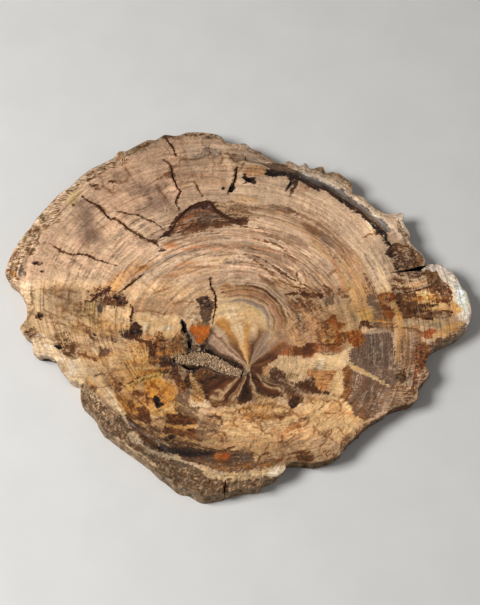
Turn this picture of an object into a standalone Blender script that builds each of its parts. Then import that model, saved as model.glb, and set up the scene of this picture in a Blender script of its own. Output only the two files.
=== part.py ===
"""Petrified wood slice, lying flat: a sawn and polished cross-section of a fossil trunk.

The slab is one stone whose bark edge was left natural, and a crack beside the pith is
lined with a crust of quartz crystals. Frame: the origin is under the middle of the
slice's box, +X runs along its length, +Z is up and the polished face is on top.
"""
import math
import random

import bmesh
import bpy
import numpy as np

MM = 0.001

# Driving dimensions, in millimetres
THICKNESS = 17.0
OUTLINE_STEPS = 280
STEPS_BETWEEN_POINTS = 8
LIP_SMOOTHING = 5.0
SAW_BEVEL = 0.7
BARK_FLARE = 0.8
BARK_RELIEF = 0.8
GAP = 0.3

# Levels of the bark wall: height as a share of the thickness, and the shares of the lean, the
# flutes and the knots that show there
WALL_LEVELS = [(0.27, 0.75, 1.0, 0.3), (0.52, 0.4, 0.8, -0.5), (0.78, 0.1, 0.6, 0.2)]

# Rings over the bark's top: share of the band's width in from the rim, how far the outline is
# smoothed, and the shares of the drop and of its roughness
BARK_RINGS = [(0.45, 3.0, 0.55, -0.35), (0.85, 6.0, 0.45, 0.2), (1.0, 7.0, 0.0, 0.0)]
RIM_ROUNDING = 0.2

# The polished face's rim, clockwise from the left, seen from above, in millimetres
RIM = [
    (-181.7, 29.5), (-179.5, 40), (-175, 50.5), (-170, 60), (-165, 68), (-160.5, 76), (-155, 84),
    (-148, 94), (-143, 100), (-137, 105), (-130, 113), (-120, 123), (-110, 129), (-102, 134),
    (-97, 141), (-92, 141), (-84, 146), (-78, 150), (-73, 152.5), (-67, 152.5), (-60, 157.5),
    (-50, 156.5), (-41, 160), (-25, 159.5), (-15, 156.5), (-9, 150), (0, 148.5),
    (6, 148.8), (11, 144), (17, 141.5), (24, 136), (31, 130.5), (39, 129.5), (42, 131.8),
    (51, 126.5), (55, 129.5), (60, 124), (69, 126), (72, 120.5), (80, 120.5), (86, 116.5),
    (92, 110), (92.5, 103), (94, 99.5), (101.5, 96), (106, 90), (115, 82.3), (123, 79.8),
    (133, 80.8), (132.5, 72), (137, 62), (136.5, 54.5), (142, 46.5), (147.5, 38.5), (146.8, 27),
    (152, 27.5), (158.5, 33), (163, 30.5), (170, 24), (175, 13), (179, 6.5), (181.3, -8),
    (178.5, -20), (170, -29), (162, -34), (150, -41), (145.5, -49), (143, -58),
    (146, -62), (142.5, -70), (137.5, -74), (136, -84), (131, -88.5), (124, -90.5), (117, -93),
    (106, -101), (98, -106), (94, -110.5), (86.5, -118), (80, -124), (76, -131), (67.5, -135.5),
    (57, -138), (45, -137), (37, -139), (34, -145), (28, -149.5), (19, -152.5), (16, -157),
    (10, -157.5), (0, -159), (-8, -161.3), (-20, -163.7), (-27, -163.7), (-36, -158.5),
    (-43, -157.3), (-53, -149), (-58, -145.5), (-66, -137.5), (-76, -129.5), (-87, -121),
    (-97.5, -112), (-102.5, -106.5), (-105.5, -100.5), (-109.3, -95.5), (-113, -92), (-117.3, -87.5),
    (-118, -79), (-120, -71), (-126.5, -69), (-134, -61), (-139.5, -50.5), (-145, -48.5),
    (-155.5, -46.5), (-157, -40), (-157, -35.5), (-161, -32), (-165.7, -28.5), (-167.3, -24),
    (-164.5, -19.5), (-162.5, -15), (-163.3, -7), (-163.7, -2), (-166.7, 2.5), (-169.7, 8.5),
    (-173.2, 14), (-179.5, 19), (-182.3, 24),
]

# Round the edge, by direction in degrees from +X: how wide the unpolished bark is, how far it
# drops below the polish, how far the wall leans in at the saw cut below, and how lumpy it is
EDGE = [
    (0, 8, 2.0, 2.0, 1.0), (15, 6, 1.5, 1.5, 0.7), (30, 6, 1.5, 1.0, 0.8), (60, 8, 1.5, 1.0, 1.0),
    (90, 5, 1.0, 1.0, 0.7), (110, 5, 0.8, 1.5, 0.6), (135, 9, 1.0, 1.5, 0.7),
    (160, 11, 1.2, 2.0, 0.7), (172, 10, 1.2, 2.0, 0.7), (185, 3, 0.6, 2.5, 0.6),
    (197, 2, 0.5, 3.5, 0.6), (208, 2, 0.5, 2.5, 0.6), (215, 8, 1.2, 1.5, 0.9),
    (225, 16, 1.6, 0.5, 1.0), (245, 18, 1.8, 1.0, 1.0), (262, 20, 1.8, 0.0, 1.0),
    (272, 14, 1.6, 1.5, 0.9), (279, 9, 1.4, 1.5, 0.9), (283, 5, 1.0, 5.0, 0.9),
    (288, 3, 0.8, 2.0, 0.9), (300, 4, 1.5, 3.0, 1.1), (320, 4, 1.2, 3.0, 1.0),
    (338, 6, 1.5, 2.5, 1.1), (350, 5, 1.5, 1.2, 1.0),
]

# The smooth channel inside the upper right bark: its middle line and its size
CHANNEL = [
    (6, 134), (20, 131), (30, 126), (40, 124), (48, 122), (52, 118), (60, 113), (70, 109),
    (80, 102), (90, 94), (97, 88), (105, 80), (113, 72), (118, 66), (122, 60),
]
CHANNEL_RADIUS = 4.6
CHANNEL_DEPTH = 2.6
CHANNEL_TIP = 0.72

# Open cracks in the polished face: points along each, its greatest width and its depth
CRACKS = {
    "long_crack": ([(-126, 97), (-120, 91.5), (-111, 86), (-103, 76), (-95, 73.5), (-85, 64),
                    (-76, 58), (-66, 52.5), (-62, 48.5)], 1.8, 3.5),
    "upper_crack": ([(-98, 82), (-90, 80), (-80, 78.5), (-75, 76.5), (-66, 71.5), (-56, 62.5)], 1.2, 2.5),
    "left_crack": ([(-146, 49), (-138, 44.5), (-130, 41.7), (-120, 41), (-110, 36), (-94, 31)], 1.4, 3.0),
    "rim_crack": ([(-60, 156), (-56, 149), (-53, 143), (-50.5, 136)], 1.2, 3.5),
    "top_crack": ([(-63, 134), (-55, 126.5), (-53, 117), (-49, 106), (-46.5, 101), (-50, 91), (-47, 84)],
                  1.5, 3.0),
    "blob_crack": ([(-1, 126), (-1.5, 117), (-4, 107), (-8, 100)], 1.5, 3.0),
    "slant_crack": ([(-73, 24), (-79, 18.5), (-85, 13), (-96, 4)], 1.2, 2.5),
    "pith_crack": ([(-21.5, 21), (-21, 13), (-17.5, 6), (-17, -2), (-19, -21)], 1.3, 2.5),
    "arch_crack": ([(-54, 62), (-47, 75), (-38, 86), (-24, 92), (-18, 85), (-8, 76), (4, 74)], 1.3, 2.0),
    "right_crack": ([(124, 5), (137, 7.5), (151, 12)], 1.0, 2.0),
    "lower_crack": ([(6, -66), (18, -71), (31, -77)], 1.6, 2.5),
}
RIM_NOTCH = ([(-8.6, -153), (-9, -160), (-8.7, -167)], 1.2, 14.0)
# The share of a crack's width at its tips, at its mouth above the polish and on its floor
TIP_SHARE = 0.35
MOUTH_SPREAD = 1.3
FLOOR_SPREAD = 0.25
CLEARANCE = 1.0

# The open crack beside the pith: stations along it, with half its width across
HOLLOW = [
    (-49, -53, 2.0), (-43, -53, 4.8), (-36, -54.2, 8.2), (-28, -52.8, 7.6), (-20, -55, 6.6),
    (-12, -59, 6.0), (-4, -62.5, 4.8), (4, -65.5, 2.6),
]
HOLLOW_DEPTH = 8.5
FULL_DEPTH_FROM = 6.0
# Share of that half width left at the floor, on the upper side and on the lower
STEEP_SIDE = 0.92
SLOPING_SIDE = 0.5

# The quartz crust in it: how far its tips lie below the polish, the share of the crack's width
# that it fills, and its crystals
CRUST_TOP = 1.2
CRUST_SHARE = 0.6
CRYSTALS = 72
CRYSTAL_RADIUS = 1.15
CRYSTAL_HEIGHT = 3.2
CRYSTAL_TIP = 0.15
CRYSTAL_ROOM = 4.0
CRYSTAL_SPACING = 1.0
TIP_SCATTER = 0.9
BASE_BELOW_TIPS = 1.6
LEAN = 0.2

# Natural pits in the face: x, y, half length, half width, turn in degrees, depth
PITS = [
    (-159, 34, 3.2, 1.8, 10, 1.8), (-154, 26, 1.8, 1.4, 0, 1.5), (-153, -14, 2.6, 2.0, -20, 1.8),
    (-137, -42, 3.0, 1.6, -30, 1.8), (-113, -30, 2.6, 1.8, -50, 1.6), (-92, 1, 6.0, 2.4, -15, 2.4),
    (-79, -29, 4.0, 3.0, 30, 2.0), (-41, -24, 1.6, 6.5, 8, 2.6), (-36.5, -40, 1.5, 4.5, 12, 2.6),
    (-22, -45.5, 3.2, 1.6, -15, 2.2), (-60, -90, 2.6, 3.0, 0, 2.0), (-5, 104, 2.2, 3.4, -20, 2.4),
    (-11.5, 104.5, 1.6, 1.6, 0, 1.8), (-60, 45, 3.4, 1.0, 10, 1.5), (10, 113, 3.8, 2.6, 0, 2.4),
    (42, 107, 1.3, 6.0, -30, 1.8), (85, 92, 1.8, 3.0, 30, 1.8), (-49, -118, 3.0, 2.4, 0, 1.8),
]
PIT_SWELL = 1.1
PIT_ROUGHNESS = 0.16

SLAB_COLOUR = (0.52, 0.36, 0.22, 1.0)
QUARTZ_COLOUR = (0.46, 0.44, 0.40, 1.0)


def clear_scene():
    for thing in list(bpy.data.objects):
        bpy.data.objects.remove(thing, do_unlink=True)


def new_collection(name):
    group = bpy.data.collections.new(name)
    bpy.context.scene.collection.children.link(group)
    return group


def stone(name, colour, roughness):
    material = bpy.data.materials.new(name)
    material.use_nodes = True
    shader = material.node_tree.nodes["Principled BSDF"]
    shader.inputs["Base Color"].default_value = colour
    shader.inputs["Roughness"].default_value = roughness
    shader.inputs["Metallic"].default_value = 0.0
    return material


def smooth_path(points, closed, per_span):
    """Cubic through the points, each tangent taken from its two neighbours by chord length."""
    path = np.array(points, float)
    if closed:
        path = np.vstack([path[-1], path, path[:2]])
    else:
        path = np.vstack([2 * path[0] - path[1], path, 2 * path[-1] - path[-2]])
    chord = np.maximum(np.linalg.norm(np.diff(path, axis=0), axis=1), 1e-6)
    place = np.concatenate([[0.0], np.cumsum(chord)])
    tangent = (path[2:] - path[:-2]) / (place[2:] - place[:-2])[:, None]
    t = (np.arange(per_span) / per_span)[None, :, None]
    start, end, span = path[1:-2, None], path[2:-1, None], chord[1:-1, None, None]
    left, right = tangent[:-1, None] * span, tangent[1:, None] * span
    curve = ((2 * t**3 - 3 * t**2 + 1) * start + (t**3 - 2 * t**2 + t) * left
             + (3 * t**2 - 2 * t**3) * end + (t**3 - t**2) * right)
    curve = curve.reshape(-1, path.shape[1])
    return curve if closed else np.vstack([curve, path[-2]])


def even_steps(curve, count):
    """The closed curve cut into equal lengths."""
    loop = np.vstack([curve, curve[:1]])
    run = np.concatenate([[0.0], np.cumsum(np.linalg.norm(np.diff(loop, axis=0), axis=1))])
    at = np.arange(count) / count * run[-1]
    return np.stack([np.interp(at, run, loop[:, k]) for k in range(2)], axis=1)


def rounded(loop, width):
    """The closed loop with every wave shorter than about the width taken out."""
    length = np.linalg.norm(np.roll(loop, -1, axis=0) - loop, axis=1).sum()
    wave = np.fft.fft(loop[:, 0] + 1j * loop[:, 1])
    count = np.fft.fftfreq(len(loop), 1 / len(loop))
    wave = np.fft.ifft(wave * np.exp(-0.5 * (2 * np.pi * count * width / length) ** 2))
    return np.stack([wave.real, wave.imag], axis=1)


def outward(loop):
    """Unit vectors pointing out of an anticlockwise loop."""
    along = np.roll(loop, -1, axis=0) - np.roll(loop, 1, axis=0)
    along /= np.linalg.norm(along, axis=1)[:, None]
    return np.stack([along[:, 1], -along[:, 0]], axis=1)


def ripple(turn, counts, seed):
    """Sine waves with whole counts round the slice and drawn phases, about 1 high together."""
    draw = random.Random(seed)
    waves = [np.sin(2 * np.pi * (count * turn + draw.random())) for count in counts]
    return sum(waves) / math.sqrt(len(counts))


def edge_values(loop):
    """The edge table read at each point of the loop by its direction."""
    table = np.array(EDGE, float)
    angle = np.degrees(np.arctan2(loop[:, 1], loop[:, 0])) % 360
    return [np.interp(angle, table[:, 0], table[:, k], period=360) for k in range(1, 5)]


def slab_rings():
    """Closed rings from the saw cut below, up the bark wall and in over the rim to the polish."""
    rim = even_steps(smooth_path(RIM, True, STEPS_BETWEEN_POINTS), OUTLINE_STEPS)[::-1]
    out = outward(rounded(rim, LIP_SMOOTHING))
    rim = rim + out * BARK_FLARE
    band, drop, lean, lumpy = edge_values(rim)
    turn = np.arange(OUTLINE_STEPS) / OUTLINE_STEPS
    flutes = ripple(turn, (61, 83, 97, 139), 3) * lumpy * BARK_RELIEF
    knots = ripple(turn, (23, 37, 52, 71), 5) * lumpy * BARK_RELIEF
    grain = ripple(turn, (44, 67, 90, 121), 9)

    def level(shift, height):
        return np.column_stack([rim + out * shift[:, None], np.broadcast_to(height, turn.shape)])

    def inner(share, width, height):
        """A ring inside the rim, drawn towards the middle and less wavy than the rim."""
        loop = rounded(rim, width)
        reach = np.linalg.norm(loop, axis=1)
        return np.column_stack([loop * (1 - band * share / reach)[:, None],
                                np.broadcast_to(height, turn.shape)])

    rings = [level(-lean - SAW_BEVEL, 0.0), level(-lean, SAW_BEVEL)]
    for height, leaning, fluted, knotted in WALL_LEVELS:
        rings.append(level(-leaning * lean + fluted * flutes + knotted * knots, height * THICKNESS))
    rim_drop = drop * (1 - RIM_ROUNDING * grain) + RIM_ROUNDING
    rings.append(level(np.full(OUTLINE_STEPS, -RIM_ROUNDING), THICKNESS - rim_drop))
    for share, width, dropped, rough in BARK_RINGS:
        rings.append(inner(share, width, THICKNESS - np.maximum(drop * (dropped + rough * grain), 0)))
    return rings


def lofted(name, rings):
    """Solid through closed rings of equal count, anticlockwise and rising, capped at both ends."""
    mesh = bpy.data.meshes.new(name)
    points = np.vstack(rings) * MM
    count = len(rings[0])
    low = np.arange(count * (len(rings) - 1)).reshape(-1, count)
    beside = np.roll(low, -1, axis=1)
    quads = np.stack([low, beside, beside + count, low + count], axis=-1).reshape(-1, 4)
    bottom = list(range(count))[::-1]
    top = list(range(len(points) - count, len(points)))
    mesh.from_pydata(points.tolist(), [], quads.tolist() + [bottom, top])
    mesh.validate()
    return bpy.data.objects.new(name, mesh)


def wedge(line, width, depth):
    """Rings of a four-cornered wedge along a path, wide at the top and tapered at both ends."""
    path = smooth_path(line, False, 2)
    along = np.gradient(path, axis=0)
    along /= np.linalg.norm(along, axis=1)[:, None]
    side = np.stack([-along[:, 1], along[:, 0]], axis=1)
    swell = TIP_SHARE + (1 - TIP_SHARE) * np.sin(np.pi * np.linspace(0, 1, len(path))) ** 0.5
    rings = []
    for place, across, size in zip(path, side, swell):
        mouth = across * size * width / 2 * MOUTH_SPREAD
        floor = across * size * width / 2 * FLOOR_SPREAD
        rings.append(np.array([
            [*(place - mouth), THICKNESS + CLEARANCE], [*(place + mouth), THICKNESS + CLEARANCE],
            [*(place + floor), THICKNESS - depth * size], [*(place - floor), THICKNESS - depth * size],
        ]))
    return rings


def joined(name, things, group):
    """One mesh object that holds several loose solids, used as a cutter."""
    builder = bmesh.new()
    for thing in things:
        builder.from_mesh(thing.data)
        bpy.data.objects.remove(thing)
    bmesh.ops.recalc_face_normals(builder, faces=builder.faces)
    mesh = bpy.data.meshes.new(name)
    builder.to_mesh(mesh)
    builder.free()
    cutter = bpy.data.objects.new(name, mesh)
    group.objects.link(cutter)
    cutter.hide_render = True
    cutter.display_type = "WIRE"
    return cutter


def crack_cutters(group):
    cutters = [lofted(name, wedge(*CRACKS[name])) for name in CRACKS]
    cutters.append(lofted("rim_notch", wedge(*RIM_NOTCH)))
    return joined("cracks", cutters, group)


def pit_cutters(group):
    """Lumpy flattened balls sunk into the face."""
    draw = random.Random(17)
    pits = []
    for number, (x, y, half_length, half_width, turn, depth) in enumerate(PITS):
        builder = bmesh.new()
        bmesh.ops.create_icosphere(builder, subdivisions=2, radius=1.0)
        spin = math.radians(turn)
        for corner in builder.verts:
            a, b, c = corner.co * (1 + draw.uniform(-PIT_ROUGHNESS, PIT_ROUGHNESS))
            a, b, c = a * half_length * PIT_SWELL, b * half_width * PIT_SWELL, c * (depth + CLEARANCE)
            corner.co = ((x + a * math.cos(spin) - b * math.sin(spin)) * MM,
                         (y + a * math.sin(spin) + b * math.cos(spin)) * MM,
                         (THICKNESS + CLEARANCE + c) * MM)
        mesh = bpy.data.meshes.new(f"pit_{number}")
        builder.to_mesh(mesh)
        builder.free()
        pits.append(bpy.data.objects.new(f"pit_{number}", mesh))
    return joined("pits", pits, group)


def channel_cutter(group):
    """A round bar laid along the channel's middle line, its tips thinner."""
    path = smooth_path(CHANNEL, False, 2)
    share = np.linspace(0, 1, len(path))
    curve = bpy.data.curves.new("channel_line", "CURVE")
    curve.dimensions = "3D"
    curve.bevel_depth = CHANNEL_RADIUS * MM
    curve.bevel_resolution = 3
    curve.use_fill_caps = True
    spline = curve.splines.new("POLY")
    spline.points.add(len(path) - 1)
    height = THICKNESS + CHANNEL_RADIUS - CHANNEL_DEPTH
    for point, (x, y), at in zip(spline.points, path, share):
        point.co = (x * MM, y * MM, height * MM, 1.0)
        point.radius = CHANNEL_TIP + (1 - CHANNEL_TIP) * math.sin(math.pi * at) ** 0.5
    bar = bpy.data.objects.new("channel_line", curve)
    group.objects.link(bar)
    bpy.context.view_layer.update()
    mesh = bpy.data.meshes.new_from_object(bar.evaluated_get(bpy.context.evaluated_depsgraph_get()))
    bpy.data.objects.remove(bar)
    solid = bmesh.new()
    solid.from_mesh(mesh)
    bmesh.ops.remove_doubles(solid, verts=solid.verts, dist=0.00005)
    solid.to_mesh(mesh)
    solid.free()
    return joined("channel", [bpy.data.objects.new("channel_bar", mesh)], group)


def hollow_rings(shrink, share, top):
    """Rings across the open crack: steep on the upper side, sloping on the lower, bowl-like floor.

    A share of 1 gives the whole opening, and less keeps only the upper side's part of it.
    """
    stations = smooth_path(HOLLOW, False, 2)
    along = np.gradient(stations[:, :2], axis=0)
    along /= np.linalg.norm(along, axis=1)[:, None]
    side = np.stack([-along[:, 1], along[:, 0]], axis=1)
    rings = []
    for place, across, half in zip(stations[:, :2], side, stations[:, 2]):
        floor = THICKNESS - HOLLOW_DEPTH * min(1.0, half / FULL_DEPTH_FROM) + shrink
        upper = half * STEEP_SIDE - shrink
        if share < 1:
            near_top = near_floor = half * (STEEP_SIDE - 2 * share)
            far = upper
        else:
            near_top, near_floor = -half, -half * SLOPING_SIDE
            far = half
        rings.append(np.array([
            [*(place + across * near_top), top],
            [*(place + across * far), top],
            [*(place + across * upper), floor],
            [*(place + across * near_floor), floor],
        ]))
    return rings


def crystal(x, y, height, radius, tilt, spin):
    """A six-sided quartz point with a blunt tip, leaning from upright."""
    solid = bmesh.new()
    bmesh.ops.create_cone(solid, cap_ends=True, segments=6, radius1=radius,
                          radius2=radius * CRYSTAL_TIP, depth=CRYSTAL_HEIGHT)
    lean_x, lean_y = tilt
    for corner in solid.verts:
        a, b, c = corner.co
        a, b = a * math.cos(spin) - b * math.sin(spin), a * math.sin(spin) + b * math.cos(spin)
        rise = c + CRYSTAL_HEIGHT / 2
        corner.co = ((x + a + lean_x * rise) * MM, (y + b + lean_y * rise) * MM,
                     (height + c - CRYSTAL_HEIGHT / 2) * MM)
    mesh = bpy.data.meshes.new("crystal")
    solid.to_mesh(mesh)
    solid.free()
    return bpy.data.objects.new("crystal", mesh)


def crust_crystals(group):
    """Quartz points scattered evenly over the upper side of the open crack."""
    draw = random.Random(41)
    stations = smooth_path(HOLLOW, False, 2)
    tips = []
    places = []
    while len(tips) < CRYSTALS:
        at = draw.uniform(1, len(stations) - 2)
        low = int(at)
        here = stations[low] + (stations[low + 1] - stations[low]) * (at - low)
        step = stations[low + 1] - stations[low]
        across = np.array([-step[1], step[0]]) / math.hypot(step[0], step[1])
        radius = CRYSTAL_RADIUS * draw.uniform(0.75, 1.3)
        far = here[2] * STEEP_SIDE - GAP - radius - LEAN * CRYSTAL_HEIGHT / 2
        near = here[2] * (STEEP_SIDE - 2 * CRUST_SHARE)
        if here[2] < CRYSTAL_ROOM or far < near:
            continue
        x, y = here[:2] + across * draw.uniform(near, far)
        if any(math.hypot(x - a, y - b) < CRYSTAL_SPACING for a, b in places):
            continue
        places.append((x, y))
        tilt = (draw.uniform(-LEAN, LEAN), draw.uniform(-LEAN, LEAN))
        height = THICKNESS - CRUST_TOP + draw.uniform(-TIP_SCATTER, TIP_SCATTER)
        tips.append(crystal(x, y, height, radius, tilt, draw.uniform(0, math.pi / 3)))
    return joined("crystal_points", tips, group)


def cut(thing, cutter):
    change = thing.modifiers.new(cutter.name, "BOOLEAN")
    change.operation = "DIFFERENCE"
    change.solver = "EXACT"
    change.object = cutter


def build_slab(parts, cutters):
    slab = lofted("petrified_wood_slice", slab_rings())
    slab.data.materials.append(stone("polished_wood_stone", SLAB_COLOUR, 0.25))
    parts.objects.link(slab)
    hollow = lofted("hollow", hollow_rings(0.0, 1.0, THICKNESS + CLEARANCE))
    for cutter in (channel_cutter(cutters), joined("open_crack", [hollow], cutters),
                   crack_cutters(cutters), pit_cutters(cutters)):
        cut(slab, cutter)
    return slab


def build_druse(parts, cutters):
    rings = hollow_rings(GAP, CRUST_SHARE, THICKNESS - CRUST_TOP - BASE_BELOW_TIPS)
    crust = lofted("quartz_druse", rings[1:-1])
    crust.data.materials.append(stone("quartz_crystal", QUARTZ_COLOUR, 0.3))
    parts.objects.link(crust)
    grow = crust.modifiers.new("crystals", "BOOLEAN")
    grow.operation = "UNION"
    grow.solver = "EXACT"
    grow.use_self = True
    grow.object = crust_crystals(cutters)
    return crust


def build():
    clear_scene()
    parts = new_collection("petrified wood slice")
    cutters = new_collection("cutters")
    build_slab(parts, cutters)
    build_druse(parts, cutters)


build()
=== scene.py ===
"""Looks of the petrified wood slice.

The CAD slab is replaced by a fine one of the same shape, with the same open cracks cut into it.
Its figure is painted: patches, lines and sheaves of lines are laid one over another on the slab's
points, and the material adds the fan of rays, the rings round the dome, the veins and the finer
grain. The crack beside the pith gets a crust of small quartz points. Lengths in the tables are
millimetres, those in the material metres, and colours are sRGB from 0 to 255.
"""
import math
import random

import bmesh
import bpy
import numpy as np
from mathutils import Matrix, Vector


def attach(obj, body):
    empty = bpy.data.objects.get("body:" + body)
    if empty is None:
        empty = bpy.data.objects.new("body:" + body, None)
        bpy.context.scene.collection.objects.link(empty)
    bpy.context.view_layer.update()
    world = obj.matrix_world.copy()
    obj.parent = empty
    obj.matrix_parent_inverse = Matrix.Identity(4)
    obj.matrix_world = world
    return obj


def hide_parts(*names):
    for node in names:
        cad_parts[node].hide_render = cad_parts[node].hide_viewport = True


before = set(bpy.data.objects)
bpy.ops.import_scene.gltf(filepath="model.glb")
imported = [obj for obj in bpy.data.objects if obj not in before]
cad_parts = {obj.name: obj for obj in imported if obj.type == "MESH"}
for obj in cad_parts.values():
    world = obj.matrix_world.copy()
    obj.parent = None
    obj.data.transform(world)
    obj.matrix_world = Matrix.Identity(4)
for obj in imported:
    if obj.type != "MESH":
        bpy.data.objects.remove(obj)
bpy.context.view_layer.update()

MM = 0.001
# First seeds of the cracks, the patches, the sheaves and the strokes
CRACK_SEED, PATCH_SEED, SHEAF_SEED, STROKE_SEED = 200, 100, 300, 500
# Points that are worked through at once
BLOCK = 8000
THICKNESS = 17.0

# The slab's face is a square grid of 2 GRID + 1 points a side, and its rim has 8 GRID points
GRID = 132
# Steps of the curve between two points of the rim, and the size of the waves that its lip leaves out
RIM_STEPS, LIP_SMOOTHING = 8, 5.0
# How fast the rim's short waves fade on the way in
FADE = 0.16
# The bevel at the cut, how far the bark stands out, and how strong its flutes and its rounding are
SAW_BEVEL, BARK_FLARE, BARK_RELIEF, RIM_ROUNDING = 0.7, 0.8, 0.8, 0.2

# The slab's outline, clockwise from the left
RIM = [
    (-181.7, 29.5), (-179.5, 40), (-175, 50.5), (-170, 60), (-165, 68), (-160.5, 76), (-155, 84),
    (-148, 94), (-143, 100), (-137, 105), (-130, 113), (-120, 123), (-110, 129), (-102, 134),
    (-97, 141), (-92, 141), (-84, 146), (-78, 150), (-73, 152.5), (-67, 152.5), (-60, 157.5),
    (-50, 156.5), (-41, 160), (-25, 159.5), (-15, 156.5), (-9, 150), (0, 148.5),
    (6, 148.8), (11, 144), (17, 141.5), (24, 136), (31, 130.5), (39, 129.5), (42, 131.8),
    (51, 126.5), (55, 129.5), (60, 124), (69, 126), (72, 120.5), (80, 120.5), (86, 116.5),
    (92, 110), (92.5, 103), (94, 99.5), (101.5, 96), (106, 90), (115, 82.3), (123, 79.8),
    (133, 80.8), (132.5, 72), (137, 62), (136.5, 54.5), (142, 46.5), (147.5, 38.5), (146.8, 27),
    (152, 27.5), (158.5, 33), (163, 30.5), (170, 24), (175, 13), (179, 6.5), (181.3, -8),
    (178.5, -20), (170, -29), (162, -34), (150, -41), (145.5, -49), (143, -58),
    (146, -62), (142.5, -70), (137.5, -74), (136, -84), (131, -88.5), (124, -90.5), (117, -93),
    (106, -101), (98, -106), (94, -110.5), (86.5, -118), (80, -124), (76, -131), (67.5, -135.5),
    (57, -138), (45, -137), (37, -139), (34, -145), (28, -149.5), (19, -152.5), (16, -157),
    (10, -157.5), (0, -159), (-8, -161.3), (-20, -163.7), (-27, -163.7), (-36, -158.5),
    (-43, -157.3), (-53, -149), (-58, -145.5), (-66, -137.5), (-76, -129.5), (-87, -121),
    (-97.5, -112), (-102.5, -106.5), (-105.5, -100.5), (-109.3, -95.5), (-113, -92), (-117.3, -87.5),
    (-118, -79), (-120, -71), (-126.5, -69), (-134, -61), (-139.5, -50.5), (-145, -48.5),
    (-155.5, -46.5), (-157, -40), (-157, -35.5), (-161, -32), (-165.7, -28.5), (-167.3, -24),
    (-164.5, -19.5), (-162.5, -15), (-163.3, -7), (-163.7, -2), (-166.7, 2.5), (-169.7, 8.5),
    (-173.2, 14), (-179.5, 19), (-182.3, 24),
]

# By direction in degrees from +X: bark band width, its drop, the wall's lean and its lumpiness
EDGE = [
    (0, 8, 2.0, 2.0, 1.0), (15, 6, 1.5, 1.5, 0.7), (30, 6, 1.5, 1.0, 0.8), (60, 8, 1.5, 1.0, 1.0),
    (90, 5, 1.0, 1.0, 0.7), (110, 5, 0.8, 1.5, 0.6), (135, 9, 1.0, 1.5, 0.7),
    (160, 11, 1.2, 2.0, 0.7), (172, 10, 1.2, 2.0, 0.7), (185, 3, 0.6, 2.5, 0.6),
    (197, 2, 0.5, 3.5, 0.6), (208, 2, 0.5, 2.5, 0.6), (215, 8, 1.2, 1.5, 0.9),
    (225, 16, 1.6, 0.5, 1.0), (245, 18, 1.8, 1.0, 1.0), (262, 20, 1.8, 0.0, 1.0),
    (272, 14, 1.6, 1.5, 0.9), (279, 9, 1.4, 1.5, 0.9), (283, 5, 1.0, 5.0, 0.9),
    (288, 3, 0.8, 2.0, 0.9), (300, 4, 1.5, 3.0, 1.1), (320, 4, 1.2, 3.0, 1.0),
    (338, 6, 1.5, 2.5, 1.1), (350, 5, 1.5, 1.2, 1.0),
]

# Height share up the wall, and the shares of the lean, the flutes and the knots there
WALL = [
    (0.04, 1.0, 0.0, 0.0), (0.27, 0.75, 1.0, 0.3), (0.52, 0.4, 0.8, -0.5), (0.78, 0.1, 0.6, 0.2),
    (1.0, 0.0, 0.0, 0.0),
]
WALL_ROWS = 10
# Waves round the rim: how many of each there are, for its grain, its flutes and its knots
GRAIN_WAVES, FLUTE_WAVES, KNOT_WAVES = (44, 67, 90, 121), (61, 83, 97, 139), (23, 37, 52, 71)
# Over the bark's top: share of the band in from the rim, shares of the drop and of its roughness
BARK_TOP = [(0.0, 1.0, -0.2), (0.45, 0.55, -0.35), (0.85, 0.45, 0.2), (1.0, 0.0, 0.0)]

# The channel at the upper right: its middle line, then its size, its tips' share, sides and lumps
CHANNEL = [
    (6, 134), (20, 131), (30, 126), (40, 124), (48, 122), (52, 118), (60, 113), (70, 109),
    (80, 102), (90, 94), (97, 88), (105, 80), (113, 72), (118, 66), (122, 60),
]
CHANNEL_RADIUS = 4.6
CHANNEL_DEPTH = 2.6
CHANNEL_TIP = 0.72
CHANNEL_SIDES = 28
CHANNEL_UNEVEN, CHANNEL_LUMPS = 0.1, 7.0
# Lines painted beside its middle line: how far out, colour, width and strength. The ivory line is a
# painted highlight on the outer wall, and the shadow and black lines are painted shadow under the inner lip
CHANNEL_HIGHLIGHT_AND_SHADOW_LINES = [
    (8.0, "pale", 5.0, 0.7), (4.6, "ivory", 2.8, 0.93), (1.0, "slate", 4.5, 0.93),
    (-2.6, "shadow", 2.6, 0.92), (-5.0, "black", 2.4, 0.92),
]
CHANNEL_LINES_FROM = 9

# Line, width and depth
CRACKS = [
    ([(-126, 97), (-120, 91.5), (-111, 86), (-103, 76), (-95, 73.5), (-85, 64), (-76, 58),
      (-66, 52.5), (-62, 48.5)], 1.8, 3.5),
    ([(-98, 82), (-90, 80), (-80, 78.5), (-75, 76.5), (-66, 71.5), (-56, 62.5)], 1.0, 2.5),
    ([(-146, 49), (-138, 44.5), (-130, 41.7), (-120, 41), (-110, 36), (-94, 31)], 1.3, 3.0),
    ([(-60, 156), (-56, 149), (-53, 143), (-50.5, 136)], 1.2, 3.5),
    ([(-63, 134), (-55, 126.5), (-53, 117), (-49, 106), (-46.5, 101), (-50, 91), (-47, 84)], 1.4, 3.0),
    ([(-1, 126), (-1.5, 117), (-4, 107), (-8, 100)], 1.4, 3.0),
    ([(-73, 24), (-79, 18.5), (-85, 13), (-96, 4)], 1.2, 2.5),
    ([(-21.5, 21), (-21, 13), (-17.5, 6), (-17, -2), (-19, -21)], 1.2, 2.5),
    ([(-54, 62), (-47, 75), (-38, 86), (-24, 92), (-18, 85), (-8, 76), (4, 74)], 1.2, 2.0),
    ([(124, 5), (137, 7.5), (151, 12)], 0.9, 2.0),
    ([(6, -66), (18, -71), (31, -77)], 1.4, 2.5),
    ([(-8.6, -153), (-9, -160), (-8.7, -167)], 1.2, 14.0),
    ([(-66, 53), (-61, 57), (-57, 61)], 0.9, 2.0),
    ([(-35, 111), (-32, 104), (-29, 97)], 0.7, 1.5),
]
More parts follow.
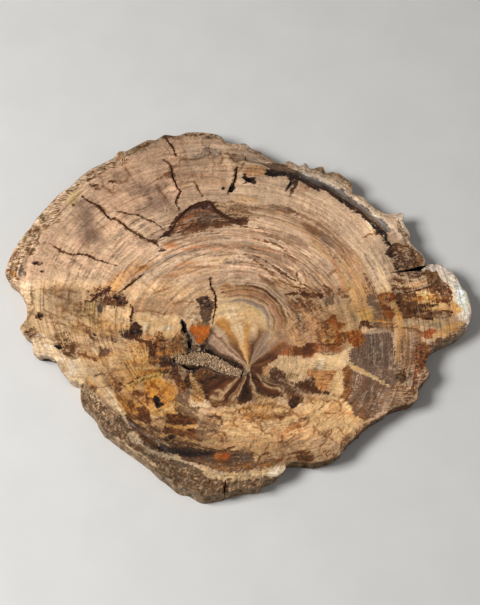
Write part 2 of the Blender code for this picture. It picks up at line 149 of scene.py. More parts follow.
# A crack's width at its ends and at its floor, as shares of its width, and the cutter's overlap
TIP_SHARE = 0.35
FLOOR_SPREAD = 0.3
CLEARANCE = 1.0

# The open crack beside the pith: x, y, half its width, and the share of the width that quartz fills
HOLLOW = [
    (-49, -53, 2.0, 0.9), (-43, -53, 4.8, 0.64), (-36, -54.2, 8.2, 0.56), (-28, -52.8, 7.6, 0.64),
    (-20, -55, 6.6, 0.68), (-12, -59, 6.0, 0.78), (-4, -62.5, 4.8, 0.88), (4, -65.5, 2.6, 0.92),
]
# The hollow's depth, the half width from which it is full, and where its sides meet the floor
HOLLOW_DEPTH = 8.5
FULL_DEPTH_FROM = 6.0
STEEP_SIDE = 0.92
SLOPING_SIDE = 0.5
# Height of the straight upper lip and of the lower one, which leans in
UPPER_LIP, LOWER_LIP, LOWER_SHARE = 1.0, 2.5, 0.9

# Middle, half length, half width, turn in degrees and depth
PITS = [
    (-159, 34, 3.2, 1.8, 10, 1.8), (-154, 26, 1.8, 1.4, 0, 1.5), (-153, -14, 2.6, 2.0, -20, 1.8),
    (-137, -42, 3.0, 1.6, -30, 1.8), (-110, -31, 1.8, 1.2, -50, 1.2), (-93, 1.5, 4.0, 1.5, -15, 1.4),
    (-80, -29, 2.6, 1.8, 30, 1.2), (-41, -24, 1.6, 6.5, 8, 2.6), (-36.5, -40, 1.5, 4.5, 12, 2.6),
    (-22, -45.5, 3.2, 1.6, -15, 2.2), (-60, -90, 1.8, 2.2, 0, 1.4), (-5, 104, 2.2, 3.4, -20, 2.4),
    (-11.5, 104.5, 1.6, 1.6, 0, 1.8), (-60, 45, 3.4, 1.0, 10, 1.5), (10, 113, 3.8, 2.6, 0, 2.4),
    (42, 107, 1.3, 6.0, -30, 1.8), (85, 92, 1.8, 3.0, 30, 1.8), (-49, -118, 3.0, 2.4, 0, 1.8),
]
# The balls that cut the pits: width against the pit's, points round, rings, angle left at a pole
PIT_SWELL, PIT_SIDES, PIT_RINGS, PIT_POLE = 1.1, 18, 11, 0.12
# Grit on the bark's top, ribs down the wall, and how uneven the cuts are: strength, then size
GRIT, GRIT_SIZE = 0.35, 2.2
RIB_SIZE, RIB_LENGTH, WALL_RELIEF = 3.0, 8.0, 0.8
CRACK_WANDER, CRACK_WANDER_SIZE = 0.5, 4.0
CRACK_RAGGED, CRACK_RAGGED_SIZE = 0.35, 2.5
LIP_RAGGED, LIP_RAGGED_SIZE = 0.12, 3.5
PIT_ROUGHNESS = 0.22
# Edges sharper than this stay sharp
SHARP_ANGLE = 40

# The quartz's bed: gap to the stone, how far its top lies below the face, and how much lower the
# near side is; its columns, lumps and least thickness
GAP, BED_BELOW, BED_SLOPE = 0.3, 1.2, 2.4
BED_COLUMNS, BED_LUMPS, BED_LEAST = 12, 0.5, 0.4
# The crystals: how many, their radius, what it is multiplied by at least and how much more at most
QUARTZ_POINTS, QUARTZ_RADIUS, QUARTZ_SMALLEST, QUARTZ_MORE = 620, (0.5, 0.95), 0.7, 0.6
# Their random tilt, lean inwards and reach over the edge
QUARTZ_TILT, QUARTZ_LEAN, QUARTZ_OVERHANG = 0.35, 0.15, 0.2
# Their tips' depth below the face and how much deeper on the near side, height against radius, and
# how far up the shoulder is
TIP_BELOW, TIP_SLOPE = (0.0, 0.9), 1.6
QUARTZ_HEIGHT, QUARTZ_SHOULDER = (2.2, 3.4), 0.6
# Their shade: the bed's, how much darker the clouds are, and the ends of the scale
BED_SHADE, QUARTZ_CLOUD = 0.1, 0.45
QUARTZ_DARK = (0.19, 0.11, 0.055, 1)
QUARTZ_PALE = (0.78, 0.55, 0.34, 1)

# What the painted wood is multiplied by on its grain lines
DEEP_GRAIN = (0.353, 0.252, 0.168, 1)

# The sawn underside
SAWN_DARK = (0.2, 0.12, 0.065, 1)
SAWN_PALE = (0.48, 0.32, 0.2, 1)
SAWN_RUST = (0.3, 0.15, 0.07, 1)
# Its rings a metre, how far they warp and over what size, and its rusty patches
SAWN_RINGS, SAWN_WARP, SAWN_WARP_SIZE = 260.0, 0.03, 0.05
SAWN_PATCH, PATCH_RANGE, PATCH_COVER = 0.03, (0.35, 0.65), 0.6

# The floor, in metres
FLOOR_REACH, FLOOR_HEIGHT = 3.0, -0.0002
CARD_DARK, CARD_PALE, CARD_ROUGHNESS = (0.6, 0.59, 0.57, 1), (0.63, 0.62, 0.6, 1), 0.9
# The camera, in millimetres and degrees
AIM = (2, -2.5, THICKNESS)
VIEW_HEIGHT, VIEW_DISTANCE = 60, 1310
FOCAL_LENGTH, SENSOR = 100, 36
# Name, place, size in metres, power in watts
LIGHTS = [
    ("key", (-1.1, -0.3, 1.25), 0.7, 33),
    ("fill", (1.2, -0.8, 1.6), 1.6, 4),
]
WORLD_LIGHT = 0.17

# The rays that fan out from the pith: direction in degrees from +X and colour, near the pith and
# further out
FAN_HEART = (8.5, -59)
RAYS_NEAR = [
    (168, "maroon"), (158, "umber"), (151, "shadow"), (146, "dull"), (141, "pink"), (136, "dull"),
    (133, "shadow"), (130, "pink"), (127, "brown"), (121, "umber"), (115, "brown"), (109, "honey"),
    (101, "sand"), (96, "gold"), (91, "ochre"), (86, "brown"), (81, "maroon"), (76, "umber"), (70, "dull"),
    (64, "mauve"), (58, "dull"), (52, "mauve"), (46, "dull"), (41, "brown"), (34, "umber"), (24, "maroon"),
    (14, "brown"), (0, "umber"),
]
RAYS_FAR = [
    (160, "shadow"), (154, "umber"), (150, "mauve"), (146, "pink"), (142, "dull"), (138, "pink"),
    (134, "dull"), (132, "brown"), (130, "pink"), (125, "tan"), (121, "ochre"), (118, "gold"),
    (114, "ochre"), (111, "sand"), (104, "cream"), (99, "cream"), (96, "honey"), (92, "gold"), (88, "sand"),
    (84, "cream"), (80, "sand"), (76, "brown"), (72, "brown"), (68, "dull"), (62, "dull"), (57, "tan"),
    (50, "warm"), (44, "dull"), (40, "terracotta"), (35, "brown"), (28, "rust"),
]
RAYS_BELOW = [
    (0, "umber"), (-12, "brown"), (-22, "umber"), (-32, "maroon"), (-38, "dull"), (-42, "shadow"),
    (-46, "pale"), (-50, "brown"), (-56, "maroon"), (-62, "umber"), (-70, "maroon"), (-74, "shadow"),
    (-79, "pale"), (-83, "dull"), (-87, "umber"), (-96, "black"), (-102, "umber"), (-105, "pale"),
    (-109, "dull"), (-112, "brown"), (-115, "pink"), (-118, "umber"), (-126, "maroon"), (-130, "brown"),
    (-133, "tan"), (-137, "pale"), (-140, "brown"), (-147, "maroon"), (-154, "brown"), (-160, "umber"),
    (-170, "black"),
]
# Where the fan shows: outline, softness of its edge, strength
FAN_FIELDS = [
    ([(6, -57), (-8, -51), (-18, -44), (-22, -37), (-19, -30), (-17, -20), (-11, -16), (-4, -21), (3, -22),
      (10, -22), (17, -26), (24, -28), (32, -34), (38, -40), (30, -48), (22, -56), (12, -60)], 2.4, 0.93),
    ([(2, -68), (10, -65), (18, -66), (27, -70), (35, -77), (30, -81), (23, -84), (14, -83), (8, -87),
      (-2, -88), (-12, -88), (-20, -86), (-22, -80), (-20, -72), (-8, -68)], 1.4, 0.86),
]
# The near colours end and the far ones are full at these distances from the heart
NEAR_FAN, FAR_FAN = 19, 34
# How far the rays sway and over what size, and the same below the heart
FAN_SWAY, FAN_SWAY_SIZE = 0.008, 0.005
SWAY_BELOW, SWAY_BELOW_SIZE = 0.02, 0.013
# The rays below the heart give way to those above it between these heights, and have their own tone
FAN_BELOW, FAN_ABOVE = -5, -2
BELOW_TONE = (0.82, 0.71, 0.55, 1)
# Threads in the rays: how many a turn, how many a millimetre, and how dark and light
THREADS_ACROSS, THREADS_ALONG = 90, 0.04
THREAD_LIGHT = (0.76, 1.22)

# Thin veins: loops' size, how far they wander and over what size, half width as a share of a loop
VEIN_LOOP, VEIN_WANDER, VEIN_WANDER_SIZE, VEIN_HALF = 0.012, 0.008, 0.008, 0.1
# Size of the groups that they come in, and where in that noise they show
VEIN_GROUPS, VEIN_SHOWN = 0.014, (0.42, 0.54)
VEIN_TINT = (0.36, 0.22, 0.13, 1)
# Where the veins show: outline, softness of its edge, strength
VEIN_FIELDS = [
    ([(-24, -94), (0, -92), (44, -92), (56, -84), (90, -90), (102, -102), (66, -130), (30, -136), (0, -128),
      (-24, -118)], 5, 0.9),
    ([(-165, 12), (-128, 12), (-120, -4), (-96, -20), (-98, -44), (-112, -50), (-138, -44), (-160, -30)], 6,
      0.85),
    ([(-104, -56), (-84, -52), (-60, -68), (-48, -74), (-46, -94), (-30, -110), (-60, -120), (-90, -96)], 5,
      0.8),
    ([(40, -2), (62, -4), (84, -12), (70, -36), (44, -36)], 4, 0.7),
    ([(-60, 152), (-4, 150), (0, 120), (-20, 112), (-60, 118)], 6, 0.6),
    ([(-128, 112), (-98, 138), (-86, 132), (-90, 106), (-112, 102)], 5, 0.8),
    ([(-178, 30), (-160, 70), (-148, 66), (-158, 30)], 5, 0.7),
    ([(-60, -34), (-48, -34), (-50, -56), (-66, -58), (-70, -44)], 4, 0.9),
    ([(122, 48), (150, 44), (150, 4), (168, 8), (168, -16), (128, -18), (122, 8)], 5, 0.8),
]

# The range that most of a noise lies in
USUAL = (0.3, 0.7)
# Ring lines and rays in the grain: stretch, where they are dark and pale in the noise, how pale
LINE_STRETCH, LINE_DARK, LINE_PALE, LINE_LIFT = (0.62, 0.25, 0.25), (0.52, 0.66), (0.48, 0.34), 0.16
RAY_STRETCH, RAY_DARK, RAY_PALE, RAY_LIFT = (0.05, 3.2, 3.2), (0.52, 0.64), (0.48, 0.36), 0.2
STREAK_LIGHT = (0.84, 1.15)
# Specks: size, where they are dark, darkest and lightest; the grain's strengths between which they come in
SPECK_SIZE, SPECK_DARK, SPECK_LIGHT = 0.0016, (0.56, 0.68), (0.74, 1.24)
CALM_SPECKS = (-0.25, 0.5)
BARK_SPECK_SIZE, BARK_RANGE, BARK_LIGHT = 0.0028, (0.32, 0.68), (0.5, 1.4)
# The edge between the coats: the grain's range, and how far it moves the edge
EDGE_RANGE, EDGE_GRAIN = (0.8, 1.2), 0.42
# Hair cracks: size of the net, half width as a share of it, their groups, where they show, depth
HAIR_NET, HAIR_HALF, HAIR_GROUPS, HAIR_SHOWN, HAIR_DEPTH = 7.0, 0.022, 0.018, (0.55, 0.66), 0.4
# On the bark and on the polished face: roughness, specular level and how much of the relief
ROUGH, SPECULAR, RELIEF = (0.86, 0.3), (0.15, 0.5), (1.0, 0.03)
SHEEN_UNEVEN, SHEEN_SIZE = (-0.05, 0.07), 0.004
BARK_GRIT, BARK_BUMP = 0.0013, 0.0009
STONE_IOR, QUARTZ_IOR = 1.54, 1.55

# The rings that lie close round the dome above the pith: distance from its middle and colour
DOME_MIDDLE = (3, -22)
DOME_REACH = 50
DOME_RINGS = [
    (11, "cream"), (15.5, "sand"), (17.3, "straw"), (19, "tan"), (20.8, "ash"), (22.4, "mauve"),
    (23.6, "tan"), (25, "warm"), (26.2, "umber"), (27.2, "pink"), (28.6, "terracotta"), (30, "dull"),
    (31.2, "brown"), (32.4, "warm"), (34, "maroon"), (35.2, "brown"), (36.4, "pale"), (37.8, "mauve"),
    (39.2, "tan"), (41, "brown"), (42.2, "pale"), (44, "dull"), (46, "tan"), (48, "brown"),
]
DOME_FIELDS = [
    ([(34, -26), (40, -18), (40, -8), (37, 2), (30, 9), (21, 14), (10, 16), (-1, 13), (-9, 9), (-8, 2),
      (-2, -6), (4, -5), (11, -8), (16, -14), (18, -22), (24, -26)], 4, 0.66),
]
# How far the dome's rings sway and over what size, and the threads in them
DOME_SWAY, DOME_SWAY_SIZE = 0.03, 0.016
RINGS_ACROSS, RINGS_ALONG = 1.1, 10

# Painted shade along the cracks, widening their dark lines: width against the crack's, strength
CRACK_SHADE_SPREAD, CRACK_SHADE_STRENGTH = 1.6, 0.82

# The growth rings
PITH = (10, -58)
# Reach of the outermost ring from the pith, by direction in degrees from +X
RING_REACH = [
    (0, 140), (20, 148), (40, 165), (60, 188), (80, 203), (90, 207), (110, 220), (125, 225),
    (140, 219), (155, 209), (165, 190), (180, 162), (195, 140), (210, 124), (225, 113),
    (240, 110), (255, 106), (270, 101), (285, 100), (300, 108), (315, 118), (330, 128), (345, 135),
]
# Length that a whole share of the rings stands for in the noises
RING_SPAN = 200.0
# The inner rings are rounder: how much by the pith, and at least
ROUNDER_INWARD, LEAST_ROUNDING = 0.4, 0.1
# The table of rings: directions, rows, and rows from the pith to the outermost ring
RING_DIRECTIONS, RING_ROWS, ROWS_OUT = 720, 67, 50
# Solving for a ring: first guess of its reach, and how many times it is bettered
FIRST_REACH, GUESSES = 150, 8
# Streaks along the rings: reach that a turn stands for, and length against thickness
TURN_REACH, STREAK_LENGTH = 100, 9

# Usual strengths of the ring lines, the rays and the specks, and usual lightness
GRAIN = (0.35, 0.25, 0.35, 1.0)
# Softness of the edges of the grain fields
GRAIN_SOFTNESS = 7.0

# The palette
PALETTE = {
    "tan": (204, 172, 138), "pale": (214, 183, 150), "dull": (160, 128, 100), "pink": (190, 152, 124),
    "cream": (226, 192, 150), "ivory": (232, 208, 180), "white": (236, 224, 212),
    "warm": (192, 146, 102), "honey": (205, 155, 95), "gold": (202, 142, 68), "ochre": (168, 108, 48),
    "orange": (196, 96, 32), "rust": (150, 78, 36), "terracotta": (178, 112, 70),
    "brown": (122, 76, 42), "umber": (88, 54, 28), "maroon": (66, 34, 20), "black": (22, 12, 8),
    "mauve": (126, 100, 84), "grey_brown": (118, 92, 72), "shadow": (96, 74, 58),
    "olive": (120, 100, 62), "bark": (122, 98, 76), "ash": (150, 134, 116), "slate": (104, 94, 84),
    "stone": (170, 146, 122), "sand": (210, 170, 124), "straw": (200, 170, 118),
}
GROUND, GROUND_SIZE = ["pale", "tan", "pink", "tan", "dull"], 3.5
# Bark colours down the wall, by direction in degrees from +X; the dark ones round the lower right,
# from 280 to 340, are partly painted shade on the side turned from the light
WALL_TONES = [
    (5, ["stone", "ivory", "white"]), (35, ["brown", "stone", "bark"]), (120, ["umber", "bark", "stone"]),
    (190, ["bark", "pale", "stone"]), (206, ["stone", "ivory", "cream"]), (222, ["olive", "stone", "bark"]),
    (262, ["shadow", "stone", "olive"]), (280, ["umber", "olive", "stone"]),
    (300, ["umber", "shadow", "bark"]), (340, ["umber", "grey_brown", "stone"]),
]
# The wall's blots and flecks, wide and tall, how strong they are, and how fully they cover it
WALL_BLOT, WALL_FLECK, WALL_SPREAD = (5, 5, 9), (1.8, 1.8, 3.5), (0.5, 0.35)
WALL_COVER = 0.85
# How ragged a patch's edge is, over what size, and how much more a soft edge is; then how ragged a
# line's width is and how soft its edge
EDGE_RAGGED, EDGE_RAGGED_SIZE, EDGE_RAGGED_SOFT = 0.9, 3.5, 0.5
LINE_RAGGED, LINE_RAGGED_SIZE, LINE_SOFTNESS = 0.35, 2.5, 0.9
# A line's width at its ends as a share of its width midway, and what is added to half its width
LINE_TIP, LINE_MORE = 0.45, 0.15
# Lines weaker than this fade over a share of their width, and the faint ones keep to the pale coat
FIRM_FROM = 0.9
LINE_SPREAD = 0.4
FAINT_BELOW = 0.8
# How much of its colours a patch's mottling runs through, and how much weaker each layer is
MOTTLE_SPREAD = 1.1
MOTTLE_FADE = 0.75
# How far the figure wanders from its drawn place, in broad and in fine waves
WANDER, WANDER_SIZE = 0.9, 9
FINE_WANDER, FINE_WANDER_SIZE = 0.35, 2.2
# Shade over the figure: depth and size of the streaks, then of the bands and rays with their turns
STREAK_DEPTH, STREAK_SIZE = 0.07, 1.3
BAND_DEPTH, BAND_SIZE, BAND_TURNS = 0.1, 1.9, 2.5
# What all colours are multiplied by
TONE = (0.975, 0.96, 0.95)
# Places that are lighter or darker than the figure round them: middle, reach in X and Y, change
LIGHT_SPOTS = [
    (12, 62, 22, 6, 0.16), (25, 48, 18, 6, 0.16), (47, 36, 8, 12, 0.14), (5, 32, 22, 6, 0.08),
    (-45, 56, 26, 5, -0.1), (-95, 75, 16, 12, 0.12), (-80, 42, 24, 14, 0.13), (-125, 30, 8, 20, 0.1),
    (-100, 62, 8, 8, 0.1), (85, 78, 22, 10, 0.05), (60, 92, 20, 6, 0.1), (105, 68, 8, 12, 0.22),
    (92, 30, 6, 24, 0.06), (-10, 124, 14, 16, 0.1), (-52, 132, 6, 14, 0.1), (-52, 105, 8, 10, 0.08),
    (-118, 78, 5, 18, -0.06), (-178, 40, 6, 20, 0.15), (15, 138, 20, 7, -0.16), (66, 118, 20, 6, -0.12),
    (-95, 118, 16, 8, -0.1), (-135, 8, 18, 14, -0.16), (-125, -12, 12, 12, -0.1), (-112, 10, 8, 6, 0.14),
    (-90, -15, 10, 8, 0.14), (-85, -45, 12, 10, 0.12), (-130, -42, 8, 8, 0.1), (-70, 12, 12, 10, -0.08),
    (-35, -38, 12, 12, -0.16), (-10, -68, 26, 14, -0.18), (-62, -62, 14, 8, -0.12), (30, 6, 14, 7, -0.14),
    (62, -2, 12, 8, -0.12), (90, -14, 14, 10, -0.16), (65, -14, 14, 8, -0.08), (28, -32, 12, 8, -0.12),
    (60, -95, 34, 10, 0.12), (50, -115, 12, 6, 0.2), (90, -98, 10, 8, 0.14), (20, -78, 16, 6, -0.14),
    (-45, -122, 30, 9, -0.2), (-85, -105, 16, 10, -0.12), (-70, -128, 14, 8, -0.12),
    (30, -134, 40, 6, -0.14), (-5, -154, 18, 7, 0.2), (-20, -96, 18, 6, 0.08), (148, 6, 10, 6, 0.2),
    (150, 24, 16, 6, -0.16), (120, 8, 8, 14, -0.14), (165, -18, 10, 10, -0.12), (120, -8, 6, 8, -0.1),
    (125, 40, 8, 14, -0.12), (104, -50, 12, 16, -0.05), (0, -110, 28, 10, 0.07), (-60, -78, 12, 9, -0.1),
    (-110, -60, 10, 8, -0.06), (-50, -104, 12, 6, -0.24), (155, -25, 10, 6, -0.16), (140, -70, 6, 10, 0.2),
    (172, 10, 5, 14, 0.1), (70, -54, 16, 5, 0.07), (-135, 14, 8, 8, 0.12), (-160, 2, 8, 12, 0.1),
    (-62, 12, 14, 8, 0.1), (-115, 20, 6, 5, -0.12), (118, 18, 6, 12, 0.16), (134, 70, 8, 14, 0.16),
    (176, 14, 6, 20, 0.1), (55, 122, 16, 5, -0.12), (75, 108, 12, 6, -0.14), (-45, -130, 18, 6, -0.16),
    (50, -135, 16, 5, -0.14), (138, -4, 14, 9, -0.24), (134, 34, 12, 8, -0.24), (157, 12, 9, 7, -0.24),
    (177, 4, 5, 22, 0.12), (164, 26, 8, 5, 0.14), (108, 68, 8, 12, 0.16), (96, 84, 8, 8, 0.14),
    (148, -2, 6, 5, 0.12), (-28, 80, 24, 9, -0.14), (0, -78, 28, 9, -0.1), (98, -86, 12, 12, -0.12),
    (104, -44, 12, 14, -0.06), (-56, -140, 24, 8, -0.06), (46, -20, 16, 14, 0.09), (148, 0, 16, 16, 0.06),
    (-138, 13, 13, 5, 0.17), (147, 0, 6, 6, 0.06), (-134, -28, 18, 16, 0.12), (60, 78, 16, 6, 0.07),
    (-15, -82, 10, 8, -0.1), (0, -140, 26, 4, -0.12), (56, 108, 14, 8, -0.08), (25, 124, 14, 6, -0.08),
    (-96, -8, 8, 6, 0.08), (115, 8, 6, 8, 0.1), (-50, 8, 12, 8, 0.06), (-68, 22, 8, 8, -0.07),
    (-52, 60, 20, 5, -0.06), (-92, -98, 10, 5, 0.08), (-35, -146, 10, 5, 0.12), (92, -96, 12, 8, 0.08),
]
# Where the colour is richer: outline, softness of its edge, how strongly
RICH_FIELDS = [
    ([(-165, 10), (-100, 16), (-20, 12), (60, 16), (112, 14), (166, 16), (166, -30), (118, -26), (92, -30),
      (84, -60), (82, -85), (104, -105), (66, -132), (20, -160), (-50, -165), (-100, -112), (-150, -50)], 8,
      1),
    ([(-80, -28), (-60, -30), (-40, -28), (-38, -50), (-46, -75), (-35, -100), (-30, -130), (-60, -128),
      (-92, -98), (-84, -70)], 7, 2.2),
    ([(62, -2), (100, -6), (112, 8), (156, 6), (170, -24), (130, -26), (100, -26), (96, -42), (66, -40)], 6,
      1.8),
]
# How much further from grey the rich fields are, and what they are multiplied by
RICHER = 0.14
RICH_TONE = (0.99, 0.995, 0.965)
# Flecks of shade: depth, how far up the noise they start and fade in, stretch, size of their groups
FLECK_DEPTH, FLECK_FROM, FLECK_FADE = 0.34, 0.45, 0.5
FLECK_STRETCH, FLECK_GROUPS = (1, 0.5, 0.5), 12
RAY_DEPTH, RAY_LENGTH, RAY_TURNS = 0.05, 14, 70
# Blocks along the rings: how far they are out of place, their thickness, how many a radian
BLOCK_WANDER, BLOCK_THICKNESS, BLOCKS_ROUND = 1.1, 2.6, 26
# Colours darker than this go on the dark coat, if the patch's edge isn't soft
DARK_BELOW = 122
DARK_BLEND = 0.08
SOFT_FROM = 3
# How far a dark patch's colour reaches past its own cover
FRINGE = 2.0
# How fully the painted shade blackens the sunk insides of the cracks, pits and open crack
SUNK_SHADE_DARKNESS = 0.8
# Below the face: depth from which a place is in a crack, over which its painted shade deepens, and
# where the shader's figure ends
SUNK_FROM, SUNK_FADE, FIGURE_DEPTH = 0.15, 1.2, 1
# The wall: how steep it starts and over what it fades, and its reach in from the rim
WALL_STEEP, WALL_FADE, WALL_REACH = 0.75, 0.4, 7
# The polish starts at a share of the bark's band in from the rim, and is full a little further in
POLISH_FROM, POLISH_FADE, CHANNEL_POLISH = 0.75, 0.3, 0.7

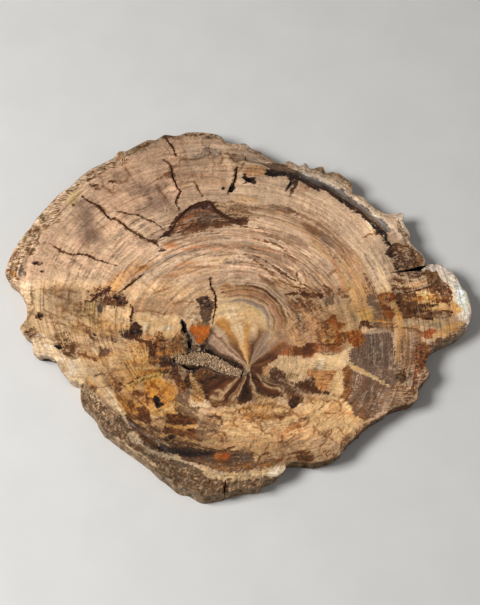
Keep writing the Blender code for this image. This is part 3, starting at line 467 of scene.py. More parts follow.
# Patches of colour on the face, laid in this order: corners, the colours that the mottling runs
# through, whether it runs along the rings or in blots, its size and strength, and the edge's softness
PATCHES = [
    # broad fields
    ([(-185, 20), (-150, 95), (-60, 152), (0, 148), (0, 90), (-60, 62), (-100, 32)],
      ["tan", "pink", "tan", "dull"], "rings", 3, 0.55, 8),
    ([(-112, 122), (-70, 148), (-40, 140), (-50, 90), (-75, 80), (-110, 88)], ["dull", "pink"], "rings", 3,
      0.6, 8),
    ([(0, 122), (60, 110), (118, 62), (120, 10), (104, 30), (80, 70), (40, 90), (0, 92)], ["pale", "tan"],
      "rings", 4, 0.6, 6),
    ([(-165, 15), (-120, 25), (-100, 5), (-120, -40), (-160, -30)], ["pale", "tan", "cream"], "blots", 9,
      0.6, 6),
    ([(-20, 75), (45, 80), (90, 40), (80, 0), (30, 0), (-10, 15), (-60, 20), (-80, 30), (-60, 55)],
      ["tan", "pale", "pink", "dull"], "rings", 2.2, 0.7, 6),
    ([(-105, 30), (-60, 45), (-20, 30), (-20, 5), (-60, 2), (-90, 8)], ["warm", "tan", "pale"], "rings", 2,
      0.6, 5),
    ([(-118, -50), (-84, -48), (-60, -62), (-66, -98), (-92, -92), (-116, -72)],
      ["sand", "honey", "warm", "cream"], "blots", 6, 0.8, 4),
    ([(28, -90), (48, -94), (56, -85), (84, -84), (90, -96), (98, -104), (88, -118), (66, -136), (20, -136),
      (-22, -126), (-24, -100)], ["sand", "cream", "sand", "warm"], "blots", 7, 0.9, 3),
    ([(-78, -100), (-30, -128), (40, -134), (60, -124), (20, -118), (-20, -118)], ["warm", "dull", "sand"],
      "rings", 1.6, 0.6, 3),
    ([(36, -8), (80, -14), (84, -44), (40, -42), (28, -24)], ["pink", "dull", "warm"], "blots", 4, 0.75, 4),
    # left rim
    ([(-186, 18), (-176, 54), (-156, 87), (-147, 99), (-120, 126), (-104, 137), (-97, 144), (-84, 149),
      (-78, 145), (-88, 137), (-93, 128), (-108, 121), (-118, 112), (-128, 108), (-132, 99), (-141, 90),
      (-143, 74), (-157, 62), (-158, 50), (-164, 40), (-170, 38), (-171, 22), (-176, 17)],
      ["umber", "ivory", "warm", "olive", "ivory", "pale", "brown"], "blots", 3.2, 0.88, 1.5),
    ([(-137, 89), (-130, 90), (-129, 103), (-136, 99)], ["straw"], "blots", 5, 0.8, 1.5),
    ([(-170, 15), (-162, 17), (-148, -4), (-156, -14), (-168, 4)], ["ivory", "cream"], "blots", 4, 0.6, 3),
    ([(-171, 31), (-173, 25), (-172, 22.5), (-166, 22), (-167.5, 26)], ["slate"], "blots", 4, 0.8, 0.7),
    ([(-167, 46), (-162, 47), (-160.5, 44), (-163, 41), (-167, 41.5)], ["olive", "umber"], "blots", 2, 0.8,
      0.8),
    # the two mauve shadows
    ([(-129, 93), (-118, 92), (-112, 62), (-103, 59), (-104, 54), (-125, 53), (-131, 72)], ["mauve"],
      "blots", 8, 0.5, 4),
    ([(-123, 80), (-118, 80), (-116, 63), (-112, 58), (-122, 57)], ["shadow"], "blots", 5, 0.5, 4),
    ([(-73, 101), (-60, 101), (-56, 95), (-58, 88), (-66, 82), (-73, 88)], ["mauve"], "blots", 6, 0.5, 3.5),
    ([(-96, 106), (-66, 106), (-60, 101), (-70, 99), (-95, 100)], ["grey_brown"], "blots", 5, 0.4, 3),
    # top rim
    ([(-98, 146), (-66, 156), (-60, 161), (-50, 160), (-41, 163), (-25, 163), (-12, 158), (-8, 151),
      (-17, 153), (-42, 156), (-50, 153), (-58, 154), (-95, 136)], ["umber", "olive", "dull", "stone"],
      "blots", 3, 0.8, 1.2),
    ([(-48, 142), (-38, 147), (-20, 148), (-8, 145), (-9, 139), (-30, 139), (-40, 136)], ["pale", "stone"],
      "blots", 5, 0.6, 2),
    ([(-30, 140), (-27, 145), (-21, 146), (-18, 142), (-12, 141), (-13, 138), (-20, 136), (-25, 138),
      (-29, 136), (-37, 135), (-38, 138)], ["ash", "stone", "slate"], "blots", 3, 0.85, 1),
    ([(-50, 120), (-30, 122), (-8, 118), (-8, 110), (-25, 108), (-48, 108)], ["warm", "pink"], "rings", 2,
      0.5, 4),
    ([(-61, 117), (-56, 122), (-54, 117), (-57, 113)], ["brown"], "rings", 2, 0.65, 1.2),
    ([(-56, 123), (-53, 122), (-50.5, 116), (-52, 112), (-56, 117)], ["slate", "umber"], "blots", 3, 0.8,
      0.8),
    ([(-9, 119), (-3, 120), (-2, 114), (-6, 111), (-10, 114)], ["pale"], "blots", 4, 0.6, 1.5),
    ([(-7, 138), (0, 138), (3, 134), (0, 131), (-4, 132)], ["mauve", "dull"], "blots", 3, 0.6, 0.8),
    ([(-8, 148), (0, 147), (0, 143), (-7, 143)], ["terracotta", "stone"], "blots", 2, 0.6, 1),
    ([(-107, 112.5), (-93, 112.5), (-92, 110), (-98, 109), (-105, 109.5)], ["umber"], "blots", 3, 0.75,
      0.8),
    ([(-120, 108), (-116, 110), (-111, 107), (-111, 103), (-114, 103)], ["maroon", "umber"], "blots", 3,
      0.75, 1),
    # dark triangle
    ([(-58, 59), (-53, 64), (-51, 70), (-38, 87), (-26, 93), (-22, 92), (-15, 81), (-5, 75), (6, 74),
      (8, 70), (-20, 68)], ["umber", "brown", "maroon", "brown"], "rings", 2.4, 0.93, 0.8),
    ([(-53, 68), (-49, 70), (-44, 66), (-50, 62)], ["pink", "terracotta"], "rings", 2, 0.6, 1.2),
    ([(-47, 69), (-45, 76), (-40, 82), (-34, 82), (-33, 74), (-37, 69)],
      ["rust", "terracotta", "brown", "umber"], "rings", 1.4, 0.8, 1.2),
    ([(-33, 71), (-34, 79), (-24, 85), (-15, 79), (-6, 73), (-15, 70)], ["grey_brown", "shadow", "umber"],
      "rings", 1.6, 0.85, 1),
    ([(-38, 86), (-26, 93), (-22, 92), (-20, 86), (-30, 84)], ["maroon", "maroon", "mauve"], "blots", 3,
      0.9, 0.8),
    ([(-20, 91), (12, 88), (6, 84), (-2, 84), (-10, 79), (-17, 84)], ["warm", "brown", "straw", "pink"],
      "rings", 1.3, 0.72, 1),
    ([(-9, 84), (3, 84), (14, 80), (8, 75), (-4, 76)], ["brown", "grey_brown", "honey"], "rings", 1.6, 0.75,
      1),
    ([(8, 80), (18, 80), (18, 74), (9, 74)], ["straw", "olive"], "rings", 2, 0.5, 1.5),
    ([(20, 79), (27, 79), (27, 62), (21, 60)], ["pale", "pink"], "blots", 4, 0.5, 2),
    # rings to the right of it
    ([(28, 80), (46, 78), (52, 70), (46, 62), (30, 64)], ["dull", "tan"], "rings", 2, 0.45, 3),
    ([(55, 60), (62, 56), (70, 44), (74, 36), (68, 38), (60, 48)], ["straw", "sand"], "rings", 1.6, 0.6, 2),
    ([(52, 40), (70, 26), (66, 14), (56, 16), (48, 30)], ["pink", "tan", "pale"], "rings", 1.5, 0.6, 3),
    ([(78, 40), (92, 34), (96, 12), (92, -8), (84, -6), (84, 12), (78, 24)], ["sand", "honey"], "rings", 2,
      0.6, 4),
    ([(92, 46), (101, 28), (104, 4), (98, -14), (91, -12), (94, 10), (88, 34)], ["warm", "honey"], "rings",
      2, 0.6, 3),
    ([(98, 24), (104, 22), (109, 8), (110, -4), (101, -4)], ["terracotta", "brown", "mauve"], "rings", 2,
      0.55, 2),
    ([(106, 42), (118, 36), (121, 20), (120, 7), (111, 6), (109, 20), (103, 36)], ["cream", "pale"],
      "rings", 3, 0.65, 2.5),
    ([(0, 13), (14, 12), (26, 4), (30, -4), (14, -1), (4, 3), (-12, 4), (-12, 14)],
      ["warm", "honey", "terracotta", "brown"], "rings", 1.2, 0.7, 1.5),
    ([(6, 10), (20, 8), (27, 1), (22, -2), (10, 3)], ["terracotta", "rust"], "rings", 1.5, 0.55, 1.5),
    ([(38, 6), (61, 10), (66, 13), (72, 11), (77, 7), (74, 4), (58, 0), (49, 0)],
      ["umber", "brown", "pink", "maroon", "dull"], "rings", 1.5, 0.8, 2),
    ([(67, 4), (73, 4), (75, -4), (68, -5)], ["slate", "mauve"], "blots", 3, 0.65, 1.2),
    ([(76, 7), (84, 8), (90, 3), (89, -3), (77, -2)], ["mauve", "pink"], "blots", 4, 0.6, 2),
    ([(36, 0), (60, -2), (66, -8), (50, -12), (38, -6)], ["mauve", "brown", "terracotta"], "rings", 2, 0.65,
      2),
    # outer lip and crystals of the upper right
    ([(-8, 144), (8, 143), (29, 130), (46, 126), (48, 122), (52, 127), (52, 134), (40, 135), (30, 134),
      (12, 148), (0, 151), (-9, 150)], ["ivory", "stone", "pale", "dull"], "blots", 2.5, 0.9, 0.8),
    ([(54, 128), (58, 121), (70, 112), (79, 110), (88, 102), (121, 66), (130, 52), (142, 50), (138, 66),
      (136, 84), (122, 84), (110, 90), (96, 103), (94, 113), (80, 125), (60, 130)],
      ["pale", "ivory", "dull", "stone"], "blots", 3, 0.92, 0.8),
    ([(60, 126), (70, 129), (82, 122), (94, 111), (90, 106), (80, 113), (60, 120)],
      ["dull", "olive", "tan", "brown"], "blots", 2.4, 0.8, 1.5),
    ([(128, 72), (134, 72), (138, 60), (131, 58)], ["straw", "olive", "stone"], "blots", 2.5, 0.7, 1.2),
    ([(51, 121), (51, 129), (55, 132), (59, 127), (58, 121), (55, 118)], ["white", "stone", "white"],
      "blots", 1.8, 0.95, 0.6),
    # the channel's shelf, with black and maroon painted shadow under its inner lip
    ([(50, 118), (70, 110), (92, 93), (91, 90), (68, 103), (51, 110)], ["black", "maroon", "black"],
      "blots", 2, 0.95, 0.7),
    ([(22, 123), (41, 122), (42, 119), (38, 116), (31, 117), (28, 115), (23, 117)],
      ["black", "maroon", "black"], "blots", 2.5, 0.96, 0.7),
    ([(40, 122), (49, 121), (50, 112), (47, 107), (43, 108), (41, 112)], ["maroon", "black", "umber"],
      "blots", 2, 0.92, 0.8),
    ([(57, 112), (60, 107), (64, 104), (71, 104), (72, 109)], ["black", "maroon"], "blots", 2.5, 0.95, 0.8),
    ([(5, 118), (6, 126), (22, 125), (23, 117), (12, 116)], ["terracotta", "honey", "warm"], "rings", 2,
      0.8, 0.7),
    # painted shade in the pit
    ([(5, 119), (8, 115), (15, 115), (16, 110), (14, 108), (10, 110), (5, 109)], ["black", "maroon"],
      "blots", 2.5, 0.94, 0.7),
    ([(16, 117), (26, 116), (25, 109), (16, 110)], ["pink"], "blots", 3, 0.5, 1),
    ([(50.5, 107), (54, 110), (58.5, 107), (58, 103), (54, 99.5), (51, 102)], ["terracotta", "pink"],
      "blots", 2, 0.8, 1),
    ([(0, 98), (15, 96), (20, 92), (0, 91)], ["honey", "warm"], "rings", 1.3, 0.5, 1.5),
    ([(110, 73), (112, 62), (117, 63), (121, 53), (119, 50), (114, 58), (108, 62)],
      ["umber", "shadow", "warm"], "blots", 2.5, 0.75, 1),
    ([(117, 44), (121, 50), (125, 49), (126, 42), (122, 38), (119, 38)], ["umber", "black"], "blots", 2.5,
      0.9, 0.9),
    ([(124, 52), (131, 52), (134, 48), (128, 45.5), (124, 46)], ["brown", "umber"], "blots", 2.5, 0.8, 1),
    ([(132, 52), (140, 49), (148, 40), (148, 28), (140, 30), (138, 38), (131, 46)],
      ["grey_brown", "shadow", "tan", "umber", "dull", "sand"], "rings", 1.3, 0.85, 1),
    ([(122, 34), (127, 33), (131, 37), (136, 38), (138, 31), (147, 31), (146, 25), (128, 20)],
      ["black", "umber", "sand", "maroon", "stone", "black"], "blots", 1.5, 0.9, 0.9),
    # right knob
    ([(121, 22), (150, 26), (152, 8), (122, 6)], ["dull", "umber", "tan", "brown"], "blots", 2.5, 0.75,
      1.5),
    ([(144, 28), (152, 31), (158, 36), (165, 33), (173, 26), (182, 8), (186, -8), (181, -24), (173, -19),
      (167, 2), (169, 10), (163, 14), (156, 25)], ["white", "ivory", "white", "ivory", "white"], "blots", 3,
      0.97, 0.9),
    ([(149, 26), (156, 25), (159, 18), (154, 14), (149, 17)], ["olive", "brown", "ochre"], "blots", 2.5,
      0.88, 0.8),
    ([(149, 13), (160, 15), (164, 10), (164, 3), (152, 3)], ["umber", "mauve", "maroon", "brown"], "blots",
      2.5, 0.92, 0.8),
    ([(163.5, 9), (169, 9), (169.5, 1), (164, 1)], ["terracotta", "rust", "ivory"], "blots", 2.5, 0.8, 0.8),
    ([(124, 5), (141, 5), (142, -2), (150, -3), (153, -8), (152, -17), (141, -19), (128, -19)],
      ["umber", "maroon", "black", "umber"], "blots", 2.5, 0.94, 1),
    ([(141, -1), (150, -2), (150, -10), (142, -9)], ["ochre", "brown"], "rings", 2, 0.6, 1),
    ([(150, 3), (165, 2), (169, -3), (166, -8), (152, -8), (149, -4)], ["ochre", "umber", "brown"], "blots",
      2.5, 0.88, 0.8),
    ([(153, -9), (166, -9), (167, -14), (158, -17), (152, -14)], ["umber", "maroon", "brown"], "blots", 2.5,
      0.9, 0.8),
    ([(156, -13), (163, -12), (163, -18), (157, -18)], ["ash", "stone", "slate"], "blots", 2, 0.8, 0.8),
    ([(166, -1), (171, -2), (174, -10), (169, -13), (166, -8)], ["gold", "honey"], "blots", 2.5, 0.8, 1),
    ([(109, 5), (124, 5), (124, 1), (119, -2), (119, -8), (122, -12), (121, -18), (114, -18)],
      ["ochre", "umber", "rust", "maroon"], "rings", 1.8, 0.9, 1),
    ([(103, 5), (108, 3), (112, -10), (113, -27), (106, -25), (106, -8), (101, -3)],
      ["mauve", "slate", "brown"], "rings", 2.5, 0.8, 1.2),
    ([(112, -18), (121, -18), (121, -29), (112, -28)], ["mauve", "brown", "dull"], "rings", 2.2, 0.8, 1.2),
    ([(95, -7), (104, -9), (105, -18), (96, -18)], ["honey", "straw"], "blots", 3, 0.85, 1),
    ([(94, -20), (102, -19), (105, -26), (98, -25), (94, -28)], ["maroon", "umber"], "blots", 2.5, 0.88, 1),
    ([(124, -24), (142, -26), (141, -42), (136, -60), (128, -66), (119, -75), (121, -50), (125, -34)],
      ["dull", "umber", "warm", "grey_brown", "dull"], "rings", 1.6, 0.82, 1.5),
    ([(126, -19), (140, -18), (156, -21), (158, -25), (148, -25), (140, -23), (128, -24)],
      ["stone", "ash", "pale"], "blots", 2, 0.8, 0.8),
    ([(141, -31), (145, -28), (152, -27), (154, -31), (149, -36), (144, -34)], ["rust", "orange"], "blots",
      2.5, 0.88, 0.9),
    ([(152, -31), (160, -24), (176, -18), (173, -25), (158, -35), (150, -37)],
      ["honey", "cream", "gold", "stone"], "blots", 2.5, 0.88, 0.9),
    ([(149, -38), (164, -32), (172, -26), (177, -19), (182, -24), (172, -35), (162, -42), (150, -46)],
      ["grey_brown", "umber", "stone", "shadow"], "blots", 2.2, 0.9, 0.8),
    ([(138, -40), (148, -38), (148, -46), (144, -58), (140, -62), (134, -80), (131, -88), (126, -86),
      (136, -60), (134, -50)], ["rust", "umber", "terracotta", "black", "ochre"], "blots", 1.8, 0.9, 0.9),
    ([(144, -57), (150, -62), (146, -73), (140, -78), (139, -88), (134, -84), (136, -72)],
      ["stone", "grey_brown", "pink", "shadow"], "blots", 2, 0.9, 0.8),
    ([(121, -66), (130, -64), (131, -69), (124, -73), (120, -70)], ["umber", "shadow"], "blots", 2.5, 0.75,
      1.2),
    ([(118, -74), (130, -73), (131, -88), (124, -92), (112, -96), (112, -84)],
      ["dull", "umber", "sand", "grey_brown", "olive"], "blots", 1.8, 0.85, 1.2),
    # mauve fields
    ([(96, -32), (108, -30), (119, -31), (120, -60), (118, -76), (112, -75), (103, -69), (96, -62),
      (87, -58), (84, -50), (87, -42), (93, -40)], ["mauve", "shadow", "mauve", "grey_brown"], "rings", 2.6,
      0.92, 1),
    ([(99, -60), (109, -58), (110, -68), (101, -66)], ["mauve", "pink"], "rings", 2, 0.5, 2),
    ([(82, -58), (88, -60), (112, -76), (119, -78), (115, -86), (99, -104), (90, -101), (84, -92),
      (79, -80)], ["mauve", "grey_brown", "shadow", "brown"], "rings", 2.2, 0.92, 1),
    ([(81, -58), (86, -62), (84, -76), (80, -88), (78, -80)], ["brown", "ochre"], "rings", 2, 0.6, 1.2),
    # rust and cream blocks
    ([(61, -24), (72, -21), (75, -32), (74, -39), (66, -40), (60, -38)],
      ["honey", "warm", "brown", "terracotta"], "blots", 3, 0.75, 1.2),
    ([(62, -21), (70, -19), (73, -14), (78, -14), (78, -20), (85, -22), (85, -25), (79, -27), (79, -40),
      (76, -47), (73, -42), (75, -30), (72, -22)], ["rust", "ochre", "umber", "rust"], "rings", 1.8, 0.92,
      0.9),
    ([(79, -29), (85, -30), (85, -37), (79, -38)], ["umber", "brown"], "blots", 2.5, 0.8, 0.9),
    ([(85, -28), (92, -26), (96, -30), (95, -40), (88, -42), (85, -37)],
      ["ochre", "rust", "umber", "ochre"], "rings", 2, 0.93, 0.8),
    ([(27, -43), (33, -40), (50, -42), (60, -38), (61, -45), (59, -50), (50, -51), (36, -49), (28, -50)],
      ["terracotta", "rust", "terracotta", "brown"], "rings", 2.2, 0.88, 0.9),
    ([(49, -43), (55, -38), (60, -38), (59, -46), (51, -49)], ["umber", "maroon"], "blots", 2.5, 0.9, 0.9),
    ([(43, -41), (47, -42), (48, -50), (44, -50)], ["umber"], "blots", 2, 0.75, 0.8),
    ([(59, -39), (80, -40), (80, -46), (60, -46)], ["terracotta", "rust", "pink"], "rings", 2, 0.7, 1),
    ([(29, -53), (38, -50), (58, -54), (60, -61), (44, -67), (38, -62), (31, -60)],
      ["cream", "tan", "cream"], "blots", 5, 0.88, 1.2),
    ([(59, -52), (60, -47), (70, -49), (79, -48), (86, -43), (85, -54), (81, -60), (60, -62)],
      ["cream", "cream", "ivory"], "blots", 6, 0.96, 0.9),
    ([(34, -72), (39, -68), (50, -68), (52, -71), (47, -76), (38, -76)], ["cream", "tan"], "blots", 4, 0.75,
      1),
    ([(53, -62), (71, -61), (76, -63), (68, -79), (60, -80), (57, -75), (59, -70), (53, -66)],
      ["ochre", "terracotta", "honey", "terracotta"], "rings", 1.6, 0.93, 0.8),
    ([(76, -64), (80, -64), (82, -71), (79, -79), (76, -87), (67, -86), (71, -73)],
      ["cream", "sand", "cream"], "rings", 2, 0.93, 0.8),
    ([(46, -72), (58, -68), (58, -74), (62, -81), (44, -77)], ["maroon", "umber", "black"], "blots", 2.2,
      0.92, 0.9),
    # the dome above the pith
    ([(-18, 2), (-8, 4), (16, -8), (26, -20), (28, -32), (22, -42), (10, -59), (2, -55), (-6, -46),
      (-13, -34), (-18, -20)], ["cream", "sand", "cream"], "blots", 8, 0.9, 1.5),
    ([(-17, 0), (-4, 0), (0, -14), (-8, -18), (-16, -14)], ["cream", "ivory"], "blots", 5, 0.6, 3),
    ([(11, -56), (16, -44), (18, -32), (24, -30), (28, -36)], ["brown", "umber", "dull"], "blots", 3, 0.6,
      1.5),
    ([(12, -57), (30, -37), (40, -40), (20, -57)], ["mauve", "dull", "mauve"], "blots", 4, 0.75, 1.2),
    # left of the dome
    ([(-84, -1), (-50, 1), (-42, -4), (-40, -16), (-82, -10)], ["pink", "dull", "warm"], "rings", 2, 0.7,
      1.5),
    ([(-98, -12), (-84, -10), (-83, -20), (-88, -24), (-100, -22)], ["sand", "cream"], "blots", 5, 0.7, 2),
    ([(-84, -12), (-74, -12), (-60, -15), (-50, -12), (-44, -20), (-44, -30), (-56, -33), (-60, -28),
      (-72, -27), (-77, -21), (-82, -18)], ["cream", "sand", "ivory"], "blots", 6, 0.85, 1.5),
    ([(-40, 2), (-31, 3), (-29, -8), (-30, -22), (-36, -23), (-40, -14)],
      ["pink", "tan", "ivory", "terracotta"], "blots", 3.5, 0.75, 1.2),
    ([(-31, 2), (-23, 3), (-19, -2), (-21, -18), (-27, -19), (-29, -12), (-28, -6), (-31, -3)],
      ["umber", "mauve", "black", "maroon"], "blots", 2, 0.93, 0.9),
    ([(-28, -8), (-22, -9), (-22, -19), (-27, -20)], ["grey_brown", "shadow"], "blots", 3, 0.6, 1),
    ([(-36, -20), (-22, -20), (-22, -25), (-35, -26)], ["olive", "dull"], "blots", 3, 0.7, 1),
    ([(-48, -30), (-42, -29), (-36, -31), (-34, -42), (-38, -50), (-50, -50), (-52, -40)],
      ["olive", "brown", "dull", "umber"], "blots", 3, 0.8, 1),
    ([(-22, -28), (-17, -24), (-8, -48), (-14, -51), (-20, -47), (-26, -40)],
      ["mauve", "umber", "slate", "black", "umber"], "blots", 2, 0.88, 1),
    ([(-36, -26), (-23, -24), (-22, -30), (-24, -36), (-29, -39), (-33, -34)],
      ["orange", "ochre", "orange"], "blots", 3, 0.97, 0.6),
    ([(-63, -28), (-57, -30), (-57, -40), (-50, -42), (-50, -52), (-60, -54)],
      ["ochre", "umber", "honey", "maroon", "brown"], "blots", 2, 0.88, 1),
    ([(-74, -31), (-66, -30), (-63, -33), (-68, -36), (-74, -34)], ["pink", "terracotta"], "blots", 3, 0.7,
      0.9),
    ([(-70, -37), (-64, -36), (-60, -42), (-61, -52), (-64, -58), (-68, -53)],
      ["maroon", "umber", "black", "brown"], "blots", 2, 0.92, 1.2),
    ([(-92, -28), (-86, -24), (-84, -26), (-80, -20), (-76, -21), (-73, -26), (-75, -33), (-79, -35),
      (-86, -35)], ["maroon", "umber", "black", "umber"], "blots", 1.8, 0.95, 0.9),
    # rust and holes at the left
    ([(-104, 8), (-98, 22), (-88, 28), (-68, 33), (-68, 28), (-80, 22), (-98, 6)],
      ["honey", "terracotta", "warm"], "rings", 2, 0.65, 2),
    ([(-80, 27.5), (-76, 31), (-69, 32.5), (-71, 29), (-78, 26)], ["ochre", "gold"], "blots", 3, 0.8, 1),
    ([(-119, 2), (-116, 10), (-103, 13), (-98, 11), (-84, -2), (-88, -6), (-103, -8), (-113, -2),
      (-117, -12), (-122, -10)], ["maroon", "sand", "warm", "brown", "tan", "pink", "umber"], "blots", 1.8,
      0.84, 1.4),
    ([(-108, 3), (-101, 7), (-97, 3), (-103, 0)], ["pink", "mauve"], "blots", 3, 0.7, 1),
    ([(-116.5, -4), (-111, -3.5), (-110.5, -10), (-114, -13), (-117, -10)], ["straw"], "blots", 3, 0.9,
      0.8),
    ([(-109, -4), (-103, -2), (-101, -8), (-106, -13), (-110, -10)], ["slate", "mauve"], "blots", 3, 0.8,
      1),
    ([(-104, 0), (-96, 4), (-88, 2), (-84, -3), (-99, -9), (-103, -5)], ["black", "umber", "brown"],
      "blots", 1.6, 0.92, 1),
    ([(-142, 8), (-128, 8), (-124, -2), (-126, -14), (-138, -12), (-143, -4)], ["dull", "tan", "brown"],
      "blots", 5, 0.5, 3),
    ([(-124, -2), (-119, -2), (-118, -16), (-121, -18), (-126, -12)], ["dull", "umber", "warm"], "blots",
      1.6, 0.7, 1.5),
    ([(-128, -20), (-105, -12), (-95, -12), (-86, -22), (-84, -28), (-112, -34), (-124, -30)],
      ["honey", "sand", "warm"], "blots", 4, 0.7, 3),
    ([(-154, -10), (-150, -12), (-150, -17), (-154, -18), (-157, -14)], ["brown", "dull"], "blots", 2, 0.7,
      0.8),
    ([(-140, -30), (-128, -29), (-124, -40), (-124, -50), (-132, -49), (-141, -36)],
      ["dull", "olive", "sand", "umber"], "blots", 2.5, 0.7, 1.5),
    ([(-117, -26), (-113, -26.5), (-107, -32), (-108.5, -36.5), (-112, -34)], ["umber", "mauve", "maroon"],
      "blots", 2, 0.9, 0.8),
    ([(-124, -38), (-112, -38), (-104, -43), (-104, -52), (-116, -52), (-124, -46)],
      ["brown", "warm", "dull"], "blots", 3, 0.6, 1.5),
    ([(-107.5, -42), (-101, -41.5), (-98.5, -45), (-99.5, -49.5), (-106, -49)], ["mauve", "umber"], "blots",
      2.5, 0.85, 0.7),
    ([(-112, -41), (-107, -42), (-107, -49), (-110, -47)], ["ivory", "cream"], "blots", 2.5, 0.85, 0.8),
    # cream rim and knob at the lower left
    ([(-160, -33), (-150, -31), (-136, -47), (-128, -52), (-120, -52), (-116, -62), (-115, -70),
      (-116, -82), (-121, -84), (-123, -72), (-130, -68), (-140, -54), (-160, -49)],
      ["ivory", "cream", "ivory", "white"], "blots", 4, 0.92, 1.2),
    ([(-170, -24), (-164, -17), (-158, -22), (-156, -30), (-160, -34), (-168, -32)],
      ["stone", "straw", "olive"], "blots", 3, 0.75, 1),
    ([(-165, -29), (-157, -27), (-154.5, -31), (-159, -34), (-164, -33)], ["brown", "umber", "dull"],
      "blots", 2, 0.75, 0.8),
    # golden patch and its surroundings
    ([(-98, -70), (-88, -66), (-80, -76), (-74, -90), (-94, -84)], ["warm", "dull", "honey"], "blots", 3,
      0.6, 1.5),
    ([(-86, -78), (-76, -71), (-56, -61), (-54, -66), (-78, -80)], ["straw", "honey"], "rings", 2, 0.8,
      1.2),
    ([(-71, -74), (-66, -70), (-58, -70), (-50, -73), (-46, -79), (-46, -87), (-52, -92), (-58, -94),
      (-66, -90), (-71, -83)], ["ochre", "gold", "honey", "gold", "ochre"], "blots", 3, 0.95, 1),
    ([(-98, -82), (-90, -84), (-78, -90), (-71, -97), (-76, -106), (-86, -102), (-94, -92)],
      ["ochre", "gold", "umber", "honey", "brown"], "rings", 1.8, 0.85, 1.2),
    ([(-93, -72), (-88, -73), (-87, -79), (-91, -81)], ["umber"], "blots", 2, 0.85, 0.9),
    ([(-80, -82), (-70, -79), (-66, -90), (-72, -92)], ["brown", "warm", "umber"], "blots", 2.5, 0.7, 1),
    ([(-69, -91), (-60, -95), (-44, -90), (-46, -98), (-52, -101), (-58, -101), (-67, -98)],
      ["sand", "honey", "cream"], "blots", 4, 0.9, 1),
    ([(-45, -80), (-36, -79), (-34, -88), (-29, -91), (-28, -100), (-33, -106), (-40, -99), (-48, -97)],
      ["mauve", "grey_brown", "dull"], "blots", 3.5, 0.85, 1.2),
    ([(-35, -86), (-24, -85), (-21, -90), (-24, -93), (-34, -93)], ["cream", "ivory"], "blots", 3, 0.85, 1),
    ([(-74, -95), (-69, -93), (-63, -105), (-68, -108), (-74, -102)], ["umber", "maroon", "brown"], "blots",
      2.5, 0.9, 0.9),
    ([(-54, -101), (-48, -99), (-40, -100), (-32, -102), (-29, -106), (-36, -109), (-46, -109),
      (-53, -107)], ["umber", "maroon", "ochre", "umber"], "rings", 1.6, 0.95, 0.9),
    ([(-74, -108), (-60, -107), (-54, -112), (-56, -124), (-66, -124)], ["dull", "pink", "grey_brown"],
      "rings", 2.5, 0.75, 1.5),
    ([(-48, -113), (-32, -114), (-24, -119), (-32, -126), (-46, -125), (-50, -118)],
      ["umber", "ochre", "mauve", "maroon"], "rings", 1.6, 0.88, 1),
    ([(-56, -114), (-50, -113), (-48, -118), (-48.5, -124), (-52, -122)], ["black", "umber"], "blots", 2,
      0.93, 0.8),
    ([(-45, -118), (-40, -119.5), (-39.5, -125), (-44, -124)], ["maroon", "umber"], "blots", 2, 0.85, 0.9),
    ([(-28, -104), (-16, -104), (-14, -114), (-28, -114)], ["grey_brown", "dull", "sand"], "blots", 5, 0.6,
      2),
    ([(-58, -124), (-20, -127), (-8, -130), (4, -129), (12, -132), (10, -139), (-32, -140), (-46, -134)],
      ["umber", "shadow", "maroon", "slate", "brown"], "rings", 1.8, 0.92, 1.2),
    ([(-16.5, -132), (-11, -131), (-10.5, -136), (-16, -136.5)], ["ochre", "orange"], "blots", 2, 0.85,
      0.8),
    ([(-10.5, -132), (-5, -133), (-6, -137), (-11, -137.5)], ["orange", "rust"], "blots", 2, 0.8, 0.8),
    ([(3, -132), (9, -132), (9, -138), (4, -138)], ["mauve", "slate"], "blots", 2.5, 0.7, 1),
    # the crystals, and the dark field under them with pale rays across it
    ([(-60, -50), (-44, -49), (-37, -46), (-31, -45), (-16, -50), (-2, -57), (10, -65), (6, -70), (-4, -70),
      (-28, -62), (-40, -60), (-52, -56)], ["stone", "ash", "slate", "stone"], "blots", 1.2, 0.92, 0.8),
    ([(-60, -55), (-48, -56), (-40, -60), (-36, -78), (-44, -76), (-50, -70), (-56, -68)],
      ["umber", "maroon", "brown", "black", "mauve"], "blots", 1.8, 0.92, 0.9),
    ([(-40, -58), (-28, -58), (4, -68), (12, -66), (30, -76), (32, -84), (26, -86), (14, -82), (8, -90),
      (-8, -90), (-18, -93), (-25, -84), (-27, -76), (-38, -76)],
      ["umber", "black", "brown", "maroon", "umber"], "blots", 2.4, 0.96, 1),
    ([(-36, -72), (-28, -74), (-25, -87), (-34, -88), (-34, -80)], ["honey", "ochre", "sand"], "blots", 3,
      0.88, 1),
    ([(-32, -62), (-22, -62), (-17, -65), (-22, -69), (-31, -69)], ["ochre", "umber", "honey"], "blots", 2,
      0.75, 0.8),
    ([(12, -58), (26, -49), (31, -48), (29, -54), (22, -59), (20, -66), (12, -69), (9, -62)],
      ["umber", "maroon", "brown"], "blots", 3, 0.92, 0.9),
    ([(19, -59), (26, -60), (22, -67), (19, -66)], ["warm", "terracotta"], "blots", 3, 0.6, 1),
    ([(24, -62), (28, -60), (36, -64), (37, -68), (33, -72), (26, -69)], ["umber", "shadow", "maroon"],
      "blots", 2.5, 0.9, 0.9),
    ([(29, -70), (40, -74), (50, -80), (50, -88), (42, -90), (30, -80)],
      ["umber", "brown", "dull", "maroon"], "blots", 2, 0.88, 1),
    ([(14, -83), (20, -80), (27, -84), (28, -92), (20, -98), (8, -100), (0, -99), (4, -92), (12, -90)],
      ["brown", "sand", "ochre", "cream", "umber"], "rings", 1.5, 0.88, 1.2),
    ([(40, -96), (41, -91), (43, -87.5), (47, -86), (45, -92)], ["black", "umber"], "blots", 2, 0.93, 0.7),
    # lower right
    ([(25, -98), (41, -97), (36, -102), (27, -103)], ["olive", "brown", "sand"], "blots", 2.5, 0.7, 1),
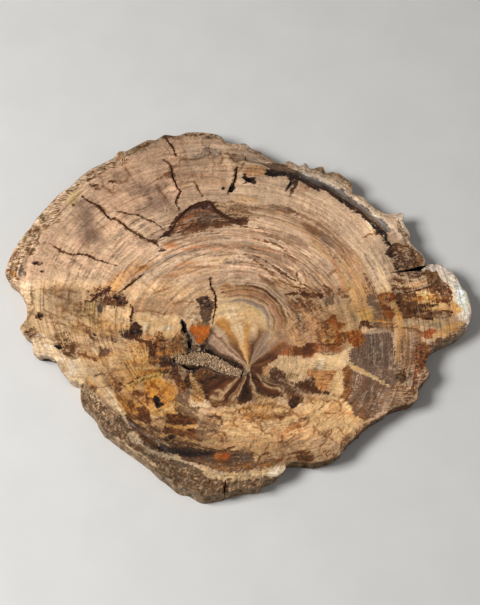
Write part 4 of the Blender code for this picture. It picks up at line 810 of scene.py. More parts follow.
    ([(0, -101), (10, -99), (20, -100), (28, -104), (14, -106), (2, -104)], ["ochre", "terracotta"],
      "rings", 1.6, 0.65, 1),
    ([(16, -107), (30, -105), (26, -112), (18, -114)], ["pale", "cream"], "blots", 4, 0.7, 1.5),
    ([(28, -120), (35, -113), (44, -106), (48, -108), (34, -121)], ["terracotta", "warm", "sand"], "rings",
      2, 0.65, 1.2),
    ([(40, -126), (44, -116), (54, -109), (56, -118), (50, -126)], ["pale", "pink", "sand"], "blots", 3,
      0.75, 1.5),
    ([(62, -117), (66, -112), (69, -112), (70.5, -117)], ["brown", "dull"], "blots", 3, 0.8, 0.8),
    ([(54, -127), (60, -120), (72, -120), (78, -127), (72, -130), (60, -130)], ["dull", "tan", "pink"],
      "blots", 2.5, 0.75, 1.2),
    ([(58, -133), (61, -129), (68, -128), (73, -130), (73, -137), (64, -140), (58, -138)],
      ["brown", "terracotta", "cream", "umber"], "blots", 1.8, 0.9, 0.9),
    ([(43, -131), (52, -129), (56, -132), (56, -138), (47, -138)], ["ochre", "brown", "umber"], "blots",
      1.8, 0.8, 1.2),
    ([(28, -138), (36, -132), (44, -130), (44, -134), (34, -139)], ["brown", "rust", "sand"], "rings", 1.4,
      0.85, 0.8),
    ([(79, -117), (86, -116), (97, -105), (104, -104), (92, -120), (76, -132)],
      ["terracotta", "mauve", "stone", "brown"], "blots", 2.2, 0.85, 1),
    # more of the dark parts, lower left to lower right
    ([(-60, -53), (-55, -50), (-50, -52), (-46, -56), (-48, -60), (-57, -58)], ["maroon", "black", "umber"],
      "blots", 1.6, 0.9, 0.8),
    ([(-81, -32), (-76, -33), (-70, -36), (-66, -40), (-70, -42), (-76, -37), (-82, -35)],
      ["maroon", "umber"], "blots", 1.5, 0.85, 0.8),
    ([(-88, -38), (-74, -37), (-68, -46), (-67, -58), (-74, -62), (-84, -60), (-88, -50)],
      ["dull", "straw", "warm", "brown", "tan", "gold"], "blots", 2, 0.7, 1.2),
    ([(-108, -29), (-92, -34), (-91, -38), (-102, -38), (-108, -35)], ["olive", "dull", "umber"], "rings",
      1.5, 0.7, 0.9),
    ([(-118, -24), (-114, -25), (-112, -29), (-108, -31), (-107, -34), (-111, -35), (-117, -28)],
      ["umber", "maroon", "shadow"], "blots", 1.6, 0.88, 0.8),
    ([(-104, -1), (-98, 5), (-90, 6), (-86, 2), (-99, -4)], ["umber", "maroon", "pink"], "blots", 1.4, 0.6,
      1),
    ([(-131, -40), (-124, -38), (-120, -45), (-122, -52), (-130, -50)], ["olive", "umber", "dull", "stone"],
      "blots", 1.8, 0.75, 0.9),
    ([(-38, -29), (-34, -33), (-31, -38), (-30, -42), (-34, -47), (-39, -49), (-41, -42), (-40, -34)],
      ["slate", "black", "mauve", "umber", "ash"], "blots", 1.6, 0.85, 0.9),
    ([(-27, -39), (-20, -36), (-14, -38), (-6, -50), (-12, -50), (-19, -46), (-27, -45), (-30, -43)],
      ["umber", "mauve", "black", "slate"], "blots", 1.6, 0.85, 0.8),
    ([(-17, -44), (-11, -46), (7, -62), (2, -62), (-5, -57), (-12, -51)], ["umber", "brown", "black"],
      "blots", 2, 0.88, 0.8),
    # painted shade in and round the pit
    ([(-63, -84), (-61, -82.5), (-58, -88), (-56, -89), (-57, -92), (-61, -92.5), (-64.5, -88)],
      ["black", "maroon"], "blots", 1.6, 0.93, 0.6),
    ([(-76, -73), (-71, -74), (-70, -79), (-76, -80)], ["pink", "dull"], "blots", 2, 0.8, 0.8),
    ([(-79, -80), (-71, -80), (-72, -84), (-79, -83)], ["umber", "brown"], "blots", 1.6, 0.85, 0.7),
    ([(-46, -70), (-41, -68), (-37, -71), (-38, -79), (-44, -81), (-47, -76)],
      ["umber", "ochre", "black", "brown"], "blots", 1.6, 0.9, 0.8),
    ([(-57, -111), (-45, -110), (-22, -113), (-24, -117), (-40, -116), (-50, -119), (-56, -116)],
      ["umber", "maroon", "brown", "black"], "rings", 1.4, 0.9, 0.8),
    ([(-50, -120), (-36, -119), (-28, -122), (-34, -126), (-48, -125)], ["umber", "mauve", "maroon"],
      "blots", 1.8, 0.85, 0.8),
    ([(-74, -110), (-60, -109), (-57, -114), (-58, -122), (-66, -124), (-72, -116)],
      ["grey_brown", "shadow", "dull", "mauve"], "rings", 1.6, 0.8, 1),
    ([(-87, -100), (-76, -105), (-71, -112), (-77, -112), (-84, -107)], ["black", "umber", "slate"],
      "blots", 1.6, 0.93, 0.7),
    ([(-29, -100), (-12, -101), (-10, -108), (-14, -114), (-28, -117)], ["grey_brown", "dull", "mauve"],
      "rings", 1.4, 0.75, 1),
    ([(-22, -84), (-16, -82), (0, -87), (-4, -92), (-14, -93), (-20, -91)], ["umber", "brown", "olive"],
      "rings", 1.5, 0.85, 0.9),
    ([(15, -74), (22, -74), (28, -80), (26, -85), (19, -81)], ["umber", "black"], "blots", 1.6, 0.9, 0.7),
    ([(2, -78), (9, -76), (11, -83), (8, -87), (2, -86)], ["umber", "black", "brown"], "blots", 1.6, 0.9,
      0.7),
    ([(30, -69), (42, -72), (52, -78), (54, -82), (48, -83), (30, -74)], ["mauve", "umber", "grey_brown"],
      "rings", 1.5, 0.85, 0.9),
    ([(42, -84), (47, -84), (46, -89), (41, -94), (39, -93)], ["black", "umber"], "blots", 1.6, 0.9, 0.7),
    ([(82, -59), (87, -62), (86, -76), (84, -86), (80, -80)], ["brown", "umber", "ochre"], "rings", 1.6,
      0.85, 0.9),
    ([(100, -31), (107, -31), (106, -44), (103, -52), (99, -46)], ["shadow", "slate", "umber"], "rings",
      1.8, 0.8, 1.2),
    ([(122, -62), (131, -60), (132, -68), (126, -72), (121, -69)], ["black", "umber", "olive"], "blots",
      1.6, 0.85, 0.9),
    ([(108, -82), (118, -78), (122, -84), (116, -92), (108, -96)], ["mauve", "stone", "brown"], "rings",
      1.6, 0.8, 0.9),
    ([(-10, 85), (40, 80), (52, 74), (50, 80), (40, 86), (20, 89), (-4, 89)],
      ["brown", "grey_brown", "dull"], "rings", 1.6, 0.8, 1),
    ([(-56, 60), (-20, 68), (-4, 70), (-10, 66), (-52, 57)], ["terracotta", "brown", "pink"], "rings", 1.2,
      0.6, 1.2),
    ([(50, 8), (62, 13), (88, 10), (88, 6), (60, 2), (50, 2)], ["umber", "brown", "dull", "pink"], "rings",
      1.3, 0.66, 2),
    # pale parts
    ([(120, 82), (134, 82), (139, 64), (149, 42), (144, 44), (128, 76)],
      ["ivory", "white", "stone", "ivory"], "blots", 2, 0.9, 0.9),
    ([(157, 37), (166, 34), (174, 26), (186, -6), (180, -26), (176, -22), (177, -6), (173, 8), (168, 20),
      (160, 27)], ["white", "ivory", "white"], "blots", 2, 0.96, 0.9),
    ([(-118, -55), (-108, -54), (-100, -62), (-98, -74), (-86, -97), (-90, -98), (-112, -68)],
      ["ivory", "pale", "cream"], "rings", 1.6, 0.6, 1.2),
    # bottom bark
    ([(-24, -139), (8, -139), (30, -136), (30, -140), (18, -144), (0, -147), (-20, -144)],
      ["brown", "umber", "dull", "shadow", "ochre"], "rings", 1.6, 0.88, 1.2),
    ([(-124, -72), (-112, -78), (-95, -98), (-86, -103), (-76, -112), (-66, -124), (-38, -138), (-26, -143),
      (-5, -147), (16, -147), (34, -140), (36, -150), (20, -158), (-10, -168), (-28, -170), (-42, -163),
      (-90, -125), (-104, -112), (-112, -98), (-124, -88)],
      ["umber", "stone", "shadow", "bark", "slate", "bark", "ash"], "blots", 2, 0.9, 0.8),
    ([(-116, -72), (-98, -92), (-90, -98), (-96, -104), (-106, -98), (-116, -84)],
      ["stone", "shadow", "ivory", "umber", "dull"], "blots", 2.2, 0.75, 1.5),
    ([(-80, -114), (-73, -114), (-70, -123), (-76, -124), (-82, -118)], ["ivory", "stone"], "blots", 2.2,
      0.8, 1),
    ([(-26, -143), (6, -148), (33, -140), (35, -146), (10, -152), (-8, -152), (-24, -149)],
      ["cream", "straw", "pale", "stone"], "blots", 2.2, 0.88, 0.9),
    ([(22, -146), (34, -142), (36, -147), (28, -150), (21, -150)], ["white", "ivory"], "blots", 2, 0.93,
      0.7),
    # the broad soft arc at the upper right, and the white bump by the channel
    ([(24, 84), (44, 80), (62, 70), (78, 56), (92, 38), (98, 26), (91, 24), (84, 38), (70, 54), (54, 67),
      (38, 75), (22, 79)], ["dull", "warm", "pink", "grey_brown"], "rings", 2.2, 0.5, 3),
    ([(50, 129), (54, 133), (58, 128), (56, 121), (51, 121)], ["ash", "ivory", "stone"], "blots", 2, 0.88,
      0.8),
    # the corner above the knob, and the blocks in the knob
    ([(126, 48), (134, 50), (142, 44), (147, 36), (146, 32), (136, 30), (126, 31), (123, 38)],
      ["umber", "sand", "brown", "umber", "pale", "maroon"], "blots", 2.4, 0.85, 1),
    ([(127, 6), (140, 6), (141, -3), (150, -4), (150, -15), (140, -17), (128, -17)],
      ["umber", "brown", "shadow", "umber"], "blots", 2.2, 0.85, 1),
    ([(140, 9), (151, 10), (150, -3), (141, -3)], ["sand", "warm", "dull", "pale"], "blots", 2.4, 0.8, 1.2),
    ([(151, 22), (160, 20), (167, 10), (166, 1), (153, 3), (150, 12)], ["umber", "maroon", "dull", "brown"],
      "blots", 1.5, 0.85, 1),
    # the cream arcs at the left
    ([(-102, -5), (-90, -8), (-84, -14), (-88, -22), (-98, -20), (-104, -13)], ["cream", "pale", "tan"],
      "blots", 3, 0.7, 1.5),
]

# Lines on the face: points, colour, width, strength
STROKES = [
    # left
    ([(-142, 73), (-151, 68), (-153, 65), (-156, 66)], "brown", 1.2, 0.75),
    ([(-158, 60), (-159, 54), (-157, 51.5)], "umber", 1.6, 0.8),
    ([(-157.5, 79), (-156, 73)], "olive", 4, 0.8),
    ([(-162, 68), (-159, 63)], "umber", 4, 0.7),
    ([(-171, 58), (-168, 55)], "olive", 4, 0.75),
    ([(-178, 46), (-176, 40)], "brown", 3, 0.6),
    ([(-178, 27), (-177, 22)], "ochre", 4, 0.7),
    ([(-161.5, 35), (-160, 33), (-157, 32.5), (-156, 35)], "umber", 2, 0.9),
    ([(-154, 54), (-147, 50.5), (-143, 47), (-139, 45)], "brown", 1, 0.6),
    ([(-121, 21), (-116, 27), (-110, 29.5)], "dull", 1.4, 0.8),
    ([(-110, 107), (-101, 101), (-97, 102)], "brown", 1.2, 0.7),
    ([(-133, 90), (-130, 86)], "umber", 1.8, 0.8),
    ([(-95, 130), (-91, 124), (-88.5, 118), (-90, 112), (-94, 110.5), (-99, 112)], "brown", 1.8, 0.7),
    ([(-112, 127), (-108, 122)], "olive", 3, 0.7),
    ([(-98, 140), (-97, 133)], "brown", 2.5, 0.6),
    ([(-86, 106), (-80, 105), (-70, 109)], "grey_brown", 2, 0.6),
    # painted highlight along the left and top rim, where the light catches its edge
    ([(-182, 30), (-179.5, 40), (-175, 51), (-170, 60.5), (-160.5, 76), (-148, 94), (-143, 100),
      (-137, 105), (-120, 123), (-102, 134), (-98, 140)], "ivory", 1.8, 0.75),
    ([(-92, 141), (-78, 150), (-73, 152.5), (-67, 152.5), (-60, 157.5)], "stone", 1.4, 0.6),
    ([(-50, 156.5), (-41, 160), (-25, 159.5), (-15, 156.5), (-9, 150)], "pale", 1.4, 0.7),
    # top
    ([(-70, 110), (-56, 120.5)], "brown", 2, 0.8),
    ([(-75, 99), (-72, 95), (-68, 87)], "brown", 1, 0.6),
    ([(-66, 107), (-63, 101.5), (-59, 98), (-58.5, 93)], "umber", 1.5, 0.75),
    ([(-57, 152), (-53, 142)], "umber", 1.4, 0.8),
    ([(-28, 143.5), (-24, 145.5), (-21, 144.5)], "shadow", 1.8, 0.7),
    ([(-38, 133.5), (-33, 133.5), (-24, 137), (-20, 135.5), (-14, 137.5)], "shadow", 1.8, 0.65),
    ([(-44, 135), (-41, 131)], "olive", 2.4, 0.6),
    ([(-15, 128), (-12.5, 132), (-13, 137), (-15, 140)], "brown", 1.2, 0.75),
    ([(-12, 139.5), (-8, 139), (-4, 132), (0, 130.5), (4, 132)], "umber", 1.6, 0.75),
    ([(-2, 122), (-1, 117), (-2, 110)], "umber", 1.8, 0.9),
    ([(-35, 111), (-29, 97)], "brown", 1, 0.6),
    # painted shade in the pit
    ([(-5, 108), (-4, 105), (-5.5, 102)], "black", 3.6, 0.97),
    ([(-22, 91.2), (-1, 91)], "brown", 1.2, 0.8),
    # dark triangle
    ([(-58, 59.5), (-54, 64), (-52, 70), (-38, 86), (-32, 89), (-25, 91)], "maroon", 3.6, 0.95),
    ([(-22, 91), (-19, 86), (-14, 80), (-8, 76), (-2, 73.5), (8, 73.5)], "maroon", 3, 0.97),
    ([(-50, 61), (-30, 66.5), (-18, 68), (-4, 68.5)], "umber", 1.6, 0.8),
    ([(-20, 72), (-10, 71), (0, 71.5)], "umber", 1.8, 0.8),
    ([(0, 83), (5, 84.5)], "brown", 2, 0.7),
    ([(1, 66.5), (5, 67), (17, 65.5), (20, 66)], "brown", 1.8, 0.8),
    ([(17, 69), (21, 65), (24, 60)], "grey_brown", 1.6, 0.6),
    ([(0, 70), (6, 69.5)], "maroon", 2.2, 0.8),
    ([(-58, 50.5), (-52, 52), (-49, 49), (-56, 48)], "terracotta", 3.4, 0.6),
    ([(-60, 52), (-44, 57), (-34, 59)], "brown", 1.4, 0.5),
    ([(-62, 45.5), (-59, 46), (-56, 44.5)], "umber", 2.4, 0.95),
    # ring lines, right of centre
    ([(50, 80), (66, 69), (72, 63), (77, 59.5)], "brown", 2.6, 0.55),
    ([(52, 69.5), (69, 59)], "brown", 5.5, 0.65),
    ([(68, 60), (72, 55), (74, 49)], "mauve", 6, 0.6),
    ([(76, 60), (86, 49), (91, 42)], "brown", 3, 0.5),
    ([(40, 58), (46, 56.5), (56, 48.5)], "grey_brown", 4.5, 0.65),
    ([(40, 52), (48, 49), (50, 44)], "dull", 4, 0.6),
    ([(12, 56.5), (20, 55), (33, 49.5), (40, 43)], "brown", 1.5, 0.85),
    ([(24, 59), (34, 58.5), (42, 54), (46, 49)], "dull", 2.2, 0.5),
    ([(40, 42), (47, 34)], "brown", 1.2, 0.6),
    ([(0, 48), (22, 43), (44, 31)], "grey_brown", 3, 0.5),
    ([(6, 42), (22, 35), (40, 21), (46, 18)], "umber", 1.9, 0.85),
    ([(9, 40), (25, 30)], "grey_brown", 3, 0.55),
    ([(12, 36.5), (22, 28.5), (33, 18), (44, 12), (51, 10)], "brown", 1.6, 0.8),
    ([(17, 22.5), (33, 8)], "brown", 2.8, 0.65),
    ([(27, 19), (34, 13.5)], "brown", 2, 0.6),
    ([(47, 25), (48, 18), (51, 14), (56, 11)], "umber", 2.2, 0.85),
    ([(41, 28), (42, 24), (46, 20)], "brown", 1.3, 0.7),
    ([(5, 13.5), (12, 12.5), (18, 10.5), (24, 7), (30, 2), (33, -3)], "maroon", 2.6, 0.85),
    ([(14, 11), (18, 9)], "maroon", 3, 0.8),
    ([(21, 7), (28, 0)], "black", 2.2, 0.8),
    ([(30, 12), (36, 7), (41, 4), (47, 2)], "pale", 1.8, 0.7),
    ([(36, 5), (43, 5.5), (50, 5)], "umber", 1.6, 0.9),
    ([(48, 9), (52, 6), (58, 3)], "maroon", 2.6, 0.8),
    ([(62, 5), (66, 2)], "maroon", 3, 0.8),
    ([(71, 21), (74, 25), (78, 28)], "brown", 2.2, 0.6),
    ([(60, 27), (68, 17), (74, 11)], "warm", 1.2, 0.8),
    ([(78, 6), (88, 10)], "brown", 2, 0.7),
    ([(0, 21.5), (8, 20), (14, 17.5)], "dull", 1.8, 0.5),
    ([(-12, 13), (-4, 12)], "brown", 2.2, 0.6),
    # ring lines, left of centre
    ([(-60, 31), (-50, 36), (-38, 39), (-24, 40)], "pale", 2.6, 0.7),
    ([(-66, 34), (-56, 40), (-44, 43), (-30, 43.5), (-10, 43)], "pale", 2.4, 0.6),
    ([(-67, 31.5), (-60, 36.5), (-54, 39.5), (-44, 41.5), (-36, 41)], "ash", 1.6, 0.6),
    ([(-45, 45), (-36, 47.5), (-26, 49), (-16, 46), (-13, 44)], "terracotta", 1.8, 0.65),
    ([(-44, 55), (-36, 53.5), (-20, 57)], "brown", 1.2, 0.5),
    ([(-58, 51), (-50, 49)], "terracotta", 3, 0.6),
    ([(-52, 25), (-40, 30), (-14, 31)], "brown", 1.3, 0.5),
    ([(-56, 22), (-46, 24), (-34, 25), (-24, 23)], "warm", 2.6, 0.6),
    ([(-62, 20), (-52, 22), (-46, 19)], "terracotta", 2.6, 0.5),
    ([(-66, 6), (-52, 11)], "brown", 1.6, 0.6),
    ([(-66, 2), (-57, 6), (-48, 8)], "dull", 1.4, 0.6),
    ([(-24, 36), (-14, 36), (-6, 38)], "straw", 3, 0.5),
    ([(-13, 49), (-6, 47.5), (0, 48)], "brown", 1.4, 0.6),
    ([(-20, 60), (-8, 61), (6, 61)], "pale", 2.4, 0.6),
    ([(-92, -73), (-90, -78)], "umber", 3, 0.7),
    # upper right
    ([(8, 134), (24, 129)], "stone", 5, 0.6),
    ([(22, 129), (48, 122)], "grey_brown", 6, 0.9),
    # painted shadow under the channel's inner lip
    ([(23, 119), (31, 118.5), (40, 119)], "black", 4, 0.95),
    ([(47, 109), (42, 97)], "umber", 2.6, 0.85),
    ([(0, 121), (5, 129)], "brown", 1.4, 0.7),
    # painted shadow along the channel's inner lip, and painted shade in the pit at its bend
    ([(50, 112), (57, 109), (62, 105), (70, 103)], "maroon", 2.6, 0.9),
    ([(71, 106), (77, 99), (93, 89.5)], "maroon", 3.4, 0.92),
    ([(95, 87), (102, 79), (110, 73)], "umber", 2.6, 0.85),
    ([(82, 92), (84, 91)], "black", 3.6, 0.95),
    ([(91, 88), (93, 86), (91, 83)], "umber", 1.4, 0.8),
    ([(94, 88), (95, 84), (93, 80)], "umber", 1.2, 0.75),
    # painted shadow at the channel's end, under its inner lip
    ([(111, 71), (112, 63), (117, 61), (119, 55), (122, 50)], "black", 2.4, 0.9),
    ([(100, 57), (105, 60.5), (110, 62.5)], "brown", 1.3, 0.85),
    ([(124, 80), (131, 79), (133, 72)], "ivory", 1.6, 0.5),
    ([(137, 55), (147, 40), (147, 27)], "ivory", 1.8, 0.85),
    ([(143, 38), (146, 33)], "terracotta", 4, 0.75),
    ([(123, 19), (130, 19.5)], "umber", 1.6, 0.8),
    ([(129, 20.5), (138, 19), (148, 24)], "umber", 2.4, 0.85),
    ([(127, 26), (134, 22), (142, 24)], "stone", 1.4, 0.6),
    ([(121, 14), (128, 14)], "umber", 2.2, 0.8),
    ([(137, 13), (146, 17)], "rust", 2, 0.7),
    ([(131, 15), (140, 16), (148, 19)], "tan", 2.6, 0.7),
    ([(122, 9), (136, 9.5)], "umber", 2.8, 0.9),
    ([(124, 5.5), (131, 6), (138, 8)], "ash", 2.2, 0.95),
    ([(138, 8.5), (151, 13)], "umber", 1.4, 0.9),
    ([(151, -8.5), (157, -6.5), (164, -6)], "cream", 2.4, 0.85),
    ([(122.5, -3), (125.5, -18), (126, -25), (122.5, -44), (122.5, -56)], "honey", 3.4, 0.85),
    ([(128, -25.5), (136, -26.5), (145, -31)], "umber", 2, 0.75),
    ([(137, -25), (140, -33), (141, -40)], "brown", 1.6, 0.6),
    ([(100, -30.5), (110, -28.5), (119, -29.5)], "stone", 3, 0.7),
    ([(131, -66), (129.5, -75)], "ash", 3, 0.6),
    ([(82, -54), (115, -76)], "straw", 2.8, 0.9),
    ([(88, -58), (101, -67)], "honey", 1.4, 0.7),
    ([(93, -50), (95, -58)], "shadow", 3, 0.5),
    # centre right
    ([(61, -38.5), (79, -40)], "umber", 2, 0.85),
    ([(74, -21), (76, -27)], "rust", 3, 0.7),
    ([(62, -21.5), (70, -20.5)], "umber", 2, 0.7),
    ([(62, -26), (64, -33)], "brown", 3.2, 0.7),
    ([(29, -42), (34, -40.5)], "maroon", 2, 0.8),
    ([(45.5, -43), (46, -49)], "umber", 1.8, 0.8),
    ([(64, -48), (70, -48.7), (76, -48)], "shadow", 0.9, 0.8),
    ([(37, -70), (40, -66), (46, -67)], "olive", 1.6, 0.7),
    ([(40, -75), (48, -76), (56, -79.5), (63, -81.5), (69, -81.5)], "umber", 3, 0.93),
    ([(33, -12), (36, -19)], "brown", 1.8, 0.7),
    ([(27, -5), (31, -9), (33, -10)], "maroon", 2.4, 0.7),
    ([(35, -6), (39, -13), (40, -20)], "honey", 2.2, 0.7),
    ([(18, -2), (23, -5), (27, -11)], "pink", 2, 0.8),
    ([(32, -2), (38, -8)], "pale", 1.4, 0.7),
    ([(29, -12), (33, -19), (34, -24)], "terracotta", 1.8, 0.5),
    ([(41, -4), (46, -8), (48, -12)], "brown", 2, 0.6),
    # the dome
    ([(4, -0.5), (12, -3), (19, -8), (24, -15), (27, -26)], "mauve", 2.6, 0.7),
    ([(21, -8), (24, -13), (26, -19)], "ash", 2.4, 0.8),
    ([(9, -7), (15, -10), (19, -16), (22.5, -24)], "straw", 3.2, 0.82),
    ([(7, -10), (12, -14), (15, -22)], "pink", 1.2, 0.7),
    ([(-18, -23), (-9, -38)], "brown", 0.9, 0.8),
    ([(-16, 1), (-6, 3.5), (4, 2), (10, -1)], "dull", 1.1, 0.85),
    ([(-15, -2), (-5, 0), (3, -2)], "tan", 1.2, 0.85),
    ([(14, 4), (24, 1), (33, -7), (38, -17)], "umber", 1.2, 0.82),
    ([(12, 7), (25, 4), (36, -4), (43, -16)], "dull", 1.2, 0.85),
    ([(18, 9), (32, 3), (43, -8), (48, -20)], "brown", 1.2, 0.85),
    # left centre
    ([(-51, -13), (-57, -28)], "dull", 0.9, 0.7),
    ([(-83, -5), (-81.5, -9), (-83, -15), (-82, -20)], "maroon", 2, 0.9),
    ([(-80, -9.5), (-68, -10.5), (-56, -13.5), (-50, -12)], "brown", 1.2, 0.6),
    # the black lines here are painted shade in the slots and pits
    ([(-43, -19), (-41, -24), (-40, -29.5)], "black", 4.2, 0.97),
    ([(-38, -30), (-36, -37), (-37.5, -44)], "black", 3, 0.92),
    ([(-36.5, -30), (-33.5, -35), (-32.5, -40)], "ash", 2, 0.8),
    ([(-28, -40.5), (-27.5, -45.5)], "black", 3.4, 0.95),
    ([(-24, -45.5), (-18, -47.5)], "black", 3.4, 0.93),
    ([(-79, -35), (-66, -38)], "umber", 2, 0.85),
    ([(-75, -38), (-72, -43)], "brown", 3, 0.6),
    ([(-79, -54), (-78, -59)], "brown", 2.4, 0.7),
    ([(-51, -42), (-50, -46)], "umber", 3, 0.7),
    ([(-57, -41), (-55, -46), (-56, -51)], "umber", 2, 0.7),
    ([(-60, -47), (-60, -40)], "terracotta", 2.6, 0.5),
    ([(-50, -4), (-44, -2), (-34, -1)], "brown", 1.4, 0.6),
    # left
    ([(-115, -2), (-99, 11.5)], "maroon", 3, 0.9),
    ([(-132, -40), (-133, -45), (-130, -48), (-126, -46), (-126, -42)], "umber", 2.2, 0.85),
    # painted shade in the pit
    ([(-140, -41.5), (-137, -41.5), (-135.5, -43.5)], "black", 2.6, 0.92),
    ([(-139, -32), (-134, -31.5)], "olive", 2, 0.7),
    ([(-131, -20), (-128, -23), (-128, -28)], "olive", 1.4, 0.7),
    ([(-156, -13), (-156, -16), (-152, -17)], "umber", 1.6, 0.8),
    ([(-122, -47), (-110, -51.5), (-105, -52)], "brown", 3.2, 0.85),
    ([(-122, -29), (-107, -40), (-94, -41)], "cream", 2.6, 0.7),
    ([(-106, -33), (-98, -37)], "grey_brown", 4, 0.5),
    ([(-109, -67), (-104, -65.5), (-101, -66.5)], "brown", 1.8, 0.8),
    ([(-112, -77), (-108, -77.5), (-108, -80)], "umber", 3.6, 0.75),
    ([(-102, -66), (-97, -82)], "dull", 3, 0.5),
    ([(-115, -70), (-113, -78)], "olive", 2, 0.5),
    ([(-95, -87), (-89, -92), (-84, -98)], "ivory", 1.6, 0.7),
    ([(-84, -48), (-80, -52)], "cream", 3, 0.5),
    ([(-96, -50), (-88, -50), (-80, -48)], "cream", 3, 0.5),
    # golden patch
    ([(-83, -76.5), (-54, -63)], "olive", 1.3, 0.9),
    ([(-75, -66.5), (-66, -63), (-52, -60)], "ochre", 2.4, 0.75),
    # painted shade in the pit
    ([(-62, -86), (-60, -89), (-59, -93)], "black", 4.6, 0.95),
    ([(-54, -107.5), (-46, -110.5), (-38, -111), (-29, -108)], "honey", 2.6, 0.85),
    ([(-55, -112.5), (-38, -115), (-30, -114)], "brown", 2.2, 0.85),
    ([(-58, -104), (-55, -107)], "sand", 5, 0.6),
    ([(-86, -103), (-74, -111), (-70, -117), (-63, -124), (-57, -128)], "umber", 3.6, 0.85),
    ([(-59, -126), (-50, -129), (-40, -131), (-30, -131.5), (-20, -131)], "black", 4.4, 0.88),
    ([(-20, -130.5), (-12, -130), (-6, -127.5), (-3, -127.5)], "umber", 2, 0.85),
    # rays under the pith
    ([(-20, -88), (-14, -86)], "brown", 3, 0.7),
    ([(12.5, -83), (12.5, -91)], "dull", 2.6, 0.9),
    ([(-1, -86), (-3, -92)], "dull", 2.4, 0.85),
    ([(16, -83), (21, -86), (26, -87)], "sand", 2.6, 0.85),
    ([(32, -70), (40, -75), (46, -80), (50, -82)], "dull", 1.8, 0.85),
    ([(28, -80), (31, -86)], "umber", 2.4, 0.8),
    ([(33, -76), (38, -88)], "pink", 1.6, 0.8),
    ([(-2, -88), (-8, -92)], "brown", 2, 0.7),
    ([(-36, -66), (-33, -72), (-28, -78)], "sand", 2.6, 0.9),
    ([(-43, -58), (-41, -64), (-42, -70)], "dull", 2, 0.75),
    ([(-38, -62), (-40, -68)], "mauve", 2.2, 0.7),
    # painted shade in the open crack at its lower lip
    ([(-35, -60), (-34, -65)], "black", 5, 0.95),
    # lower right
    ([(30, -92), (35, -93), (41.5, -98)], "brown", 1.2, 0.75),
    ([(27, -101), (33, -105)], "brown", 1.6, 0.75),
    ([(45, -104.5), (49, -102.5), (53, -104), (52, -108), (47, -110), (43, -109)], "brown", 1.6, 0.75),
    ([(13, -106), (17, -108), (19, -112), (18, -116)], "brown", 1, 0.7),
    ([(15, -105), (24, -104), (30, -106)], "brown", 1.4, 0.5),
    ([(40, -121), (45, -117.5), (51, -118.5)], "dull", 1.2, 0.8),
    ([(38, -127), (50, -121)], "dull", 1.2, 0.8),
    ([(53, -127), (58, -121), (63, -118.5)], "dull", 1.4, 0.8),
    ([(30, -119), (33, -124), (37, -128)], "dull", 1.4, 0.7),
    ([(70, -120), (74, -123), (72, -127)], "dull", 1.2, 0.7),
    ([(16, -126), (20, -128), (24, -126)], "warm", 3, 0.7),
    ([(15, -138), (17, -133.5), (21, -131.5), (26, -132)], "brown", 1.4, 0.8),
    ([(15, -139), (26, -133.5)], "brown", 1.2, 0.7),
    ([(30, -135), (37, -131), (44, -129)], "stone", 1.6, 0.7),
    ([(34, -137), (42, -133), (46, -132)], "cream", 1.2, 0.7),
    ([(58, -133), (60, -137.5), (66, -136), (73, -136)], "cream", 1.4, 0.8),
    ([(55, -128), (60, -131)], "cream", 2, 0.7),
    ([(52, -85), (60, -87), (68, -86)], "brown", 2, 0.5),
    # more rays
    ([(3, -6), (7, -3), (10, -4), (12, -7)], "dull", 2.6, 0.85),
    ([(12, -6), (16, -11), (20, -18), (22, -24)], "straw", 2.4, 0.8),
    ([(18, -6), (23, -12), (26, -19)], "ash", 2, 0.82),
    ([(14, -1), (21, -6), (27, -14), (29, -22)], "mauve", 1.6, 0.8),
    ([(24, -2), (30, -8), (35, -16), (36, -20)], "brown", 1.3, 0.85),
    ([(28, 0), (35, -8), (40, -18)], "cream", 1.4, 0.85),
    ([(31, -2), (38, -10), (42, -19)], "brown", 1, 0.85),
    ([(34, 1), (42, -7), (47, -17), (49, -26)], "mauve", 1.4, 0.8),
    ([(21, 6), (27, 2.5), (32, -2)], "maroon", 2.4, 0.85),
    ([(22, -70), (30, -77)], "ivory", 1.5, 0.93),
    ([(-45, -60), (-40, -73)], "dull", 1.4, 0.8),
    ([(-50, -58), (-52, -64), (-56, -68)], "dull", 1.2, 0.75),
    ([(-36, -62), (-30, -73)], "honey", 1.6, 0.8),
    ([(-58, -61), (-70, -66.5), (-88, -78)], "umber", 1.2, 0.85),
    ([(-60, -63), (-72, -69), (-84, -77)], "straw", 1.4, 0.8),
    ([(45, -71.5), (62, -80.5), (70, -80.5)], "maroon", 1.6, 0.9),
    ([(32, -72), (42, -75), (50, -81)], "stone", 1.2, 0.8),
    ([(93, -63), (89, -80)], "stone", 1.1, 0.75),
    ([(108, -77), (106, -86), (102, -95)], "stone", 1.4, 0.7),
    ([(103, -33), (101, -52)], "shadow", 1.6, 0.7),
    ([(111, -32), (111, -44), (109, -56)], "ash", 1.2, 0.6),
    ([(-101, -75), (-86, -98)], "ivory", 1.4, 0.85),
    ([(-99, -72), (-86, -91)], "umber", 0.9, 0.6),
    # bottom bark
    ([(-99, -84), (-86, -98.5), (-82, -108), (-79, -111)], "ivory", 2, 0.85),
    ([(-74, -121), (-67, -128), (-50, -135), (-42, -137), (-28, -143)], "ivory", 1.8, 0.85),
    ([(-91, -118), (-84, -122), (-82, -126), (-69, -133), (-66, -137)], "pale", 1.6, 0.85),
    ([(-50, -134), (-45, -135), (-41, -138)], "straw", 2, 0.7),
    ([(-60, -145), (-54, -146)], "olive", 3, 0.6),
    # painted shade in the deep crack at the rim
    ([(-8.6, -156), (-8.8, -166)], "black", 1.6, 0.9),
    ([(-64, -139), (-61, -142)], "pale", 2.6, 0.7),
    ([(-77, -123), (-72, -127), (-70, -130)], "umber", 1.6, 0.7),
